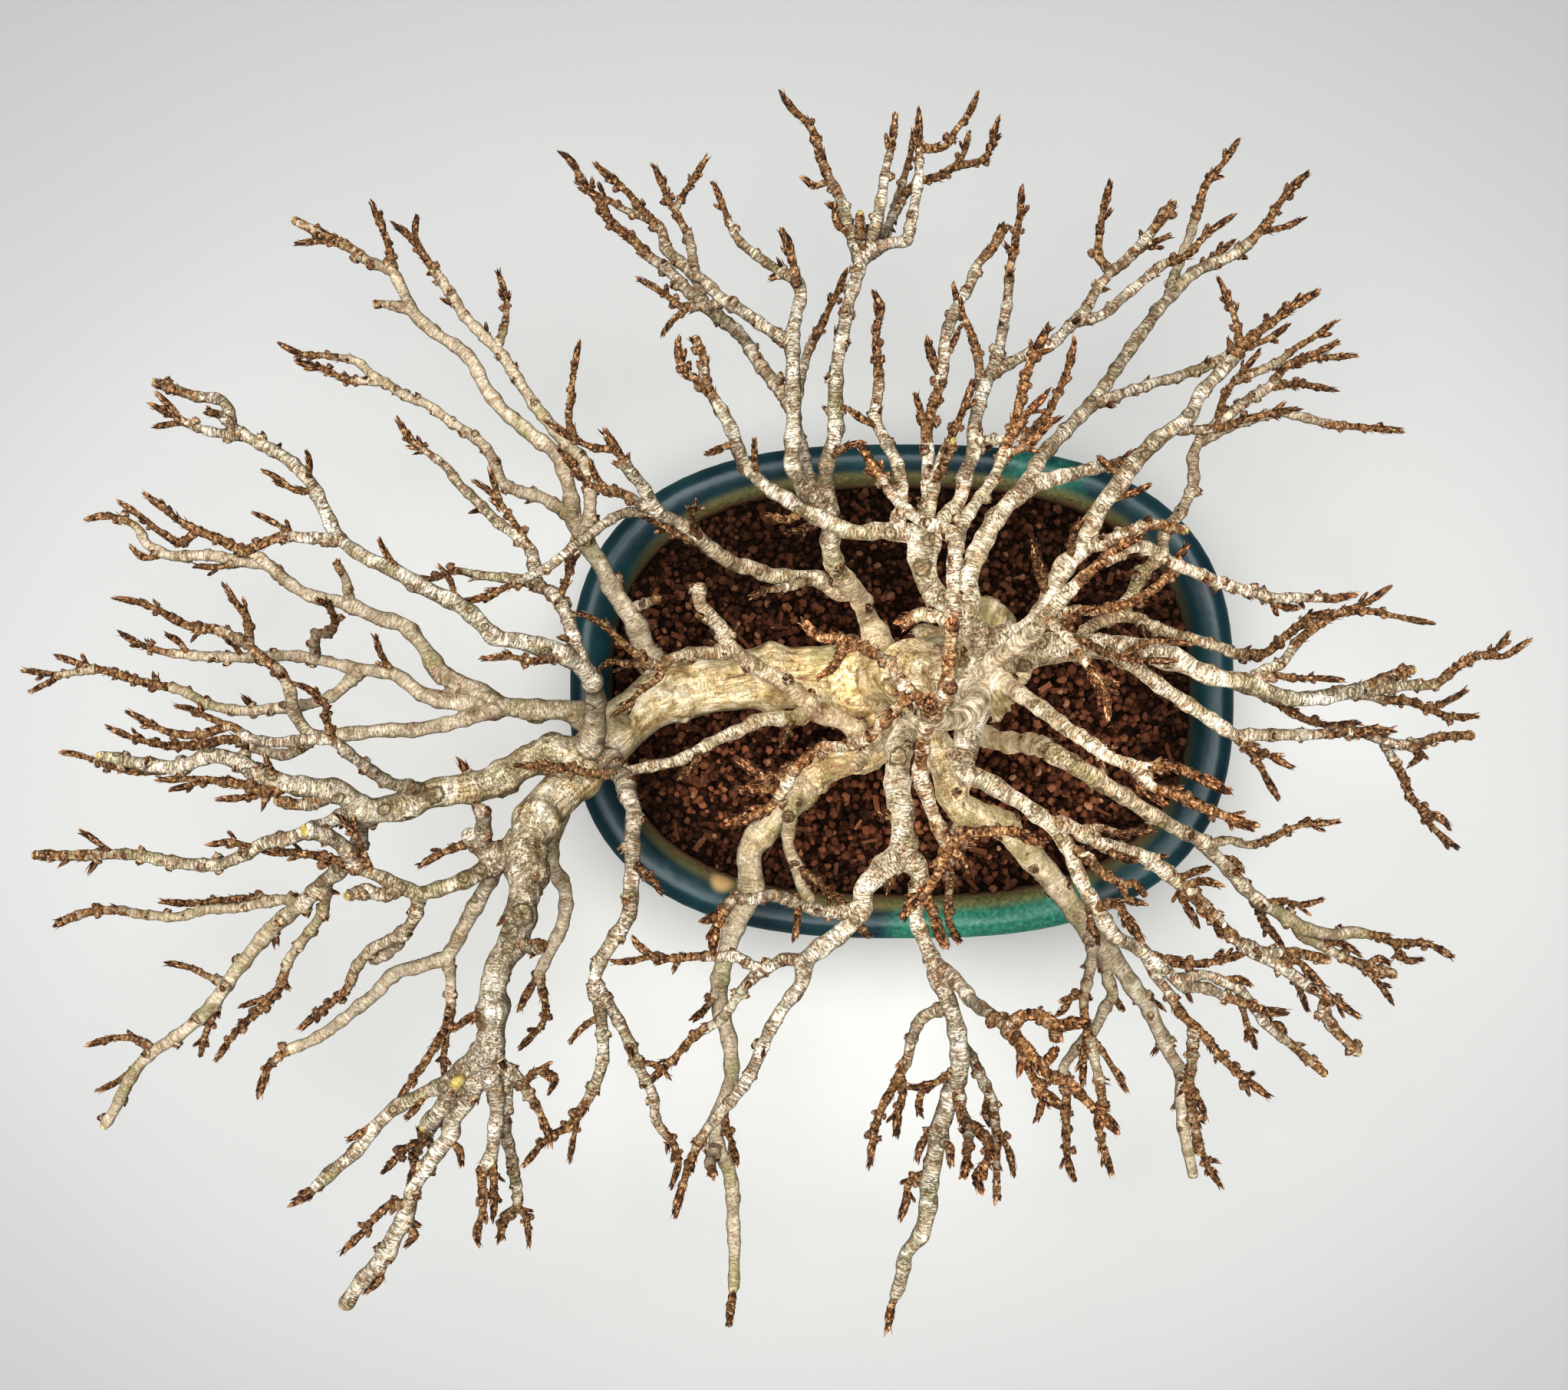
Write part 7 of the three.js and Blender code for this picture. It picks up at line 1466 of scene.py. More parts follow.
    def done(self, colour, normal, **more):
        """Gives the material its colour and relief, and hands it over."""
        self.set(self.shader, {"Base Color": colour, "Normal": normal, **more})
        return self.material


def bark_finish():
    """Pale grey bark, flecked and cracked on old wood, going over to brown on young growth, with painted
    light on the wood in the heart of the crown, painted highlights on raised crests and painted shade on
    faces that look sideways or down.
    """
    bark = Finish("maple bark", Roughness=0.75, Specular_IOR_Level=0.25)
    fade, times, mix, noise, scaled = bark.fade, bark.times, bark.mix, bark.noise, bark.scaled
    grain, place = bark.vector("grain"), bark.place()
    age, scar, girth = bark.value("age"), bark.value("scar"), bark.value("girth")
    burr, knot = bark.value("burr"), bark.value("knot")
    height = bark.height()
    # Painted light: round CROWN_HEART the wood is painted paler, against the shade cast by the twigs above.
    middle = (CROWN_HEART[0], CROWN_HEART[1], CROWN_HEART[2] * HEART_SQUASH)
    painted_light_heart = fade(bark.away(scaled(place, (1, 1, HEART_SQUASH)), middle), 0.035, 0.08, 1.0, 0.0)
    # Painted light on steep faces: in the heart of the crown, thick wood that looks sideways or down is
    # painted brighter.
    sheer = fade(bark.upward(), 0.1, 0.6, 1.0, 0.0)
    painted_light_steep = times(painted_light_heart, sheer, fade(girth, 6.5, 9.0, 1.0, 0.0))
    cloud = noise(place, 170.0, 4.0, 0.65)
    pale = bark.ramp(
        cloud,
        (0.32, (0.15, 0.118, 0.078)),
        (0.43, (0.35, 0.305, 0.23)),
        (0.54, (0.61, 0.565, 0.475)),
        (0.68, (0.86, 0.83, 0.76)),
    )
    thick = fade(girth, 2.2, 4.5)
    pale = mix(thick, pale, (0.85, 0.84, 0.82), "MULTIPLY")
    calm = fade(height, 0.108, 0.130, 1.0, 0.0)
    pale = mix(fade(height, 0.115, 0.165, 1.0, 0.0), pale, (0.84, 0.79, 0.72), "MULTIPLY")
    pale = mix(times(calm, 0.6), pale, (0.46, 0.405, 0.33))
    warm = bark.ramp(
        cloud,
        (0.32, (0.32, 0.225, 0.095)),
        (0.43, (0.64, 0.51, 0.29)),
        (0.54, (0.82, 0.70, 0.485)),
        (0.68, (0.88, 0.81, 0.68)),
    )
    low = times(fade(height, 0.115, 0.16, 1.0, 0.0), fade(girth, 2.0, 5.5, 0.1, 1.0))
    warm = mix(fade(girth, 9.0, 14.0, 0.0, 0.65), warm, (0.57, 0.475, 0.315))
    warm = mix(calm, warm, (0.86, 0.85, 0.84), "MULTIPLY")
    old = mix(bark.most(low, fade(girth, 7.4, 9.0)), pale, warm)
    moss = fade(noise(place, 75.0, 3.0), 0.53, 0.66)
    moss = times(moss, fade(height, 0.12, 0.19, 0.7, 0.25))
    old = mix(moss, old, (0.25, 0.24, 0.11))
    old = mix(fade(girth, 1.1, 3.4, 0.45, 0.0), old, (0.86, 0.82, 0.75), "MULTIPLY")
    stain = noise(scaled(grain, (0.5, 0.5, 0.7)), 1.0, 4.0, 0.65)
    stain = bark.math("ADD", stain, times(burr, 0.07))
    slim = fade(girth, 1.4, 3.2, 0.9, 0.4)
    slim = times(slim, fade(calm, 0.0, 1.0, 1.0, 0.6))
    old = mix(times(slim, fade(stain, 0.50, 0.63)), old, (0.24, 0.14, 0.075))
    streak = noise(scaled(grain, (0.9, 0.9, 0.14)), 1.0, 5.0, 0.65)
    old = mix(times(thick, fade(streak, 0.50, 0.64, 0.0, 0.6)), old, (0.24, 0.19, 0.09))
    fissure = times(thick, fade(bark.gap(streak, 0.53), 0.004, 0.02, 0.85, 0.0))
    knot = bark.math("ADD", knot, times(bark.math("SUBTRACT", stain, 0.5), 2.4))
    old = mix(fade(knot, 0.9, 2.2, 0.6, 0.0), old, (0.22, 0.18, 0.085))
    whorl = fade(bark.gap(knot, 1.3), 0.1, 0.35, 0.9, 0.0)
    grit = noise(scaled(grain, (1.3, 1.3, 2.6)), 1.0, 4.0, 0.75)
    where = fade(bark.math("ADD", noise(place, 160.0, 2.0), times(burr, 0.26)), 0.45, 0.60)
    rings = noise(scaled(grain, (0.42, 0.42, 2.4)), 1.0, 3.0, 0.6)
    rings = times(fade(rings, 0.53, 0.63), fade(girth, 2.0, 4.5, 0.7, 0.15))
    pits = times(where, fade(grit, 0.55, 0.59), 0.95)
    crack = noise(scaled(grain, (0.35, 0.35, 1.7)), 1.0, 5.0, 0.65)
    crack = fade(bark.gap(crack, 0.5), 0.004, 0.022, 0.75, 0.0)
    crack = times(crack, fade(girth, 5.0, 9.0, 1.0, 0.25))
    dark = bark.most(crack, pits, rings, fissure, whorl)
    dark = times(dark, fade(girth, 8.0, 13.0, 1.0, 0.6), fade(painted_light_steep, 0.0, 1.0, 1.0, 0.25))
    dark = times(dark, fade(calm, 0.0, 1.0, 1.0, 0.5))
    fleck = fade(noise(place, 620.0, 3.0, 0.7), 0.54, 0.6)
    dark = bark.most(dark, times(fleck, painted_light_steep, 0.8))
    # Painted highlight: the raised crests of the bark are painted near white, more so higher up.
    crest = times(fade(grit, 0.47, 0.38), fade(height, 0.10, 0.15, 0.1, 0.3))
    old = mix(crest, old, (0.86, 0.835, 0.78))
    old = mix(dark, old, (0.062, 0.045, 0.027))
    groove = mix(fade(grit, 0.42, 0.58), (0.24, 0.13, 0.07), (0.08, 0.045, 0.03))
    old = mix(fade(scar, 0.15, 0.9, 0.0, 0.75), old, groove)
    brown = bark.ramp(
        noise(scaled(grain, (0.8, 0.8, 1.3)), 1.0, 4.0, 0.7),
        (0.32, (0.026, 0.013, 0.006)),
        (0.43, (0.095, 0.048, 0.020)),
        (0.55, (0.24, 0.138, 0.064)),
        (0.68, (0.52, 0.41, 0.27)),
    )
    brown = mix(bark.high(), brown, (1.34, 1.25, 1.2), "MULTIPLY")
    brown = mix(fade(scar, 0.2, 1.0, 0.0, 0.75), brown, (0.035, 0.016, 0.012))
    # Painted light: thick wood in the heart of the crown is painted brighter.
    bright = times(painted_light_heart, fade(girth, 7.5, 12.0, 1.0, 0.35))
    old = mix(bright, old, (1.4, 1.34, 1.25), "MULTIPLY")
    # Painted shade: faces that look sideways or down are painted darker, less so in the heart of the crown.
    side = times(fade(bark.upward(), -0.1, 0.85, 0.7, 0.0), fade(painted_light_heart, 0.0, 1.0, 1.0, 0.15))
    # Painted light: the steep faces in the heart are painted brighter.
    old = mix(painted_light_steep, old, (1.5, 1.45, 1.38), "MULTIPLY")
    old = mix(side, old, (0.10, 0.075, 0.04))
    breakup = times(bark.math("SUBTRACT", noise(grain, 0.5, 3.0), 0.5), 2.2)
    share = fade(bark.math("ADD", age, breakup), 0.35, 0.8)
    relief = bark.math("SUBTRACT", times(crest, 0.5), dark)
    return bark.done(mix(share, brown, old), bark.bump(relief, 0.8, 0.00035))


def husk_finish():
    """Chestnut bud scales with dark roots and paler, frayed tips: the dark roots are partly their own colour
    and partly painted shade where each scale tucks under the next, and the pale tips partly their own colour
    and partly painted highlight.
    """
    husk = Finish("bud scales", Roughness=0.75, Specular_IOR_Level=0.25)
    tone, rise = husk.value("tone"), husk.value("rise")
    body = husk.ramp(
        tone,
        (0.0, (0.030, 0.015, 0.008)),
        (0.3, (0.075, 0.038, 0.018)),
        (0.55, (0.165, 0.086, 0.040)),
        (0.8, (0.31, 0.160, 0.074)),
        (1.0, (0.46, 0.29, 0.17)),
    )
    body = husk.mix(husk.high(), body, (1.4, 1.26, 1.22), "MULTIPLY")
    streak = husk.noise(husk.place(), 1100.0, 2.0)
    body = husk.mix(husk.fade(streak, 0.45, 0.65, 0.0, 0.65), body, (0.035, 0.015, 0.01))
    # Dark roots: partly the scales' own colour, partly painted shade where each scale tucks under the next.
    body = husk.mix(husk.fade(rise, 0.0, 0.4, 0.75, 0.0), body, (0.02, 0.009, 0.007))
    # Pale tips: partly the scales' own colour, partly painted highlight.
    edge = husk.times(husk.fade(rise, 0.55, 0.95), husk.fade(streak, 0.3, 0.6, 0.6, 0.15))
    return husk.done(husk.mix(edge, body, (0.64, 0.41, 0.25)), husk.bump(streak, 0.35, 0.0001))


def stub_finish():
    """Ringed stubs under side buds: grey rims with brown between them."""
    stub = Finish("bud stubs", Roughness=0.75)
    tone, rise, age = stub.value("tone"), stub.value("rise"), stub.value("age")
    speckle = stub.noise(stub.place(), 1300.0, 3.0, 0.6)
    grey = stub.ramp(
        speckle,
        (0.36, (0.08, 0.05, 0.028)),
        (0.5, (0.27, 0.20, 0.12)),
        (0.66, (0.50, 0.43, 0.32)),
    )
    brown = stub.ramp(
        speckle,
        (0.36, (0.04, 0.02, 0.011)),
        (0.5, (0.15, 0.075, 0.036)),
        (0.7, (0.36, 0.24, 0.14)),
    )
    worn = stub.math("SUBTRACT", stub.math("ADD", age, stub.times(tone, 0.4)), stub.times(rise, 0.8))
    colour = stub.mix(stub.fade(worn, 0.25, 0.6), brown, grey)
    groove = stub.math("ABSOLUTE", stub.math("SINE", stub.times(rise, 9.5)))
    colour = stub.mix(stub.fade(groove, 0.05, 0.4, 0.7, 0.0), colour, (0.04, 0.022, 0.015))
    return stub.done(colour, stub.bump(speckle, 0.4, 0.00015))


def cut_finish():
    """The yellow-green wood of a fresh cut, finely speckled."""
    cut = Finish("cut wood", Roughness=0.65)
    speckle = cut.noise(cut.place(), 900.0, 3.0, 0.6)
    colour = cut.ramp(
        speckle,
        (0.35, (0.22, 0.16, 0.05)),
        (0.55, (0.36, 0.29, 0.10)),
        (0.7, (0.50, 0.43, 0.20)),
    )
    return cut.done(colour, cut.bump(speckle, 0.3, 0.0001))


def soil_finish(name):
    """What bed and granules share: fine flecks, and painted shadow that darkens the soil towards the rim,
    under the lip, and towards the back of the pot.
    """
    soil = Finish(name, Roughness=0.9, Specular_IOR_Level=0.08)
    fleck = soil.noise(soil.place(), 900.0, 3.0, 0.65)
    spot, share = soil.pot_plan()
    # Painted shadow: the soil is darkened towards the back of the pot and towards the rim, where the lip
    # shades it.
    behind = soil.fade(soil.split(spot)[1], -20.0, 45.0, 0.0, 0.7)
    painted_shadow = soil.most(soil.fade(share, 0.62, 0.84, 0.0, 0.7), behind)
    return soil, fleck, painted_shadow


def granule_finish():
    """Dark red-brown fired granules, each with its own tone."""
    soil, fleck, painted_shadow = soil_finish("soil granules")
    body = soil.ramp(
        soil.value("tone"),
        (0.0, (0.018, 0.010, 0.0065)),
        (0.3, (0.054, 0.026, 0.015)),
        (0.55, (0.130, 0.058, 0.033)),
        (0.78, (0.23, 0.100, 0.057)),
        (0.93, (0.33, 0.155, 0.088)),
        (1.0, (0.44, 0.25, 0.15)),
    )
    body = soil.mix(soil.fade(fleck, 0.5, 0.7, 0.0, 0.4), body, (0.24, 0.105, 0.07))
    # Painted shadow by the rim and at the back of the pot.
    body = soil.mix(painted_shadow, body, SOIL_PAINTED_SHADOW)
    return soil.done(body, soil.bump(fleck, 0.6, 0.0003))


def soil_bed_finish():
    """The packed soil between and under the granules."""
    soil, fleck, painted_shadow = soil_finish("soil bed")
    grains = soil.cells(soil.place(), 420.0)
    body = soil.ramp(
        grains,
        (0.1, (0.05, 0.02, 0.013)),
        (0.45, (0.024, 0.011, 0.008)),
        (0.8, (0.008, 0.005, 0.004)),
    )
    body = soil.mix(soil.fade(fleck, 0.5, 0.72, 0.0, 0.4), body, (0.1, 0.045, 0.03))
    # Painted shadow by the rim and at the back of the pot.
    body = soil.mix(painted_shadow, body, SOIL_PAINTED_SHADOW)
    height = soil.math("SUBTRACT", soil.times(fleck, 0.3), grains)
    return soil.done(body, soil.bump(height, 0.8, 0.001))


def glaze_finish():
    """Dark teal glaze that pools to jade in places, thins to olive inside the lip and stops over the feet."""
    glaze = Finish("teal glaze", Specular_IOR_Level=0.3)
    fade, times, mix, noise = glaze.fade, glaze.times, glaze.mix, glaze.noise
    spot, share = glaze.pot_plan()
    x, y, z = glaze.split(spot)
    cloud = noise(spot, 0.05, 4.0, 0.6)
    fine = noise(spot, 0.9, 3.0, 0.7)
    teal = glaze.ramp(
        cloud,
        (0.3, (0.006, 0.020, 0.028)),
        (0.5, (0.010, 0.034, 0.043)),
        (0.7, (0.014, 0.052, 0.058)),
    )
    jade = glaze.ramp(
        fine,
        (0.35, (0.018, 0.11, 0.08)),
        (0.55, (0.034, 0.175, 0.125)),
        (0.75, (0.08, 0.28, 0.205)),
    )
    front = times(
        fade(x, -18.0, 8.0), fade(x, 44.0, 62.0, 1.0, 0.0), fade(y, -52.0, -44.0, 1.0, 0.0)
    )
    back = times(
        fade(x, 14.0, 30.0), fade(x, 42.0, 62.0, 0.7, 0.0), fade(y, 30.0, 44.0)
    )
    drip = noise(glaze.scaled(spot, (0.16, 0.16, 0.025)), 1.0, 3.0, 0.6)
    below = fade(z, 44.0, 50.0, 1.0, 0.0)
    drift = glaze.math("ADD", times(cloud, 1.1), times(drip, 0.5, below))
    runs = times(glaze.most(front, back), fade(z, 20.0, 50.0, 0.15, 1.0))
    pool = fade(glaze.math("ADD", runs, drift), 0.95, 1.4)
    colour = mix(pool, teal, jade)
    edge = glaze.math("ADD", share, times(glaze.math("SUBTRACT", fine, 0.5), 0.02))
    edge = glaze.math("SUBTRACT", edge, times(z, WALL_LEAN))
    inner = fade(edge, 0.708, 0.743, 1.0, 0.0)
    olive = glaze.ramp(fine, (0.3, (0.10, 0.095, 0.04)), (0.6, (0.22, 0.19, 0.09)), (0.8, (0.33, 0.27, 0.15)))
    colour = mix(times(inner, 0.85), colour, olive)
    worn = fade(glaze.away(spot, WORN_SPOT), 1.6, 4.2, 0.9, 0.0)
    colour = mix(worn, colour, (0.52, 0.36, 0.19))
    clay = glaze.ramp(fine, (0.3, (0.16, 0.085, 0.05)), (0.7, (0.27, 0.16, 0.10)))
    inside = times(inner, fade(z, 50.0, 52.5, 1.0, 0.0))
    bare = glaze.most(inside, fade(z, 4.0, 5.2, 1.0, 0.0))
    ripple = glaze.bump(noise(spot, 0.16, 2.0), 0.12, 0.002, glaze.bump(fine, 0.05, 0.0004))
    matt = mix(bare, (0.34, 0.34, 0.34), (0.85, 0.85, 0.85))
    return glaze.done(mix(bare, colour, clay), ripple, Roughness=matt)


def mesh_plastic_finish():
    """Black plastic with a faint speckle."""
    plastic = Finish("black mesh plastic", Roughness=0.55)
    speckle = plastic.noise(plastic.place(), 700.0, 3.0)
    colour = plastic.ramp(speckle, (0.35, (0.014, 0.014, 0.015)), (0.7, (0.04, 0.038, 0.036)))
    return plastic.done(colour, plastic.bump(speckle, 0.3, 0.0002))


def wire_finish():
    """Brown anodised wire, scuffed bright in streaks along the pot."""
    wire = Finish("brown anodised wire", Metallic=0.9)
    scuff = wire.noise(wire.scaled(wire.place(), (300, 1500, 1500)), 1.0, 3.0)
    colour = wire.ramp(
        scuff,
        (0.35, (0.20, 0.09, 0.045)),
        (0.6, (0.36, 0.19, 0.10)),
        (0.8, (0.55, 0.40, 0.30)),
    )
    return wire.done(colour, wire.bump(scuff, 0.2, 0.0001), Roughness=wire.fade(scuff, 0.3, 0.8, 0.5, 0.25))


# Pot
def pot_profile():
    """Distance from the middle and height, out under the floor, up the wall, over the lip and down inside."""
    half = POT_WIDTH / 2
    base = FOOT_HEIGHT
    floor = FOOT_HEIGHT + FLOOR_THICK
    inside = half - LIP_WIDTH
    outside = inside + WALL_THICK - 1
    under = RIM_HEIGHT - LIP_THICK
    standing = outside - BASE_INSET
    return [
        (standing - 1, base), (standing, base), (outside - 8.5, base + 2), (outside - 3.5, base + 16),
        (outside - 1, base + 31), (outside, under - 1.5), (half - 2.5, under + 0.5),
        (half - 0.4, under + 2.2), (half, under + 3.4), (half - 1.0, RIM_HEIGHT - 1.1),
        (half - 3.7, RIM_HEIGHT), (half - 6.4, RIM_HEIGHT - 0.7), (inside + 1.2, RIM_HEIGHT - 2.3),
        (inside - 0.2, RIM_HEIGHT - 4.6), (inside - 1.2, RIM_HEIGHT - 11), (inside - 2.5, base + 20),
        (inside - 8, floor + 1.5), (inside - 11, floor), (inside - 12, floor),
    ]


def ring_step(before, after, centre):
    """Extrudes the selected ring up or down and draws it in or out to the next one of the oval."""
    (r0, z0), (r1, z1) = before, after
    bpy.ops.mesh.extrude_region_move(TRANSFORM_OT_translate={"value": (0, 0, (z1 - z0) * MM)})
    stretch = ((r1 + STRETCH) / (r0 + STRETCH), r1 / r0, 1)
    bpy.ops.transform.resize(value=stretch, center_override=centre)


def rounded(corners):
    """Points along a smooth line through the corners of a profile."""
    points = np.array(corners)
    gaps = np.linalg.norm(np.diff(points, axis=0), axis=1)
    return smooth_line(points, gaps, [max(1, round(gap / PROFILE_STEP)) for gap in gaps])


def make_pot(material):
    middle = (LOW_CORNER + HIGH_CORNER) / 2
    centre = (middle.x, middle.y, 0)
    profile = rounded(pot_profile())
    bpy.ops.object.select_all(action="DESELECT")
    first = profile[0]
    bpy.ops.mesh.primitive_circle_add(
        vertices=POT_SIDES, radius=1, fill_type="NGON", location=(middle.x, middle.y, first[1] * MM))
    pot = bpy.context.object
    pot.name = "glazed_pot"
    pot.scale = ((first[0] + STRETCH) * MM, first[0] * MM, 1)
    bpy.ops.object.transform_apply(location=True, rotation=True, scale=True)
    for v in pot.data.vertices:
        x, y = v.co.x - middle.x, v.co.y - middle.y
        share = oval_share(x, y, (first[0] + STRETCH) * MM, first[0] * MM)
        v.co.x, v.co.y = middle.x + x / share, middle.y + y / share
    bpy.ops.object.mode_set(mode="EDIT")
    bpy.ops.mesh.select_mode(type="EDGE")
    bpy.ops.mesh.select_all(action="SELECT")
    bpy.ops.mesh.delete(type="ONLY_FACE")
    bpy.ops.mesh.select_all(action="SELECT")
    bpy.ops.mesh.edge_face_add()
    bpy.ops.mesh.select_all(action="DESELECT")
    bpy.ops.mesh.select_non_manifold()
    for before, after in zip(profile, profile[1:]):
        ring_step(before, after, centre)
    bpy.ops.mesh.edge_face_add()
    bpy.ops.mesh.select_all(action="SELECT")
    bpy.ops.mesh.normals_make_consistent(inside=False)
    bpy.ops.object.mode_set(mode="OBJECT")
    for turn in FOOT_TURNS:
        join_solid(pot, make_foot(turn * math.pi, middle), "UNION")
    floor_middle = FOOT_HEIGHT + FLOOR_THICK / 2
    for side in (-1, 1):
        bpy.ops.object.select_all(action="DESELECT")
        bpy.ops.mesh.primitive_cylinder_add(
            vertices=DRAIN_SIDES, radius=DRAIN_RADIUS * MM, depth=4 * FLOOR_THICK * MM,
            location=(middle.x + side * DRAIN_SPACING / 2 * MM, middle.y, floor_middle * MM))
        join_solid(pot, bpy.context.object, "DIFFERENCE")
    choose(pot)
    bpy.ops.object.shade_smooth_by_angle(angle=math.radians(SMOOTH_ANGLE))
    finish_piece(pot, material, "glaze", "pot")


def join_solid(pot, other, operation):
    """Adds a solid to the pot, or cuts it out, and removes it."""
    modify(pot, "BOOLEAN", object=other, operation=operation, solver="EXACT")
    bpy.data.objects.remove(other)


def make_foot(turn, middle):
    """One low foot: a bar that follows the pot's edge, with its edges rounded."""
    outer = POT_WIDTH / 2 - LIP_WIDTH + WALL_THICK - 1 - FOOT_INSET
    bpy.ops.object.select_all(action="DESELECT")
    bpy.ops.mesh.primitive_cube_add(size=1, location=(0, 0, 0))
    foot = bpy.context.object
    bpy.ops.object.mode_set(mode="EDIT")
    slice_shape([(share, 0, 0) for share in (-0.3, -0.1, 0.1, 0.3)], (1, 0, 0))
    bpy.ops.object.mode_set(mode="OBJECT")
    for v in foot.data.vertices:
        narrow = FOOT_TAPER if v.co.y > 0 else 1.0
        angle = turn + 2 * v.co.x * FOOT_HALF_SPAN * narrow
        radius = outer - FOOT_BAR * (v.co.y + 0.5)
        v.co = (
            middle.x + math.cos(angle) * (radius + STRETCH) * MM,
            middle.y + math.sin(angle) * radius * MM,
            (v.co.z + 0.5) * (FOOT_HEIGHT + 1.5) * MM,
        )
    bpy.ops.object.mode_set(mode="EDIT")
    bpy.ops.mesh.select_all(action="SELECT")
    bpy.ops.mesh.normals_make_consistent(inside=False)
    bpy.ops.object.mode_set(mode="OBJECT")
    modify(foot, "BEVEL", width=0.9 * MM, segments=3, limit_method="ANGLE", angle_limit=math.radians(50))
    return foot


# Soil
def model_granule(seed):
    """An irregular lump of unit size."""
    bpy.ops.object.select_all(action="DESELECT")
    bpy.ops.mesh.primitive_ico_sphere_add(subdivisions=1, radius=0.5)
    obj = bpy.context.object
    bpy.ops.object.mode_set(mode="EDIT")
    bpy.ops.mesh.select_all(action="SELECT")
    bpy.ops.transform.vertex_random(offset=0.14, seed=seed)
    bpy.ops.object.mode_set(mode="OBJECT")
    return template(obj)


def model_chip():
    """A splinter of bark of unit length: a thin slab with broken ends."""
    bpy.ops.object.select_all(action="DESELECT")
    bpy.ops.mesh.primitive_cube_add(size=1)
    obj = bpy.context.object
    bpy.ops.object.mode_set(mode="EDIT")
    slice_shape([(0, 0, height) for height in (-0.15, 0.2)], (0.2, 0, 1))
    bpy.ops.mesh.select_all(action="SELECT")
    bpy.ops.transform.vertex_random(offset=0.16, seed=4)
    bpy.ops.object.mode_set(mode="OBJECT")
    return template(obj)


def land_on(surface, x, y):
    """Height at which a grain dropped over the pot lands on the soil, or None where it misses."""
    hit = surface.ray_cast(Vector(to_row((x, y, DROP_HEIGHT))), Vector((0, 0, -1)))[0]
    return None if hit is None or hit.z < SOIL_LOW * MM else hit.z / MM


def add_granules(heap, shapes, surface, rng, pitch, small, large, lift, darkest):
    """One layer of granules on a loose grid over the soil."""
    inside = POT_WIDTH / 2 - LIP_WIDTH - SOIL_SLACK
    spots = [[] for _ in shapes]
    for x in np.arange(-inside - STRETCH, inside + STRETCH, pitch):
        for y in np.arange(-inside, inside, pitch):
            px = x + rng.uniform(-GRANULE_WANDER, GRANULE_WANDER) * pitch
            py = y + rng.uniform(-GRANULE_WANDER, GRANULE_WANDER) * pitch
            if oval_share(px, py, inside + STRETCH, inside) > 1:
                continue
            px, py = px + POT_CENTRE[0], py + POT_CENTRE[1]
            height = land_on(surface, px, py)
            if height is None:
                continue
            size = rng.uniform(small, large)
            spots[rng.integers(len(shapes))].append((px, py, height + lift * size, size))
    for shape, rows in zip(shapes, spots):
        rows = np.array(rows)
        count = len(rows)
        sizes = rows[:, 3:] * rng.uniform(0.7, 1.15, (count, 3))
        tone = np.clip(darkest + rng.beta(1.6, 2.0, count), 0, 1)
        ahead, up = rng.normal(size=(count, 3)), rng.normal(size=(count, 3))
        scatter(heap, shape, rows[:, :3], ahead, up, sizes, tone=tone)


def add_chips(heap, surface, rng):
    """Splinters of bark that lie about on the granules."""
    inside = POT_WIDTH / 2 - LIP_WIDTH - SOIL_SLACK
    rows = []
    while len(rows) < CHIP_COUNT:
        turn, reach = rng.uniform(0, 2 * math.pi), math.sqrt(rng.uniform(0, 0.92))
        cos, sin = math.cos(turn), math.sin(turn)
        reach /= oval_share(cos, sin, 1, 1)
        x = cos * reach * (inside + STRETCH) + POT_CENTRE[0]
        y = sin * reach * inside + POT_CENTRE[1]
        height = land_on(surface, x, y)
        if height is not None:
            rows.append((x, y, height + CHIP_LIFT))
    ahead = rng.normal(size=(CHIP_COUNT, 3)) * (1, 1, 0.16)
    up = np.array([0, 0, 1.0]) + rng.normal(size=(CHIP_COUNT, 3)) * 0.3
    sizes = rng.uniform(CHIP_LEAST, CHIP_MOST, (CHIP_COUNT, 3))
    scatter(heap, model_chip(), np.array(rows), ahead, up, sizes, tone=rng.uniform(0.3, 0.9, CHIP_COUNT))


def finish_grains(name, heap, material):
    """Grains keep their facets."""
    obj = new_object(name, heap.mesh(name))
    obj.data.polygons.foreach_set("use_smooth", [False] * len(obj.data.polygons))
    finish_piece(obj, material, "soil")


def make_soil(bed_material, grain_material):
    bed = frame["nodes"]["soil"]
    cover(bed, bed_material)
    corners = [v.co for v in bed.data.vertices]
    surface = BVHTree.FromPolygons(corners, [tuple(face.vertices) for face in bed.data.polygons])
    rng = np.random.default_rng(SOIL_SEED)
    shapes = [model_granule(seed) for seed in GRANULE_SEEDS]
    for name, *layer in GRANULE_LAYERS:
        heap = Heap()
        add_granules(heap, shapes, surface, rng, *layer)
        finish_grains(name, heap, grain_material)
    heap = Heap()
    add_chips(heap, surface, rng)
    finish_grains("soil_bark_chips", heap, grain_material)


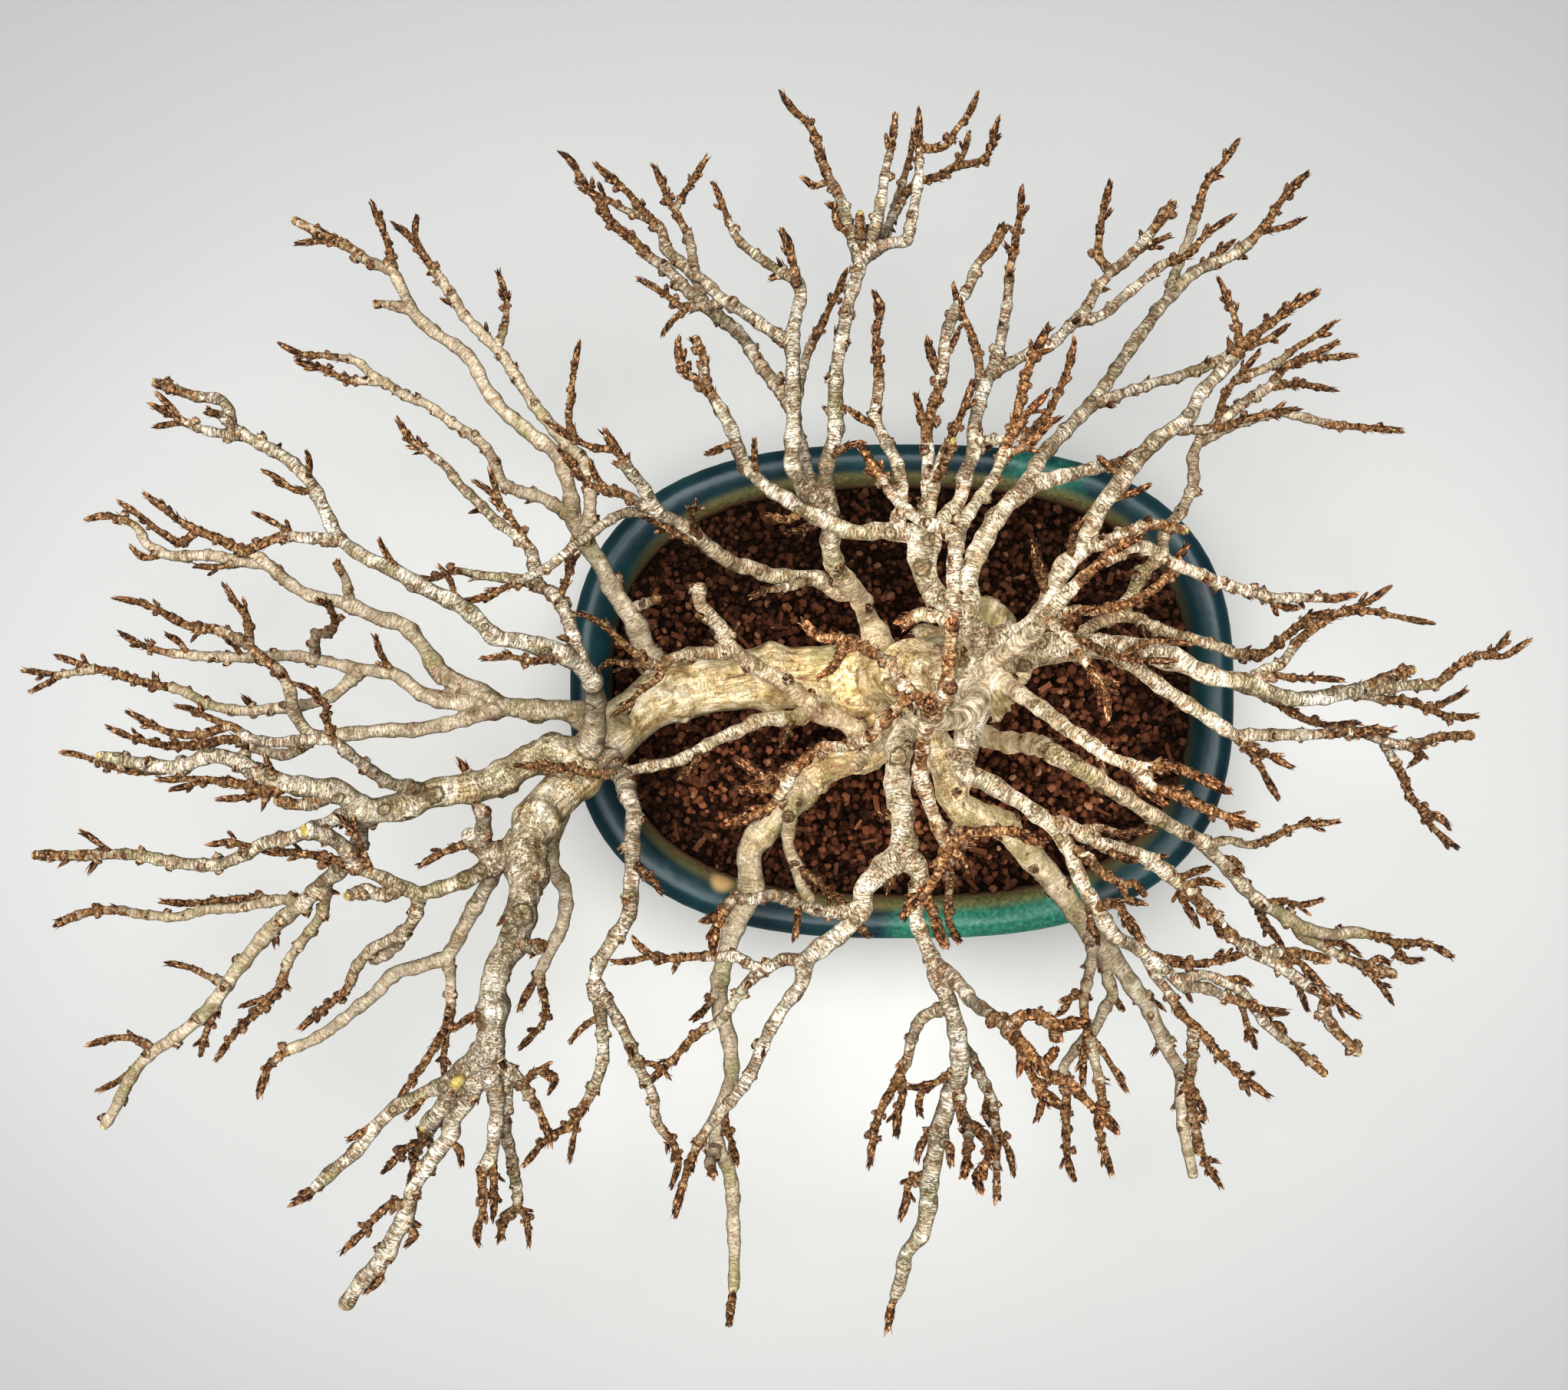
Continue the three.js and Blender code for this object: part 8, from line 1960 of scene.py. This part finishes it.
# Tree
def make_tree():
    strands = read_strands(WOOD)
    bark, husk, stub, cut = bark_finish(), husk_finish(), stub_finish(), cut_finish()
    thick = {name: s for name, s in strands.items() if thick_end(s) > 0}
    for region, groups in REGIONS.items():
        members = [s for s in strands.values() if s.group in groups]
        core = [s for s in members if s.name in thick]
        if core:
            finish_piece(fuse_wood(f"{region}_wood", core), bark, "bark", "tree")
        twigs, husks, stubs = Heap(), Heap(), Heap()
        for strand in members:
            reach = thick_end(strand)
            if reach and reach > strand.length - 0.6:
                add_side_buds(husks, stubs, strand, strand.carrier_radius + 1, strand.length - 1, 0.0,
                              np.random.default_rng(TWIG_SEED + strand.number))
                continue
            add_twig(twigs, husks, stubs, strand, max(0.0, reach - TWIG_OVERLAP))
        parts = (("twigs", twigs, bark), ("bud_scales", husks, husk), ("bud_stubs", stubs, stub))
        for label, heap, material in parts:
            if heap.count:
                add_piece(f"{region}_{label}", heap, material, "bark", "tree")
    cuts = Heap()
    add_cut_faces(cuts, [strand for strand in strands.values() if strand.end == "cut"])
    add_piece("cut_faces", cuts, cut, "bark", "tree")


def model_cut():
    """A thin disc of unit width with a softened edge."""
    bpy.ops.object.select_all(action="DESELECT")
    bpy.ops.mesh.primitive_cylinder_add(vertices=18, radius=0.5, depth=1, location=(0, 0, 0.5))
    disc = bpy.context.object
    bpy.ops.object.transform_apply(location=True)
    modify(disc, "BEVEL", width=0.05, segments=1, limit_method="ANGLE")
    bpy.ops.object.mode_set(mode="EDIT")
    poke_ends(disc)
    bpy.ops.object.mode_set(mode="OBJECT")
    return template(disc)


def add_cut_faces(heap, strands):
    """Bare wood on the ends of cut branches, each sawn on a slant that looks up."""
    disc = model_cut()
    for strand in strands:
        radius = strand.radius[-1]
        stout = radius > STOUT_CUT
        width = (0.95 if stout else 1.6) * radius
        tip, _, ahead, side, _ = strand.at(np.array([strand.length]))
        face = unit(ahead + (0, 0, 1.6 if stout else 0.3))
        spot = tip + ahead * 0.2 * radius - face * 0.5 + (0, 0, 0.75 * radius if stout else 0)
        scatter(heap, disc, spot, face, side, np.array([[width, 0.65 * width, 0.5 + 0.35 * radius]]))


def make_screens(plastic, wire):
    for node, material in (("drain_screen", plastic), ("screen_wire", wire)):
        for side in ("left", "right"):
            cover(frame["nodes"][f"{node}_{side}"], material)


# Floor, light and camera
def make_stage():
    bpy.ops.object.select_all(action="DESELECT")
    bpy.ops.mesh.primitive_plane_add(size=FLOOR_SIZE, location=(0, 0, 0))
    floor = bpy.context.object
    floor.name = "floor"
    paper = Finish("pale floor", Roughness=0.9, Specular_IOR_Level=0.1)
    # Painted pool of light: the floor is painted palest in an oval near the pot and darker outwards, which
    # lifts the shadow of the pot and tree.
    tone = paper.ramp(
        paper.away(paper.scaled(paper.place(), (0.72, 1.0, 1.0)), FLOOR_PAINTED_LIGHT_MIDDLE),
        (0.06, (0.55, 0.55, 0.54)),
        (0.095, (0.475, 0.477, 0.471)),
        (0.13, (0.385, 0.388, 0.386)),
        (0.165, (0.345, 0.349, 0.348)),
        (0.21, (0.305, 0.31, 0.31)),
        (0.29, (0.26, 0.264, 0.266)),
    )
    paper.set(paper.shader, {"Base Color": tone})
    floor.data.materials.append(paper.material)
    world = bpy.data.worlds.new("soft room")
    bpy.context.scene.world = world
    world.use_nodes = True
    sky = world.node_tree.nodes["Background"]
    sky.inputs["Color"].default_value = SKY_COLOUR
    sky.inputs["Strength"].default_value = SKY_STRENGTH
    for name, spot, size, power, colour in LIGHTS:
        bpy.ops.object.light_add(type="AREA", location=spot)
        light = bpy.context.object
        light.name = name
        light.data.shape = "DISK"
        light.data.size = size
        light.data.energy = power
        light.data.color = colour
        light.rotation_euler = Vector(spot).to_track_quat("Z", "Y").to_euler()


def set_colours():
    view = bpy.context.scene.view_settings
    view.view_transform = "Standard"
    view.look = "High Contrast"


def make_camera():
    bpy.ops.object.camera_add(location=tuple(EYE_FOOT + (0, 0, EYE_HEIGHT * MM)), rotation=(0, 0, 0))
    camera = bpy.context.object
    camera.data.sensor_width = SENSOR_WIDTH
    camera.data.lens = FOCAL_PIXELS / PHOTO_WIDTH * SENSOR_WIDTH
    camera.data.clip_start = 0.01
    bpy.context.scene.camera = camera


set_colours()
make_camera()
make_stage()
make_pot(glaze_finish())
make_soil(soil_bed_finish(), granule_finish())
make_screens(mesh_plastic_finish(), wire_finish())
make_tree()
